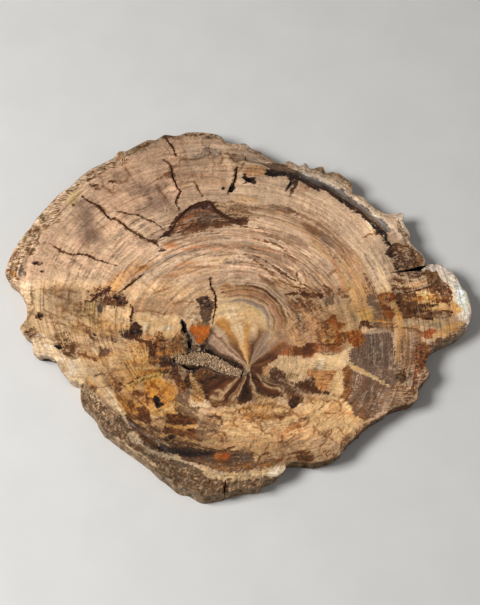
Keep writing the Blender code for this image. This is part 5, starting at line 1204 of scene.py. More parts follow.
    ([(-27, -47), (-18, -49), (4, -60)], "black", 2.6, 0.9),
    ([(-12, -48), (4, -58)], "umber", 2, 0.8),
    ([(14, -66), (24, -73), (29, -75)], "ivory", 1.3, 0.85),
    ([(122, 24), (132, 20), (140, 19), (149, 23)], "pale", 1.7, 0.85),
    ([(121, 15), (130, 13), (140, 13), (148, 16)], "cream", 2, 0.85),
    ([(125, 8), (134, 7), (150, 14)], "ash", 1.6, 0.85),
    ([(127, -19), (138, -18), (151, -21)], "stone", 2.6, 0.8),
    ([(151, -3), (158, -4), (166, -3)], "cream", 1.5, 0.85),
    ([(152, -9), (159, -8), (167, -8)], "sand", 1.5, 0.85),
    ([(-122, -12), (-114, -26), (-102, -37), (-86, -42)], "cream", 4, 0.6),
]

# A sheaf's lines: where they start and how far they run along the guides, their width and strength
SHEAF_STARTS, SHEAF_RUNS, SHEAF_WIDTHS, SHEAF_STRENGTHS = (0, 0.7), (0.25, 0.7), (0.6, 1.5), (0.6, 1.2)
# Sheaves of lines: two guide lines, colours, how many, width, strength
SHEAVES = [
    ([(-5, 50), (20, 45), (38, 36), (50, 20), (54, 5)], [(-5, 24), (12, 22), (24, 14), (34, 4), (38, -8)],
      ["grey_brown", "brown", "dull", "pale"], 16, 0.9, 0.6),
    ([(-60, 58), (-30, 64), (0, 66), (30, 60), (52, 46), (66, 26), (72, 5)], [(-60, 38), (-35, 44),
      (-5, 46), (22, 42), (40, 32), (50, 16), (54, -2)], ["brown", "grey_brown", "dull", "ash", "pale",
      "ivory"], 26, 0.8, 0.55),
    ([(30, 84), (60, 72), (84, 50), (98, 24), (101, -2)], [(30, 70), (52, 60), (70, 42), (80, 20), (80, 0)],
      ["brown", "warm", "dull", "terracotta", "pale"], 16, 0.9, 0.5),
    ([(-85, 28), (-70, 40), (-45, 52), (-20, 58)], [(-75, 10), (-60, 20), (-40, 28), (-15, 32)], ["pale",
      "ash", "terracotta", "brown", "pink"], 18, 0.8, 0.5),
    ([(-160, 45), (-140, 75), (-110, 100), (-80, 115)], [(-120, 20), (-108, 45), (-85, 62), (-60, 72)],
      ["dull", "pale", "pink", "brown"], 22, 0.7, 0.3),
    ([(-90, 128), (-50, 140), (-10, 138)], [(-75, 100), (-45, 108), (-5, 106)], ["dull", "pink", "brown",
      "stone"], 20, 0.7, 0.38),
    ([(0, 116), (40, 112), (75, 92), (105, 62)], [(0, 98), (30, 98), (62, 84), (88, 58)], ["tan", "pale",
      "dull"], 16, 0.7, 0.35),
    ([(-54, 63), (-36, 70), (-15, 73), (4, 73)], [(-42, 80), (-30, 87), (-20, 85), (-8, 77)], ["umber",
      "pink", "slate", "terracotta", "maroon"], 26, 0.9, 0.75),
    ([(-18, 91), (0, 91), (20, 90), (40, 86)], [(-14, 82), (4, 83), (22, 82), (42, 79)], ["warm", "brown",
      "grey_brown", "pale"], 12, 0.8, 0.6),
    ([(8, -56), (-6, -40), (-18, -20)], [(10, -56), (20, -44), (28, -28)], ["sand", "honey", "pink",
      "ivory", "warm"], 24, 1.3, 0.45),
    ([(37, -12), (36, -24), (38, -38)], [(60, -10), (60, -24), (58, -36)], ["brown", "dull", "pale",
      "terracotta", "mauve"], 20, 0.8, 0.6),
    ([(-2, -66), (-16, -76), (-24, -88)], [(18, -66), (26, -76), (34, -86)], ["umber", "black", "dull",
      "brown"], 20, 1, 0.65),
    ([(-70, -34), (-62, -34), (-50, -33)], [(-68, -56), (-60, -55), (-50, -52)], ["umber", "ochre",
      "maroon", "honey", "black"], 18, 1.2, 0.7),
    ([(20, -118), (34, -112), (50, -102)], [(34, -136), (50, -126), (64, -116)], ["stone", "dull",
      "terracotta", "pale", "brown"], 18, 0.8, 0.7),
    ([(-2, -92), (12, -91), (28, -90), (40, -94)], [(0, -104), (12, -104), (24, -106), (36, -103)],
      ["brown", "ochre", "sand", "umber", "cream"], 20, 0.8, 0.7),
    ([(-56, -112), (-40, -113), (-20, -117), (-5, -121)], [(-60, -122), (-42, -127), (-22, -130),
      (-4, -128)], ["umber", "sand", "dull", "warm", "maroon"], 20, 0.9, 0.7),
    ([(100, -32), (99, -48), (97, -60)], [(118, -32), (119, -52), (117, -74)], ["shadow", "ash", "mauve"],
      16, 0.8, 0.45),
    ([(84, -60), (83, -75), (82, -88)], [(114, -78), (110, -90), (102, -102)], ["shadow", "stone", "brown"],
      14, 0.8, 0.5),
    ([(124, -26), (123, -45), (120, -64)], [(141, -30), (139, -52), (134, -76)], ["umber", "honey", "brown",
      "ash", "black"], 18, 0.9, 0.7),
    ([(124, 4), (138, 3), (150, 5), (164, 8)], [(126, -18), (140, -17), (152, -15), (166, -14)], ["black",
      "ochre", "umber", "honey", "mauve"], 24, 1, 0.8),
    ([(104, 4), (114, 4), (124, 4)], [(104, -26), (113, -28), (121, -28)], ["umber", "ochre", "maroon",
      "mauve", "honey"], 18, 1, 0.75),
    ([(-70, -74), (-60, -70), (-48, -74)], [(-68, -90), (-58, -94), (-48, -90)], ["ochre", "honey",
      "straw"], 12, 0.8, 0.5),
    ([(-158, 8), (-130, 0), (-106, -16)], [(-150, -28), (-128, -28), (-104, -38)], ["brown", "cream",
      "dull", "olive"], 18, 0.9, 0.5),
]

# Where the grain differs from the usual: corners, strength of ring lines, rays, specks, lightness
GRAIN_FIELDS = [
    # the upper left, specked
    ([(-165, 30), (-130, 100), (-90, 132), (-55, 145), (-45, 100), (-70, 60), (-110, 40)], 0.15, 0.45, 0.6,
      1.06),
    # the top
    ([(-90, 142), (-40, 165), (10, 150), (25, 120), (-20, 112), (-60, 118)], 0.15, 0.35, 0.6, 0.97),
    # the ring field over the pith
    ([(-70, 30), (-50, 62), (0, 68), (45, 78), (90, 40), (85, 14), (40, 8), (0, 24), (-30, 25)], 0.8, 0.1,
      0.3, 1.1),
    # the smooth upper right
    ([(0, 98), (50, 96), (85, 66), (105, 25), (122, 20), (116, 66), (70, 104), (40, 118), (0, 118)], 0.25,
      0.2, 0.35, 1.03),
    ([(70, 0), (70, 40), (45, 75), (40, 90), (75, 74), (96, 45), (104, 0)], 0.65, 0, 0.15, 1.02),
    # the dome over the pith
    ([(-22, -8), (-10, 14), (20, 16), (38, -5), (44, -35), (26, -52), (10, -56), (-10, -45), (-20, -28)],
      0.25, 0.25, 0.05, 1),
    ([(38, 2), (64, 0), (64, -36), (42, -36)], 0.8, 0.6, 0.8, 1.02),
    # the left
    ([(-170, 25), (-150, 60), (-120, 50), (-85, 28), (-60, 25), (-60, 5), (-90, 4), (-120, 12), (-165, 5)],
      0.18, 0.35, 0.5, 1.1),
    ([(-165, 8), (-120, 10), (-88, -4), (-86, -40), (-140, -45), (-165, -15)], 0.7, 0.5, 1, 0.95),
    ([(-86, -10), (-50, -12), (-42, -18), (-44, -34), (-60, -32), (-84, -22)], 0.15, 0.3, 0.2, 1),
    # under the pith
    ([(-52, -60), (-25, -60), (5, -66), (45, -72), (40, -86), (0, -90), (-30, -84), (-52, -74)], 0.3, 1,
      0.6, 0.9),
    # the lower left
    ([(-110, -52), (-56, -50), (-46, -85), (-30, -105), (-55, -120), (-90, -105), (-110, -80)], 0.7, 0.6, 1,
      0.95),
    ([(-70, -66), (-54, -66), (-44, -78), (-47, -90), (-58, -94), (-72, -84)], 0.1, 0.15, 0.2, 1.06),
    # the mauve fields
    ([(90, -5), (132, -8), (140, -40), (132, -80), (120, -66), (92, -56), (84, -50), (88, -30)], 0.6, 0.1,
      0.6, 1.03),
    ([(80, -58), (96, -64), (120, -76), (118, -90), (100, -104), (80, -88)], 0.7, 0.1, 0.5, 1.12),
    # the lower field
    ([(-20, -96), (40, -88), (95, -100), (70, -132), (0, -140), (-40, -128)], 0.6, 0.15, 0.7, 1),
    ([(59, -47), (84, -46), (84, -58), (60, -60)], 0.1, 0.1, 0.1, 1),
    # the knob
    ([(118, 48), (150, 25), (176, 10), (170, -28), (130, -28), (118, 10)], 0.8, 0.4, 0.8, 1.12),
    # the bottom bark
    ([(-60, -140), (-30, -146), (10, -152), (10, -165), (-30, -172), (-60, -160)], 0.3, 0.3, 0.6, 0.9),
]


# Shared formulas
def smooth_path(points, closed, per_span):
    """Cubic through the points, each tangent taken from its two neighbours by chord length."""
    path = np.array(points, float)
    if closed:
        path = np.vstack([path[-1], path, path[:2]])
    else:
        path = np.vstack([2 * path[0] - path[1], path, 2 * path[-1] - path[-2]])
    chord = np.maximum(np.linalg.norm(np.diff(path, axis=0), axis=1), 1e-6)
    place = np.concatenate([[0.0], np.cumsum(chord)])
    tangent = (path[2:] - path[:-2]) / (place[2:] - place[:-2])[:, None]
    t = (np.arange(per_span) / per_span)[None, :, None]
    start, end, span = path[1:-2, None], path[2:-1, None], chord[1:-1, None, None]
    left, right = tangent[:-1, None] * span, tangent[1:, None] * span
    curve = ((2 * t**3 - 3 * t**2 + 1) * start + (t**3 - 2 * t**2 + t) * left
             + (3 * t**2 - 2 * t**3) * end + (t**3 - t**2) * right)
    curve = curve.reshape(-1, path.shape[1])
    return curve if closed else np.vstack([curve, path[-2]])


def even_steps(curve, count):
    """The closed curve cut into equal lengths."""
    loop = np.vstack([curve, curve[:1]])
    run = np.concatenate([[0.0], np.cumsum(np.linalg.norm(np.diff(loop, axis=0), axis=1))])
    at = np.arange(count) / count * run[-1]
    return np.stack([np.interp(at, run, loop[:, k]) for k in range(2)], axis=1)


def rounded(loop, width):
    """The closed loop with every wave shorter than about the width taken out."""
    length = np.linalg.norm(np.roll(loop, -1, axis=0) - loop, axis=1).sum()
    wave = np.fft.fft(loop[:, 0] + 1j * loop[:, 1])
    count = np.fft.fftfreq(len(loop), 1 / len(loop))
    wave = np.fft.ifft(wave * np.exp(-0.5 * (2 * np.pi * count * width / length) ** 2))
    return np.stack([wave.real, wave.imag], axis=1)


def outward(loop):
    """Unit vectors pointing out of an anticlockwise loop."""
    along = np.roll(loop, -1, axis=0) - np.roll(loop, 1, axis=0)
    along /= np.linalg.norm(along, axis=1)[:, None]
    return np.stack([along[:, 1], -along[:, 0]], axis=1)


def ripple(turn, counts, phases):
    """Sum of sin(2 pi (count turn + phase)), scaled to about 1."""
    waves = [np.sin(2 * np.pi * (count * turn + phase)) for count, phase in zip(counts, phases)]
    return sum(waves) / math.sqrt(len(counts))


def corner_value(ix, iy, iz, seed):
    """A repeatable number from 0 to 1 for each corner of a cubic lattice."""
    mixed = (ix * 73856093) ^ (iy * 19349663) ^ (iz * 83492791) ^ (seed * 15485863)
    mixed = ((mixed ^ (mixed >> 13)) * 1274126177) & 0xFFFFFFFF
    mixed = ((mixed ^ (mixed >> 15)) * 668265263) & 0xFFFFFFFF
    return ((mixed ^ (mixed >> 16)) & 0xFFFFFF) / 0xFFFFFF


def cloud(places, seed):
    """Smooth noise from -1 to 1: corner values blended across each cell by 3 t^2 - 2 t^3."""
    base = np.floor(places).astype(np.int64)
    t = places - base
    t = t * t * (3 - 2 * t)
    total = np.zeros(len(places))
    for corner in range(8):
        step = np.array([corner & 1, corner >> 1 & 1, corner >> 2 & 1])
        weight = np.where(step, t, 1 - t).prod(axis=1)
        total += weight * corner_value(*(base + step).T, seed)
    return 2 * total - 1


def clouds(places, seed, layers=3, fade=0.55):
    """Sum of noise at halving sizes, each so much weaker than the last."""
    total, strength, whole = 0, 1.0, 0.0
    for layer in range(layers):
        total = total + strength * cloud(places * 2**layer + 17.3 * layer, seed + layer)
        whole += strength
        strength *= fade
    return total / whole * 1.6


def flat_clouds(q, size, seed, layers=3, fade=0.55):
    """Layered noise over the plane with blotches about as wide as the size."""
    places = np.column_stack([q / size, np.full(len(q), 0.37 * seed)])
    return clouds(places, seed, layers, fade)


def eased(x):
    """0 below 0, 1 above 1 and 3 x^2 - 2 x^3 between."""
    x = np.clip(x, 0, 1)
    return x * x * (3 - 2 * x)


def ring_table():
    """Reach from the pith for each share out, by direction: inner rings keep fewer harmonics."""
    turn = np.arange(RING_DIRECTIONS) * 2 * np.pi / RING_DIRECTIONS
    table = np.array(RING_REACH, float)
    wave = np.fft.fft(np.interp(turn, np.radians(table[:, 0]), table[:, 1], period=2 * np.pi))
    count = np.fft.fftfreq(RING_DIRECTIONS, 1 / RING_DIRECTIONS)
    shares = np.arange(RING_ROWS) / ROWS_OUT
    rounding = ROUNDER_INWARD * np.maximum(1 - shares, 0) + LEAST_ROUNDING
    return np.fft.ifft(wave * np.exp(-0.5 * (count * rounding[:, None]) ** 2), axis=1).real


def rings_at(q):
    """Share out along the rings, 0 at the pith and 1 at the outermost, and the direction.

    The share t solves r = t reach(t, direction), found by repeating t = r / reach.
    """
    reach = ring_table()
    dx, dy = q[:, 0] - PITH[0], q[:, 1] - PITH[1]
    radius = np.hypot(dx, dy)
    angle = np.arctan2(dy, dx) % (2 * np.pi)
    column = angle / np.pi * (RING_DIRECTIONS / 2)
    left = np.floor(column).astype(int) % RING_DIRECTIONS
    right = (left + 1) % RING_DIRECTIONS
    across = column - np.floor(column)
    share = radius / FIRST_REACH
    for _ in range(GUESSES):
        row = np.clip(share * ROWS_OUT, 0, RING_ROWS - 1.01)
        low = row.astype(int)
        up = row - low
        here = ((reach[low, left] * (1 - across) + reach[low, right] * across) * (1 - up)
                + (reach[low + 1, left] * (1 - across) + reach[low + 1, right] * across) * up)
        share = radius / here
    return share, angle


def ring_places(share, angle, size, turns):
    """Places for noise round the rings: (share span / size, turns cos angle, turns sin angle)."""
    return np.column_stack([share * RING_SPAN / size, np.cos(angle) * turns, np.sin(angle) * turns])


def along_rings(share, angle, size):
    """Places for noise that runs in streaks of the given thickness along the rings."""
    return ring_places(share, angle, size, TURN_REACH / (STREAK_LENGTH * size))


# The slab
def degrees_round(q):
    """Direction of each point from the middle, in degrees from +X."""
    return np.degrees(np.arctan2(q[:, 1], q[:, 0])) % 360


def edge_values(q):
    """The edge table read in the direction of each point."""
    table = np.array(EDGE, float)
    angle = degrees_round(q)
    return [np.interp(angle, table[:, 0], table[:, k], period=360) for k in range(1, 5)]


def bark_outline():
    """The slab's outline in even steps, anticlockwise, and unit vectors pointing out of it."""
    rim = even_steps(smooth_path(RIM, True, RIM_STEPS), 8 * GRID)[::-1]
    out = outward(rounded(rim, LIP_SMOOTHING))
    return rim + out * BARK_FLARE, out


def phased(turn, counts, seed):
    """A ripple whose waves start at random phases."""
    draw = random.Random(seed)
    return ripple(turn, counts, [draw.random() for _ in counts])


def around_square():
    """For a square grid 2 GRID + 1 points a side: each point's square and its turn round it.

    A square k steps out has 8 k points at even turns, so the squares can be drawn as rings.
    """
    j, i = np.mgrid[-GRID:GRID + 1, -GRID:GRID + 1]
    level = np.maximum(abs(i), abs(j))
    k = np.maximum(level, 1)
    right = (i == level) & (j < level)
    top = (j == level) & (i > -level)
    left = (i == -level) & (j > -level)
    turn = np.where(right, j / k / 8, np.where(top, 0.25 - i / k / 8, np.where(
        left, 0.5 - j / k / 8, 0.75 + i / k / 8)))
    return level, turn % 1


def face_points(rim):
    """The face's grid: the outline drawn in towards the middle, its short waves fading inwards.

    A ring at share s is  centre + s sum c_m exp(i m turn) exp(-(m w)^2 / 2),  w = FADE (1 - s).
    """
    level, turn = around_square()
    wave = np.fft.fft(rim[:, 0] + 1j * rim[:, 1]) / len(rim)
    count = np.fft.fftfreq(len(rim), 1 / len(rim))
    centre = wave[0]
    wave[0] = 0
    places = np.full(level.shape, centre)
    for k in range(1, GRID + 1):
        share = k / GRID
        ring = np.fft.ifft(wave * np.exp(-0.5 * (count * FADE * (1 - share)) ** 2)) * len(rim)
        here = level == k
        at = np.round(turn[here] * 8 * k) / (8 * k) * len(rim)
        low = np.floor(at).astype(int) % len(rim)
        part = at - np.floor(at)
        value = ring[low] * (1 - part) + ring[(low + 1) % len(rim)] * part
        places[here] = centre + share * value
    return places, level / GRID, turn


def slab_mesh():
    """The face as a square grid drawn round, and the wall as rows of the outline down to the cut."""
    rim, out = bark_outline()
    steps = len(rim)
    band, drop, lean, lumpy = edge_values(rim)
    round_turn = np.arange(steps) / steps
    grain = phased(round_turn, GRAIN_WAVES, 9)
    flutes = phased(round_turn, FLUTE_WAVES, 3) * lumpy * BARK_RELIEF
    knots = phased(round_turn, KNOT_WAVES, 5) * lumpy * BARK_RELIEF
    places, share, turn = face_points(rim)
    at = np.round(turn * steps).astype(int).ravel() % steps
    x, y = places.real.ravel(), places.imag.ravel()
    reach = np.linalg.norm(rim, axis=1)
    inward = (1 - share.ravel()) * reach[at] / band[at]
    stops = np.array(BARK_TOP)
    falls = np.interp(inward, stops[:, 0], stops[:, 1])
    rough = np.interp(inward, stops[:, 0], stops[:, 2])
    grit = flat_clouds(np.column_stack([x, y]), GRIT_SIZE, 31, 3) * GRIT * eased((1 - inward) * 3)
    rim_fall = drop * (1 - RIM_ROUNDING * grain) + RIM_ROUNDING
    fall = np.maximum(drop[at] * (falls + rough * grain[at]) + grit, 0) * (inward < 1)
    fall = np.where(share.ravel() == 1, rim_fall[at], fall)
    points = [np.column_stack([x, y, THICKNESS - fall])]

    edge = np.flatnonzero(share.ravel() == 1)
    edge = edge[np.argsort(at[edge])]
    table = np.array(WALL)
    rows = [edge]
    first = len(x)
    heights = np.linspace(1, WALL[0][0], WALL_ROWS + 1)[1:]
    for number, height in enumerate(np.concatenate([heights, [SAW_BEVEL / THICKNESS, 0.0]])):
        leaning, fluted, knotted = (np.interp(height, table[:, 0], table[:, k]) for k in (1, 2, 3))
        level = (THICKNESS - rim_fall) * height
        low = THICKNESS * height < SAW_BEVEL + 0.1
        ribs = np.column_stack([rim / RIB_SIZE, level / RIB_LENGTH])
        swell = 0 if low else math.sin(math.pi * height) ** 0.4
        ridges = clouds(ribs, 51, 3) * WALL_RELIEF * lumpy * swell
        shift = -leaning * lean + fluted * flutes + knotted * knots + ridges
        if low:
            shift = -lean - SAW_BEVEL * (height == 0)
        points.append(np.column_stack([rim + out * shift[:, None], np.broadcast_to(level, steps)]))
        rows.append(first + number * steps + np.arange(steps))

    side = 2 * GRID + 1
    corner = np.arange(side * side).reshape(side, side)
    face = np.stack([corner[:-1, :-1], corner[:-1, 1:], corner[1:, 1:], corner[1:, :-1]], axis=-1)
    faces = [face.reshape(-1, 4)]
    for upper, lower in zip(rows, rows[1:]):
        faces.append(np.stack([upper, lower, np.roll(lower, -1), np.roll(upper, -1)], axis=-1))
    mesh = bpy.data.meshes.new("petrified_wood_slice")
    faces = np.vstack(faces).tolist() + [rows[-1][::-1].tolist()]
    mesh.from_pydata((np.vstack(points) * MM).tolist(), [], faces)
    mesh.validate()
    return mesh


def placed(name, mesh):
    """The mesh as an object of the scene, at the origin."""
    thing = bpy.data.objects.new(name, mesh)
    bpy.context.scene.collection.objects.link(thing)
    return thing


def closed_rings(name, rings):
    """Closed mesh through rings of equal count, capped at both ends, facing outwards."""
    count = len(rings[0])
    low = np.arange(count * (len(rings) - 1)).reshape(-1, count)
    beside = np.roll(low, -1, axis=1)
    quads = np.stack([low, beside, beside + count, low + count], axis=-1).reshape(-1, 4)
    last = count * (len(rings) - 1)
    ends = [list(range(count))[::-1], list(range(last, last + count))]
    mesh = bpy.data.meshes.new(name)
    mesh.from_pydata((np.vstack(rings) * MM).tolist(), [], quads.tolist() + ends)
    mesh.validate()
    shape = bmesh.new()
    shape.from_mesh(mesh)
    bmesh.ops.recalc_face_normals(shape, faces=shape.faces)
    shape.to_mesh(mesh)
    shape.free()
    return placed(name, mesh)


def across_path(path):
    """Unit vectors to the left of an open path."""
    along = np.gradient(path[:, :2], axis=0)
    along /= np.linalg.norm(along, axis=1)[:, None]
    return np.stack([-along[:, 1], along[:, 0]], axis=1)


def crack_cutter(line, width, depth, seed):
    """Rings of a wedge along a wandering path, ragged in width and tapered at both ends."""
    path = smooth_path(line, False, 6)
    side = across_path(path)
    share = np.linspace(0, 1, len(path))
    sway = flat_clouds(path, CRACK_WANDER_SIZE, seed, 2) * CRACK_WANDER * np.sin(np.pi * share)
    path = path + side * sway[:, None]
    swell = TIP_SHARE + (1 - TIP_SHARE) * np.sin(np.pi * share) ** 0.5
    swell = swell * (1 + CRACK_RAGGED * flat_clouds(path, CRACK_RAGGED_SIZE, seed + 3, 2))
    rings = []
    for place, across, size in zip(path, side, swell):
        mouth = across * size * width / 2
        floor = across * size * width / 2 * FLOOR_SPREAD
        rings.append(np.array([
            [*(place - mouth), THICKNESS + CLEARANCE], [*(place + mouth), THICKNESS + CLEARANCE],
            [*(place + floor), THICKNESS - depth * size], [*(place - floor), THICKNESS - depth * size]]))
    return closed_rings("crack", rings)


def channel_cutter():
    """A round bar along the channel's middle line, a little uneven, its tips thinner."""
    path = smooth_path(CHANNEL, False, 5)
    side = across_path(path)
    share = np.linspace(0, 1, len(path))
    radius = CHANNEL_RADIUS * (CHANNEL_TIP + (1 - CHANNEL_TIP) * np.sin(np.pi * share) ** 0.5)
    radius = radius * (1 + CHANNEL_UNEVEN * flat_clouds(path, CHANNEL_LUMPS, 77, 2))
    height = THICKNESS + CHANNEL_RADIUS - CHANNEL_DEPTH
    spin = np.arange(CHANNEL_SIDES) / CHANNEL_SIDES * 2 * np.pi
    rings = []
    for place, across, size in zip(path, side, radius):
        flat = place + np.cos(spin)[:, None] * across * size
        rings.append(np.column_stack([flat, height + np.sin(spin) * size]))
    return closed_rings("channel", rings)


def hollow_outline():
    """The open crack's mouth as a closed outline."""
    stations = smooth_path(HOLLOW, False, 4)
    side = across_path(stations) * stations[:, 2:3]
    return np.vstack([stations[:, :2] + side, (stations[:, :2] - side)[::-1]])


def hollow_cutter():
    """Rings across the open crack: steep on the upper side, sloping on the lower, ragged lips."""
    stations = smooth_path(HOLLOW, False, 5)
    side = across_path(stations)
    path = stations[:, :2]
    upper_lip, lower_lip = (1 + LIP_RAGGED * flat_clouds(path, LIP_RAGGED_SIZE, seed, 3)
                            for seed in (61, 67))
    rings = []
    for place, across, half, upper, lower in zip(path, side, stations[:, 2], upper_lip, lower_lip):
        floor = THICKNESS - HOLLOW_DEPTH * min(1.0, half / FULL_DEPTH_FROM)
        rings.append(np.array([
            [*(place - across * half * lower), THICKNESS + CLEARANCE],
            [*(place + across * half * upper), THICKNESS + CLEARANCE],
            [*(place + across * half * upper), THICKNESS - UPPER_LIP],
            [*(place + across * half * STEEP_SIDE), floor],
            [*(place - across * half * SLOPING_SIDE), floor],
            [*(place - across * half * lower * LOWER_SHARE), THICKNESS - LOWER_LIP]]))
    return closed_rings("hollow", rings)


def pit_cutter(number, x, y, half_length, half_width, turn, depth):
    """A flattened ball x = a sin u cos v, y = b sin u sin v, z = c cos u, made lumpy by noise."""
    around = np.arange(PIT_SIDES) / PIT_SIDES * 2 * np.pi
    spin = math.radians(turn)
    rings = []
    for u in np.linspace(PIT_POLE, np.pi - PIT_POLE, PIT_RINGS):
        a, b = np.sin(u) * np.cos(around), np.sin(u) * np.sin(around)
        c = np.full(PIT_SIDES, np.cos(u))
        ball = np.column_stack([a, b, c])
        lump = 1 + PIT_ROUGHNESS * clouds(ball * 1.7 + number * 5.1, 90, 2)
        a = a * lump * half_length * PIT_SWELL
        b = b * lump * half_width * PIT_SWELL
        rings.append(np.column_stack([
            x + a * math.cos(spin) - b * math.sin(spin), y + a * math.sin(spin) + b * math.cos(spin),
            THICKNESS + CLEARANCE + c * lump * (depth + CLEARANCE)]))
    return closed_rings("pit", rings)


def carve(slab, cutter):
    """Cuts the slab and takes the cutter away."""
    change = slab.modifiers.new("cut", "BOOLEAN")
    change.operation = "DIFFERENCE"
    change.solver = "MANIFOLD"
    change.object = cutter
    bpy.context.view_layer.update()
    view = bpy.context.evaluated_depsgraph_get()
    result = bpy.data.meshes.new_from_object(slab.evaluated_get(view))
    slab.modifiers.clear()
    whole = slab.data
    slab.data = result
    bpy.data.meshes.remove(whole)
    bpy.data.objects.remove(cutter)


# Painting
def run_through(names, place):
    """The named colours blended in turn as the place goes from 0 to 1."""
    stops = np.array([PALETTE[name] for name in names]) / 255
    at = np.clip(place, 0, 1) * (len(names) - 1)
    return np.stack([np.interp(at, np.arange(len(names)), stops[:, k]) for k in range(3)], axis=1)


def line_distance(q, start, edge):
    """Distance from each point to each straight piece, and how far along it the nearest place is."""
    away = q[:, None] - start[None]
    along = np.clip((away * edge).sum(axis=2) / (edge ** 2).sum(axis=1), 0, 1)
    return np.linalg.norm(away - along[..., None] * edge, axis=2), along


def inside_distance(q, outline):
    """Distance in from a closed outline, negative outside, by the nearest of its edges."""
    after = np.roll(outline, -1, axis=0)
    near = line_distance(q, outline, after - outline)[0].min(axis=1)
    x, y = q[:, :1], q[:, 1:]
    rise = np.where(after[:, 1] == outline[:, 1], 1e-9, after[:, 1] - outline[:, 1])
    crossed = (outline[:, 1] > y) != (after[:, 1] > y)
    crossed &= x < (after[:, 0] - outline[:, 0]) * (y - outline[:, 1]) / rise + outline[:, 0]
    return np.where(crossed.sum(axis=1) % 2 == 1, near, -near)


def close_to(q, path, margin):
    """Which points lie in the box round a path, widened by the margin."""
    low, high = path.min(axis=0) - margin, path.max(axis=0) + margin
    return np.flatnonzero(np.all((q > low) & (q < high), axis=1))


def lay(coats, here, paint, cover, wide, keeps_pale=False):
    """Lays a colour: where it is pale on the pale coat, and where it is dark on the dark coat over it.

    A dark colour reaches a little past its own cover, so that the edge drawn between two points of
    the mesh has the patch's colour and not that of whatever the dark coat had before.
    """
    pale_coat, dark_coat, covered = coats
    dark = 0.0 if keeps_pale else eased((DARK_BELOW / 255 - paint.mean(axis=1)) / DARK_BLEND + 0.5)
    reach = (cover + (wide - cover) * (1 - covered[here])) * dark
    dark_coat[here] += (paint - dark_coat[here]) * np.asarray(reach)[:, None]
    pale_cover = cover * (1 - dark)
    pale_coat[here] += (paint - pale_coat[here]) * pale_cover[:, None]
    covered[here] = 1 - (1 - covered[here] * (1 - pale_cover)) * (1 - cover * dark)


def lay_patch(coats, q, share, angle, seed, corners, names, runs, size, strength, softness):
    """Lays a patch: full inside its ragged outline, fading over the softness."""
    outline = smooth_path(corners, True, 3)
    here = close_to(q, outline, softness + FRINGE + 1)
    spots = q[here]
    ragged = flat_clouds(spots, EDGE_RAGGED_SIZE, seed, 4, MOTTLE_FADE)
    depth = inside_distance(spots, outline) + ragged * (EDGE_RAGGED + softness * EDGE_RAGGED_SOFT)
    cover, wide = (eased(0.5 + (depth + more) / (2 * softness)) * strength for more in (0, FRINGE))
    if runs == "rings":
        places = along_rings(share[here], angle[here], size)
    else:
        places = np.column_stack([spots / size, np.full(len(spots), 0.7 * seed)])
    paint = run_through(names, 0.5 + MOTTLE_SPREAD * clouds(places, seed + 40, 4, MOTTLE_FADE))
    lay(coats, here, paint, cover, wide, softness >= SOFT_FROM)


def lay_stroke(coats, q, seed, points, name, width, strength):
    """Lays a line, thinner at its ends and ragged in width."""
    path = smooth_path(points, False, 4)
    here = close_to(q, path, width / 2 + FRINGE + 1)
    spots = q[here]
    gap, along = line_distance(spots, path[:-1], np.diff(path, axis=0))
    nearest = gap.argmin(axis=1)
    row = np.arange(len(spots))
    at = (nearest + along[row, nearest]) / (len(path) - 1)
    half = width / 2 * (LINE_TIP + (1 - LINE_TIP) * np.sin(np.pi * at) ** 0.5) + LINE_MORE
    depth = half * (1 + LINE_RAGGED * flat_clouds(spots, LINE_RAGGED_SIZE, seed, 2)) - gap[row, nearest]
    softness = LINE_SOFTNESS + LINE_SPREAD * width * (strength < FIRM_FROM)
    cover, wide = (eased(0.5 + (depth + more) / softness) * strength for more in (0, FRINGE))
    lay(coats, here, run_through([name], np.zeros(len(here))), cover, wide, strength < FAINT_BELOW)


def sheaf_strokes(seed, first, last, names, count, width, strength):
    """Lines drawn between two guide lines: each is  (1 - t) first + t last  over a part of its run."""
    draw = random.Random(seed)
    first, last = smooth_path(first, False, 6), smooth_path(last, False, 6)
    for _ in range(count):
        across = draw.random()
        start = draw.uniform(*SHEAF_STARTS)
        end = min(start + draw.uniform(*SHEAF_RUNS), 1)
        low, high = (int(at * (len(first) - 1)) for at in (start, end))
        line = (first * (1 - across) + last * across)[low:high + 1:2]
        if len(line) > 1:
            yield (line, draw.choice(names), width * draw.uniform(*SHEAF_WIDTHS),
                   strength * draw.uniform(*SHEAF_STRENGTHS))


def channel_highlight_and_shadow_strokes():
    """Lines beside the channel's middle line: a painted highlight outside, grey in it, painted shadow under
    the inner lip.
    """
    path = smooth_path(CHANNEL, False, 2)[CHANNEL_LINES_FROM:]
    side = across_path(path)
    for shift, name, width, strength in CHANNEL_HIGHLIGHT_AND_SHADOW_LINES:
        yield (path + side * shift)[::3], name, width, strength


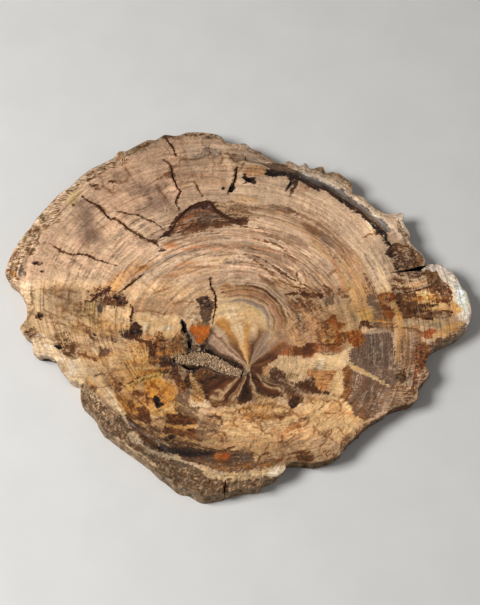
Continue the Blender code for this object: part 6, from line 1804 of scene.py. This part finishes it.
def painted(q):
    """The face's figure at each point of the plane: pale coat, dark coat, how far that covers."""
    broad = np.column_stack([flat_clouds(q, WANDER_SIZE, seed, 3) for seed in (3, 8)])
    fine = np.column_stack([flat_clouds(q, FINE_WANDER_SIZE, seed, 2) for seed in (13, 18)])
    wander = broad * WANDER + fine * FINE_WANDER
    share, angle = rings_at(q + wander)
    p = q + wander + block_wander(share, angle)
    share, angle = rings_at(p)
    ground = 0.5 + MOTTLE_SPREAD * clouds(along_rings(share, angle, GROUND_SIZE), 2, 4, MOTTLE_FADE)
    coats = run_through(GROUND, ground), run_through(["umber"], np.zeros(len(q))), np.zeros(len(q))
    for seed, patch in enumerate(PATCHES):
        lay_patch(coats, p, share, angle, PATCH_SEED + seed, *patch)
    strokes = []
    for seed, sheaf in enumerate(SHEAVES):
        strokes += sheaf_strokes(SHEAF_SEED + seed, *sheaf)
    strokes += [*channel_highlight_and_shadow_strokes(), *STROKES]
    # painted shade along each crack, in umber
    strokes += [(line, "umber", CRACK_SHADE_SPREAD * width, CRACK_SHADE_STRENGTH) for line, width, _ in CRACKS]
    for seed, stroke in enumerate(strokes):
        lay_stroke(coats, p, STROKE_SEED + seed, *stroke)
    light = 1 + STREAK_DEPTH * clouds(along_rings(share, angle, STREAK_SIZE), 6, 3)
    bands = ring_places(share, angle, BAND_SIZE, BAND_TURNS)
    rays = ring_places(share, angle, RAY_LENGTH, RAY_TURNS)
    light += BAND_DEPTH * clouds(bands, 21, 2) + RAY_DEPTH * clouds(rays, 9, 2)
    flecks = clouds(along_rings(share, angle, 1.0) * FLECK_STRETCH, 12, 3, MOTTLE_FADE)
    flecks += 0.5 * flat_clouds(q, FLECK_GROUPS, 15, 2)
    light *= (1 - FLECK_DEPTH * eased((flecks - FLECK_FROM) / FLECK_FADE)) * grain_strengths(q)[:, 3]
    for x, y, reach_x, reach_y, more in LIGHT_SPOTS:
        light *= 1 + more * np.exp(-((q[:, 0] - x) / reach_x) ** 2 - ((q[:, 1] - y) / reach_y) ** 2)
    rich = field_strength(q, RICH_FIELDS)[:, None]
    tone = TONE * (1 + rich * (np.array(RICH_TONE) - 1))
    pale_coat, dark_coat = (richer(coat, RICHER * rich) * light[:, None] * tone for coat in coats[:2])
    return pale_coat, dark_coat, coats[2]


def richer(colour, more):
    """The colour drawn away from its own grey."""
    grey = colour.mean(axis=1, keepdims=True)
    return np.clip(grey + (colour - grey) * (1 + more), 0, 1)


def block_wander(share, angle):
    """Steps of place from block to block along the rings, where the wood has broken square."""
    across = np.floor(share * RING_SPAN / BLOCK_THICKNESS).astype(np.int64)
    shift = corner_value(across, 0 * across, 0 * across, 4) * 3
    along = np.floor(angle * BLOCKS_ROUND + shift).astype(np.int64)
    steps = [corner_value(across, along, 0 * across, seed) - 0.5 for seed in (5, 6)]
    return np.column_stack(steps) * BLOCK_WANDER


def field_cover(q, outline, softness):
    """The points near a field, and how fully it covers each: the edge fades over its softness."""
    here = close_to(q, outline, softness)
    return here, eased(0.5 + inside_distance(q[here], outline) / (2 * softness))


def grain_strengths(q):
    """How strong the ring lines, the rays and the specks are at each point, and how light it is."""
    strengths = np.zeros((len(q), 4)) + GRAIN
    for corners, *strength in GRAIN_FIELDS:
        here, cover = field_cover(q, smooth_path(corners, True, 3), GRAIN_SOFTNESS)
        strengths[here] += (np.array(strength) - strengths[here]) * cover[:, None]
    return strengths


def field_strength(q, fields):
    """How strongly the fields show at each point."""
    strength = np.zeros(len(q))
    for corners, softness, most in fields:
        here, cover = field_cover(q, smooth_path(corners, True, 4), softness)
        strength[here] = np.maximum(strength[here], most * cover)
    return strength


def rim_distance(q, rim):
    """Distance to the nearest of the outline's points and which it is, worked through in blocks."""
    gap, nearest = np.empty(len(q)), np.empty(len(q), int)
    for low in range(0, len(q), BLOCK):
        block = slice(low, low + BLOCK)
        squares = ((q[block, None] - rim[None]) ** 2).sum(axis=2)
        nearest[block] = squares.argmin(axis=1)
        gap[block] = np.sqrt(squares.min(axis=1))
    return gap, nearest


def wall_colour(points):
    """Bark colours down the wall in patches taller than wide, partly painted shade round the lower right.
    """
    angle = degrees_round(points)
    blots, flecks = (spread * clouds(points / size, seed, 3) for spread, size, seed
                     in zip(WALL_SPREAD, (WALL_BLOT, WALL_FLECK), (71, 75)))
    place = 0.5 + blots + flecks
    colour = np.zeros((len(points), 3))
    middles = np.array([start for start, _ in WALL_TONES])
    for number, (middle, names) in enumerate(WALL_TONES):
        before = (middle - middles[number - 1]) % 360
        after = (middles[(number + 1) % len(middles)] - middle) % 360
        turn = (angle - middle + 180) % 360 - 180
        weight = np.where(turn < 0, 1 + turn / before, 1 - turn / after).clip(0, 1)
        colour += run_through(names, place) * weight[:, None]
    return colour


def dress_slab(slab):
    """Writes the paint, the ring places, the polish and the underside onto the slab's points."""
    mesh = slab.data
    points = read(mesh, "co").astype(float) / MM
    steep = WALL_STEEP - read(mesh, "normal")[:, 2]
    q = points[:, :2]
    rim, _ = bark_outline()
    gap, nearest = rim_distance(q, rim)
    band = edge_values(rim)[0][nearest]
    pale_coat, dark_coat, covered = painted(q)
    coats = ("wood", pale_coat), ("dark_wood", dark_coat)
    below = THICKNESS - points[:, 2]
    wall = eased(steep / WALL_FADE) * (gap < WALL_REACH)
    bark = wall_colour(points)
    for _, coat in coats:
        coat += (bark - coat) * (wall * WALL_COVER)[:, None]
    path = smooth_path(CHANNEL, False, 4)
    channel = line_distance(q, path[:-1], np.diff(path, axis=0))[0].min(axis=1)
    # Painted shade: points sunk below the face in the cracks, pits and open crack darken towards black with
    # depth
    sunk_shade = eased((below - SUNK_FROM) / SUNK_FADE) * (gap > band) * (channel > CHANNEL_RADIUS + 1)
    for _, coat in coats:
        coat += (np.array(PALETTE["black"]) / 255 - coat) * (SUNK_SHADE_DARKNESS * sunk_shade)[:, None]
    open_crack = inside_distance(q, hollow_outline()) > -0.5
    polish = eased((gap / band - POLISH_FROM) / POLISH_FADE) * (1 - wall) * (1 - sunk_shade) * (1 - open_crack)
    polish *= np.where(channel < CHANNEL_RADIUS + 1, CHANNEL_POLISH, 1.0)
    for name, coat in coats:
        write(mesh, name, "FLOAT_COLOR", "color", np.column_stack([linear(coat), np.ones(len(q))]))
    write(mesh, "covered", "FLOAT", "value", covered)
    write(mesh, "ring_place", "FLOAT_VECTOR", "vector", along_rings(*rings_at(q), 1))
    write(mesh, "grain", "FLOAT_VECTOR", "vector", grain_strengths(q)[:, :3])
    for name, fields in (("fan", FAN_FIELDS), ("dome_rings", DOME_FIELDS), ("veins", VEIN_FIELDS)):
        write(mesh, name, "FLOAT", "value", field_strength(q, fields) * (below < FIGURE_DEPTH))
    write(mesh, "polish", "FLOAT", "value", polish)
    write(mesh, "underside", "FLOAT", "value", eased((SAW_BEVEL - points[:, 2]) / SAW_BEVEL))
    mesh.polygons.foreach_set("use_smooth", np.ones(len(mesh.polygons), bool))
    mesh.set_sharp_from_angle(angle=math.radians(SHARP_ANGLE))


def linear(colour):
    """sRGB from 0 to 1 as linear light."""
    colour = np.clip(colour, 0.005, 1)
    return np.where(colour < 0.04045, colour / 12.92, ((colour + 0.055) / 1.055) ** 2.4)


def read(mesh, field):
    """The places or the normals of the mesh's points, a row of three each."""
    values = np.empty(len(mesh.vertices) * 3, np.float32)
    mesh.vertices.foreach_get(field, values)
    return values.reshape(-1, 3)


def write(mesh, name, kind, field, values):
    """Puts a value for each point on the mesh, under a name that the material reads."""
    layer = mesh.attributes.new(name, kind, "POINT")
    layer.data.foreach_set(field, np.ascontiguousarray(values, np.float32).ravel())


# The quartz crust
def crust_strip():
    """The lumpy bed that the quartz grows from, filling the upper side of the open crack."""
    stations = smooth_path(HOLLOW, False, 6)[1:-1]
    side = across_path(stations)
    rings = []
    over = np.linspace(0, 1, BED_COLUMNS)
    for (x, y, half, filled), across in zip(stations, side):
        place = np.array([x, y])
        floor = THICKNESS - HOLLOW_DEPTH * min(1.0, half / FULL_DEPTH_FROM) + GAP
        near, far = half * (STEEP_SIDE - 2 * filled), half * STEEP_SIDE - GAP
        flat = place + np.outer(near + (far - near) * over, across)
        dip = BED_BELOW + BED_SLOPE * (1 - over) ** 2 + BED_LUMPS * flat_clouds(flat, 2.0, 83, 2)
        top = np.column_stack([flat, np.maximum(THICKNESS - dip, floor + BED_LEAST)])
        bottom = [[*(place + across * far), floor], [*(place + across * near), floor]]
        rings.append(np.vstack([top, bottom]))
    return closed_rings("quartz_druse", rings)


def quartz_points():
    """Six-sided points scattered over the bed: a prism and a pyramid, each leaning its own way.

    A corner is  place + r (cos a, sin a) + rise tilt,  with the shoulder part of the way up.
    """
    draw = np.random.default_rng(23)
    stations = smooth_path(HOLLOW, False, 6)
    side = across_path(stations)
    at = draw.uniform(1, len(stations) - 2, QUARTZ_POINTS)
    low = at.astype(int)
    part = (at - low)[:, None]
    here = stations[low] * (1 - part) + stations[low + 1] * part
    near = here[:, 2] * (STEEP_SIDE - 2 * here[:, 3])
    far = here[:, 2] + QUARTZ_OVERHANG
    over = draw.uniform(0, 1, QUARTZ_POINTS)
    place = here[:, :2] + side[low] * (near + (far - near) * over)[:, None]
    radius = draw.uniform(*QUARTZ_RADIUS, QUARTZ_POINTS)
    radius *= QUARTZ_SMALLEST + QUARTZ_MORE * draw.random(QUARTZ_POINTS) ** 3
    height = radius * draw.uniform(*QUARTZ_HEIGHT, QUARTZ_POINTS)
    tilt = draw.normal(0, QUARTZ_TILT, (QUARTZ_POINTS, 2)) - side[low] * QUARTZ_LEAN
    tip = THICKNESS - draw.uniform(*TIP_BELOW, QUARTZ_POINTS) - TIP_SLOPE * (1 - over) ** 2
    turn = draw.uniform(0, np.pi / 3, QUARTZ_POINTS)[:, None] + np.arange(6) * np.pi / 3
    around = np.stack([np.cos(turn), np.sin(turn)], axis=2) * radius[:, None, None]
    corners = np.zeros((QUARTZ_POINTS, 13, 3))
    for first, rise in ((0, 0.0), (6, QUARTZ_SHOULDER)):
        lift = (height * rise)[:, None]
        corners[:, first:first + 6, :2] = place[:, None] + around + (tilt * lift)[:, None]
        corners[:, first:first + 6, 2] = (tip - height)[:, None] + lift
    corners[:, 12, :2] = place + tilt * height[:, None]
    corners[:, 12, 2] = tip
    step = np.arange(6)
    after = (step + 1) % 6
    quads = np.stack([step, after, after + 6, step + 6], axis=1)
    tips = np.stack([step + 6, after + 6, np.full(6, 12)], axis=1)
    faces = []
    for first in range(0, 13 * QUARTZ_POINTS, 13):
        faces += (quads + first).tolist() + (tips + first).tolist()
        faces.append(list(range(first + 5, first - 1, -1)))
    shade = draw.uniform(0, 1, QUARTZ_POINTS)
    shade *= 1 - QUARTZ_CLOUD * eased(0.5 + flat_clouds(place, 4, 31, 2))
    return corners.reshape(-1, 3), faces, np.repeat(shade, 13)


def quartz_crust():
    """The bed and its crystals as one piece."""
    bed = crust_strip()
    points = read(bed.data, "co")
    count = len(points)
    faces = [list(face.vertices) for face in bed.data.polygons]
    corners, more, shade = quartz_points()
    faces += [[corner + count for corner in face] for face in more]
    bpy.data.objects.remove(bed)
    crust = bpy.data.meshes.new("quartz_crust")
    crust.from_pydata(np.vstack([points, corners * MM]).tolist(), [], faces)
    crust.validate()
    write(crust, "tint", "FLOAT", "value", np.concatenate([np.full(count, BED_SHADE), shade]))
    return placed("quartz_crust", crust)


# Materials
def new_material(name):
    """A material with its nodes and its shader."""
    material = bpy.data.materials.new(name)
    material.use_nodes = True
    return material, material.node_tree, material.node_tree.nodes["Principled BSDF"]


def add(tree, kind, links=(), values=(), **settings):
    """A node with its settings, its links from other sockets and its fixed input values."""
    made = tree.nodes.new(kind)
    for name, value in settings.items():
        setattr(made, name, value)
    for socket, source in dict(links).items():
        tree.links.new(source, made.inputs[socket])
    for socket, value in dict(values).items():
        made.inputs[socket].default_value = value
    return made


def attribute(tree, name, output="Fac"):
    """What the slab's points carry under a name."""
    return add(tree, "ShaderNodeAttribute", attribute_name=name).outputs[output]


def noise(tree, place, size, detail=3.0, roughness=0.55):
    """Noise whose blotches are about as wide as the size, in the unit of the place."""
    made = add(tree, "ShaderNodeTexNoise", {"Vector": place},
               {"Scale": 1 / size, "Detail": detail, "Roughness": roughness})
    return made.outputs["Fac"]


def ranged(tree, value, low, high, start, end):
    """The value from low..high drawn out to start..end."""
    made = add(tree, "ShaderNodeMapRange", {"Value": value},
               {"From Min": low, "From Max": high, "To Min": start, "To Max": end})
    return made.outputs["Result"]


def math_of(tree, operation, first, second):
    """One operation on two values; either may be a socket or a number."""
    made = add(tree, "ShaderNodeMath", operation=operation)
    for socket, value in zip(made.inputs, (first, second)):
        if isinstance(value, bpy.types.NodeSocket):
            tree.links.new(value, socket)
        else:
            socket.default_value = value
    return made.outputs["Value"]


def times(tree, first, second):
    """The product of two values."""
    return math_of(tree, "MULTIPLY", first, second)


def plus(tree, first, second):
    """The sum of two values."""
    return math_of(tree, "ADD", first, second)


def below_one(tree, value):
    """1 - value."""
    return math_of(tree, "SUBTRACT", 1.0, value)


def calmed(tree, value, factor):
    """value + factor (1 - value): unchanged where the factor is 0, and 1 where it is 1."""
    return plus(tree, value, times(tree, factor, below_one(tree, value)))


def noise_between(tree, low, high, *of_noise):
    """Noise drawn out from the range that most of it lies in to low..high."""
    return ranged(tree, noise(tree, *of_noise), *USUAL, low, high)


def mixed(tree, factor, first, second):
    """Two colours mixed by a factor; either may be a socket or a fixed colour."""
    made = add(tree, "ShaderNodeMix", data_type="RGBA")
    for socket, value in zip((made.inputs[0], made.inputs[6], made.inputs[7]), (factor, first, second)):
        if isinstance(value, bpy.types.NodeSocket):
            tree.links.new(value, socket)
        else:
            socket.default_value = value
    return made.outputs[2]


def tinted(tree, colour, tint):
    """The colour multiplied by a fixed tint."""
    made = add(tree, "ShaderNodeMix", {6: colour}, {0: 1.0, 7: tint},
               data_type="RGBA", blend_type="MULTIPLY")
    return made.outputs[2]


def colours_along(tree, place, stops):
    """Colours blended from each stop to the next; the stops lie between 0 and 1."""
    made = add(tree, "ShaderNodeValToRGB", {"Fac": place})
    ramp = made.color_ramp
    while len(ramp.elements) < len(stops):
        ramp.elements.new(1.0)
    for element, (position, name) in zip(ramp.elements, sorted(stops)):
        element.position = position
        element.color = (*linear(np.array(PALETTE[name]) / 255), 1.0)
    return made.outputs["Color"]


def round_middle(tree, place, middle):
    """Place from a middle on the face, its turn from 0 to 1 and its distance in metres."""
    offset = add(tree, "ShaderNodeMapping", {"Vector": place},
                 {"Location": (-middle[0] * MM, -middle[1] * MM, 0), "Scale": (1, 1, 0)}).outputs["Vector"]
    apart = add(tree, "ShaderNodeSeparateXYZ", {"Vector": offset}).outputs
    out = add(tree, "ShaderNodeVectorMath", {0: offset}, operation="LENGTH").outputs["Value"]
    turn = ranged(tree, math_of(tree, "ARCTAN2", apart["Y"], apart["X"]), -math.pi, math.pi, 0.0, 1.0)
    return apart, turn, out


def threaded(tree, colour, across, along):
    """The colour with fine threads that are short across and long along."""
    threads = add(tree, "ShaderNodeCombineXYZ", {"X": across, "Y": along}).outputs["Vector"]
    depth = noise_between(tree, *THREAD_LIGHT, threads, 1.0, 3.0, 0.6)
    lit = add(tree, "ShaderNodeVectorMath", {"Vector": colour, "Scale": depth}, operation="SCALE")
    return lit.outputs["Vector"]


def swaying(tree, value, place, size, reach):
    """The value moved by noise of a size, as far as the reach either way."""
    return plus(tree, value, noise_between(tree, -reach, reach, place, size, 2.0))


def fan_of_rays(tree, place, wood):
    """The rays that run out from the pith, laid over the wood where the fan shows."""
    apart, turn, out = round_middle(tree, place, FAN_HEART)
    straight = swaying(tree, turn, place, FAN_SWAY_SIZE, FAN_SWAY)
    bent = swaying(tree, turn, place, SWAY_BELOW_SIZE, SWAY_BELOW)
    near, far, below = (colours_along(tree, at, [(0.5 + direction / 360, name) for direction, name in rays])
                        for at, rays in ((straight, RAYS_NEAR), (straight, RAYS_FAR), (bent, RAYS_BELOW)))
    above = mixed(tree, ranged(tree, out, NEAR_FAN * MM, FAR_FAN * MM, 0.0, 1.0), near, far)
    below = tinted(tree, below, BELOW_TONE)
    higher = ranged(tree, apart["Y"], FAN_BELOW * MM, FAN_ABOVE * MM, 0.0, 1.0)
    colour = mixed(tree, higher, below, above)
    across, along = times(tree, straight, THREADS_ACROSS), times(tree, out, THREADS_ALONG / MM)
    colour = threaded(tree, colour, across, along)
    return mixed(tree, attribute(tree, "fan"), wood, colour)


def rings_round_dome(tree, place, wood):
    """The close rings round the dome, laid over the wood where they show."""
    _, turn, out = round_middle(tree, place, DOME_MIDDLE)
    out = times(tree, out, 1 / (DOME_REACH * MM))
    out = swaying(tree, out, place, DOME_SWAY_SIZE, DOME_SWAY)
    colour = colours_along(tree, out, [(distance / DOME_REACH, name) for distance, name in DOME_RINGS])
    across, along = times(tree, out, RINGS_ACROSS * DOME_REACH), times(tree, turn, RINGS_ALONG)
    colour = threaded(tree, colour, across, along)
    return mixed(tree, attribute(tree, "dome_rings"), wood, colour)


def veined(tree, place, wood):
    """Thin dark veins that wander and close into loops, laid over the wood where they show."""
    stray = add(tree, "ShaderNodeTexNoise", {"Vector": place},
                {"Scale": 1 / VEIN_WANDER_SIZE, "Detail": 1.5})
    strayed = add(tree, "ShaderNodeVectorMath", {0: stray.outputs["Color"], 2: place},
                  {1: (VEIN_WANDER,) * 3}, operation="MULTIPLY_ADD").outputs["Vector"]
    gap = add(tree, "ShaderNodeTexVoronoi", {"Vector": strayed}, {"Scale": 1 / VEIN_LOOP},
              feature="DISTANCE_TO_EDGE").outputs["Distance"]
    line = ranged(tree, gap, 0.0, VEIN_HALF, 1.0, 0.0)
    here = ranged(tree, noise(tree, place, VEIN_GROUPS, 3.0), *VEIN_SHOWN, 0.0, 1.0)
    shown = times(tree, times(tree, line, here), attribute(tree, "veins"))
    return mixed(tree, shown, wood, tinted(tree, wood, VEIN_TINT))


def drawn_line(tree, ring_place, stretch):
    """Noise on the ring places, drawn out along the rings or across them."""
    stretched = add(tree, "ShaderNodeMapping", {"Vector": ring_place}, {"Scale": stretch})
    return noise(tree, stretched.outputs["Vector"], 1.0, 4.0, 0.62)


def both_coats(tree, place, ring_place):
    """The pale coat, with the dark coat over it where it covers; the grain makes its edge ragged."""
    ragged = plus(tree, noise(tree, ring_place, 1.1, 4.0, 0.7), noise(tree, place, 0.002, 4.0, 0.7))
    moved = ranged(tree, ragged, *EDGE_RANGE, -EDGE_GRAIN, EDGE_GRAIN)
    edge = ranged(tree, plus(tree, attribute(tree, "covered"), moved), *USUAL, 0.0, 1.0)
    return mixed(tree, edge, attribute(tree, "wood", "Color"), attribute(tree, "dark_wood", "Color"))


def hair_cracks(tree, place, ring_place):
    """1, and less on the hair cracks: a net of cells along the rings, shown here and there."""
    hair = add(tree, "ShaderNodeTexVoronoi", {"Vector": ring_place}, {"Scale": 1 / HAIR_NET},
               feature="DISTANCE_TO_EDGE").outputs["Distance"]
    hair = ranged(tree, hair, 0.0, HAIR_HALF, 1.0, 0.0)
    seldom = ranged(tree, noise(tree, place, HAIR_GROUPS, 2.0), *HAIR_SHOWN, 0.0, HAIR_DEPTH)
    return below_one(tree, times(tree, hair, seldom))


def grained(tree, place, ring_place, wood):
    """The wood with its ring lines, rays and specks: the strongest of the three tints it dark."""
    lines = drawn_line(tree, ring_place, LINE_STRETCH)
    rays = drawn_line(tree, ring_place, RAY_STRETCH)
    specks = noise(tree, place, SPECK_SIZE, 6.0, 0.8)
    strength = add(tree, "ShaderNodeSeparateXYZ", {"Vector": attribute(tree, "grain", "Vector")}).outputs
    deep = 0.0
    for made, dark, axis in ((lines, LINE_DARK, "X"), (rays, RAY_DARK, "Y"), (specks, SPECK_DARK, "Z")):
        drawn = times(tree, ranged(tree, made, *dark, 0.0, 1.0), strength[axis])
        deep = math_of(tree, "MAXIMUM", deep, drawn)
    streak = noise_between(tree, *STREAK_LIGHT, ring_place, STREAK_SIZE, 2.0, 0.5)
    for made, shown, lift, axis in ((lines, LINE_PALE, LINE_LIFT, "X"), (rays, RAY_PALE, RAY_LIFT, "Y")):
        streak = plus(tree, streak, times(tree, ranged(tree, made, *shown, 0.0, lift), strength[axis]))
    speckle = noise_between(tree, *SPECK_LIGHT, place, SPECK_SIZE, 2.0, 0.5)
    speckle = calmed(tree, speckle, ranged(tree, strength["Z"], *CALM_SPECKS, 1.0, 0.0))
    bark_speckle = ranged(tree, noise(tree, place, BARK_SPECK_SIZE, 6.0, 0.72), *BARK_RANGE, *BARK_LIGHT)
    bark_speckle = calmed(tree, bark_speckle, attribute(tree, "polish"))
    light = times(tree, times(tree, streak, speckle),
                  times(tree, bark_speckle, hair_cracks(tree, place, ring_place)))
    wood = mixed(tree, deep, wood, tinted(tree, wood, DEEP_GRAIN))
    lit = add(tree, "ShaderNodeVectorMath", {"Vector": wood, "Scale": light}, operation="SCALE")
    return lit.outputs["Vector"]


def sawn_stone(tree, place):
    """The sawn underside: rings by the distance from the pith plus a warp, and rusty patches."""
    flat = add(tree, "ShaderNodeMapping", {"Vector": place},
               {"Location": (-PITH[0] * MM, -PITH[1] * MM, 0), "Scale": (1, 1, 0)}).outputs["Vector"]
    out = add(tree, "ShaderNodeVectorMath", {0: flat}, operation="LENGTH").outputs["Value"]
    warp = times(tree, noise(tree, flat, SAWN_WARP_SIZE, 3.0), SAWN_WARP)
    rings = add(tree, "ShaderNodeTexNoise", {"W": plus(tree, out, warp)},
                {"Scale": SAWN_RINGS, "Detail": 3.0}, noise_dimensions="1D").outputs["Fac"]
    sawn = mixed(tree, ranged(tree, rings, *USUAL, 0.0, 1.0), SAWN_DARK, SAWN_PALE)
    patchy = ranged(tree, noise(tree, flat, SAWN_PATCH, 4.0), *PATCH_RANGE, 0.0, PATCH_COVER)
    return mixed(tree, patchy, sawn, SAWN_RUST)


def bump(tree, shader, height, strength, reach):
    """Relief that the shader shows without moving the surface."""
    made = add(tree, "ShaderNodeBump", {"Height": height}, {"Strength": strength, "Distance": reach})
    tree.links.new(made.outputs["Normal"], shader.inputs["Normal"])


def polished_wood_stone():
    """Painted stone with fine ring grain and hair cracks, glossy on the face and rough on the bark."""
    material, tree, shader = new_material("polished_wood_stone")
    place = add(tree, "ShaderNodeTexCoord").outputs["Object"]
    ring_place = attribute(tree, "ring_place", "Vector")
    wood = veined(tree, place, both_coats(tree, place, ring_place))
    wood = fan_of_rays(tree, place, rings_round_dome(tree, place, wood))
    wood = grained(tree, place, ring_place, wood)
    colour = mixed(tree, attribute(tree, "underside"), wood, sawn_stone(tree, place))
    tree.links.new(colour, shader.inputs["Base Color"])

    polish = attribute(tree, "polish")
    sheen = ranged(tree, polish, 0.0, 1.0, *ROUGH)
    sheen = plus(tree, sheen, noise_between(tree, *SHEEN_UNEVEN, place, SHEEN_SIZE, 4.0))
    tree.links.new(sheen, shader.inputs["Roughness"])
    shader.inputs["IOR"].default_value = STONE_IOR
    tree.links.new(ranged(tree, polish, 0.0, 1.0, *SPECULAR), shader.inputs["Specular IOR Level"])

    height = times(tree, noise(tree, place, BARK_GRIT, 6.0, 0.7), ranged(tree, polish, 0.0, 1.0, *RELIEF))
    bump(tree, shader, height, 0.7, BARK_BUMP)
    return material


def quartz_crystal():
    """Silvery grey quartz, each crystal its own shade, glassy with faint growth lines."""
    material, tree, shader = new_material("quartz_crystal")
    place = add(tree, "ShaderNodeTexCoord").outputs["Object"]
    shade = plus(tree, attribute(tree, "tint"), noise_between(tree, -0.2, 0.2, place, 0.0012, 3.0))
    tree.links.new(mixed(tree, shade, QUARTZ_DARK, QUARTZ_PALE), shader.inputs["Base Color"])
    tree.links.new(noise_between(tree, 0.3, 0.5, place, 0.002, 3.0), shader.inputs["Roughness"])
    shader.inputs["IOR"].default_value = QUARTZ_IOR
    shader.inputs["Specular IOR Level"].default_value = 0.3
    bump(tree, shader, noise(tree, place, 0.0005, 2.0), 0.15, 0.0002)
    return material


def pale_floor():
    """Plain pale card."""
    material, tree, shader = new_material("pale_card")
    place = add(tree, "ShaderNodeTexCoord").outputs["Object"]
    colour = mixed(tree, noise_between(tree, 0.0, 1.0, place, 0.05, 2.0), CARD_DARK, CARD_PALE)
    tree.links.new(colour, shader.inputs["Base Color"])
    shader.inputs["Roughness"].default_value = CARD_ROUGHNESS
    return material


# The set
def floor():
    """A flat square under the slab."""
    mesh = bpy.data.meshes.new("floor")
    corners = [(-1, -1), (1, -1), (1, 1), (-1, 1)]
    points = [(x * FLOOR_REACH, y * FLOOR_REACH, FLOOR_HEIGHT) for x, y in corners]
    mesh.from_pydata(points, [], [(0, 1, 2, 3)])
    mesh.materials.append(pale_floor())
    placed("floor", mesh)


def area_light(name, place, size, power):
    """A square soft light that looks at the slab's middle."""
    light = bpy.data.lights.new(name, "AREA")
    light.shape = "SQUARE"
    light.size = size
    light.energy = power
    lamp = bpy.data.objects.new(name, light)
    lamp.location = place
    lamp.rotation_euler = (-Vector(place)).to_track_quat("-Z", "Y").to_euler()
    bpy.context.scene.collection.objects.link(lamp)


def lights():
    """The lamps, and an even white light from all round."""
    for light in LIGHTS:
        area_light(*light)
    world = bpy.data.worlds.new("studio")
    world.use_nodes = True
    world.node_tree.nodes["Background"].inputs["Color"].default_value = (1, 1, 1, 1)
    world.node_tree.nodes["Background"].inputs["Strength"].default_value = WORLD_LIGHT
    scene = bpy.context.scene
    scene.world = world
    scene.view_settings.view_transform = "Standard"
    scene.view_settings.look = "None"


def camera():
    """Looks down at the face from the front, with the photograph's frame."""
    lens = bpy.data.cameras.new("camera")
    lens.lens = FOCAL_LENGTH
    lens.sensor_width = SENSOR
    view = bpy.data.objects.new("camera", lens)
    rise = math.radians(VIEW_HEIGHT)
    away = Vector((0, -math.cos(rise), math.sin(rise))) * VIEW_DISTANCE
    view.location = (Vector(AIM) + away) * MM
    view.rotation_euler = (math.pi / 2 - rise, 0, 0)
    bpy.context.scene.collection.objects.link(view)
    bpy.context.scene.camera = view


def build_slab():
    """The slab, cut and dressed."""
    slab = placed("petrified_wood", slab_mesh())
    carve(slab, channel_cutter())
    carve(slab, hollow_cutter())
    for number, (line, width, depth) in enumerate(CRACKS):
        carve(slab, crack_cutter(line, width, depth, CRACK_SEED + number))
    for number, pit in enumerate(PITS):
        carve(slab, pit_cutter(number, *pit))
    dress_slab(slab)
    slab.data.materials.clear()
    slab.data.materials.append(polished_wood_stone())
    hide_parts("petrified_wood_slice")
    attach(slab, "root")


def build_crust():
    """The quartz in the open crack."""
    crust = quartz_crust()
    crust.data.materials.append(quartz_crystal())
    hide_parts("quartz_druse")
    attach(crust, "root")


build_slab()
build_crust()
floor()
camera()
lights()
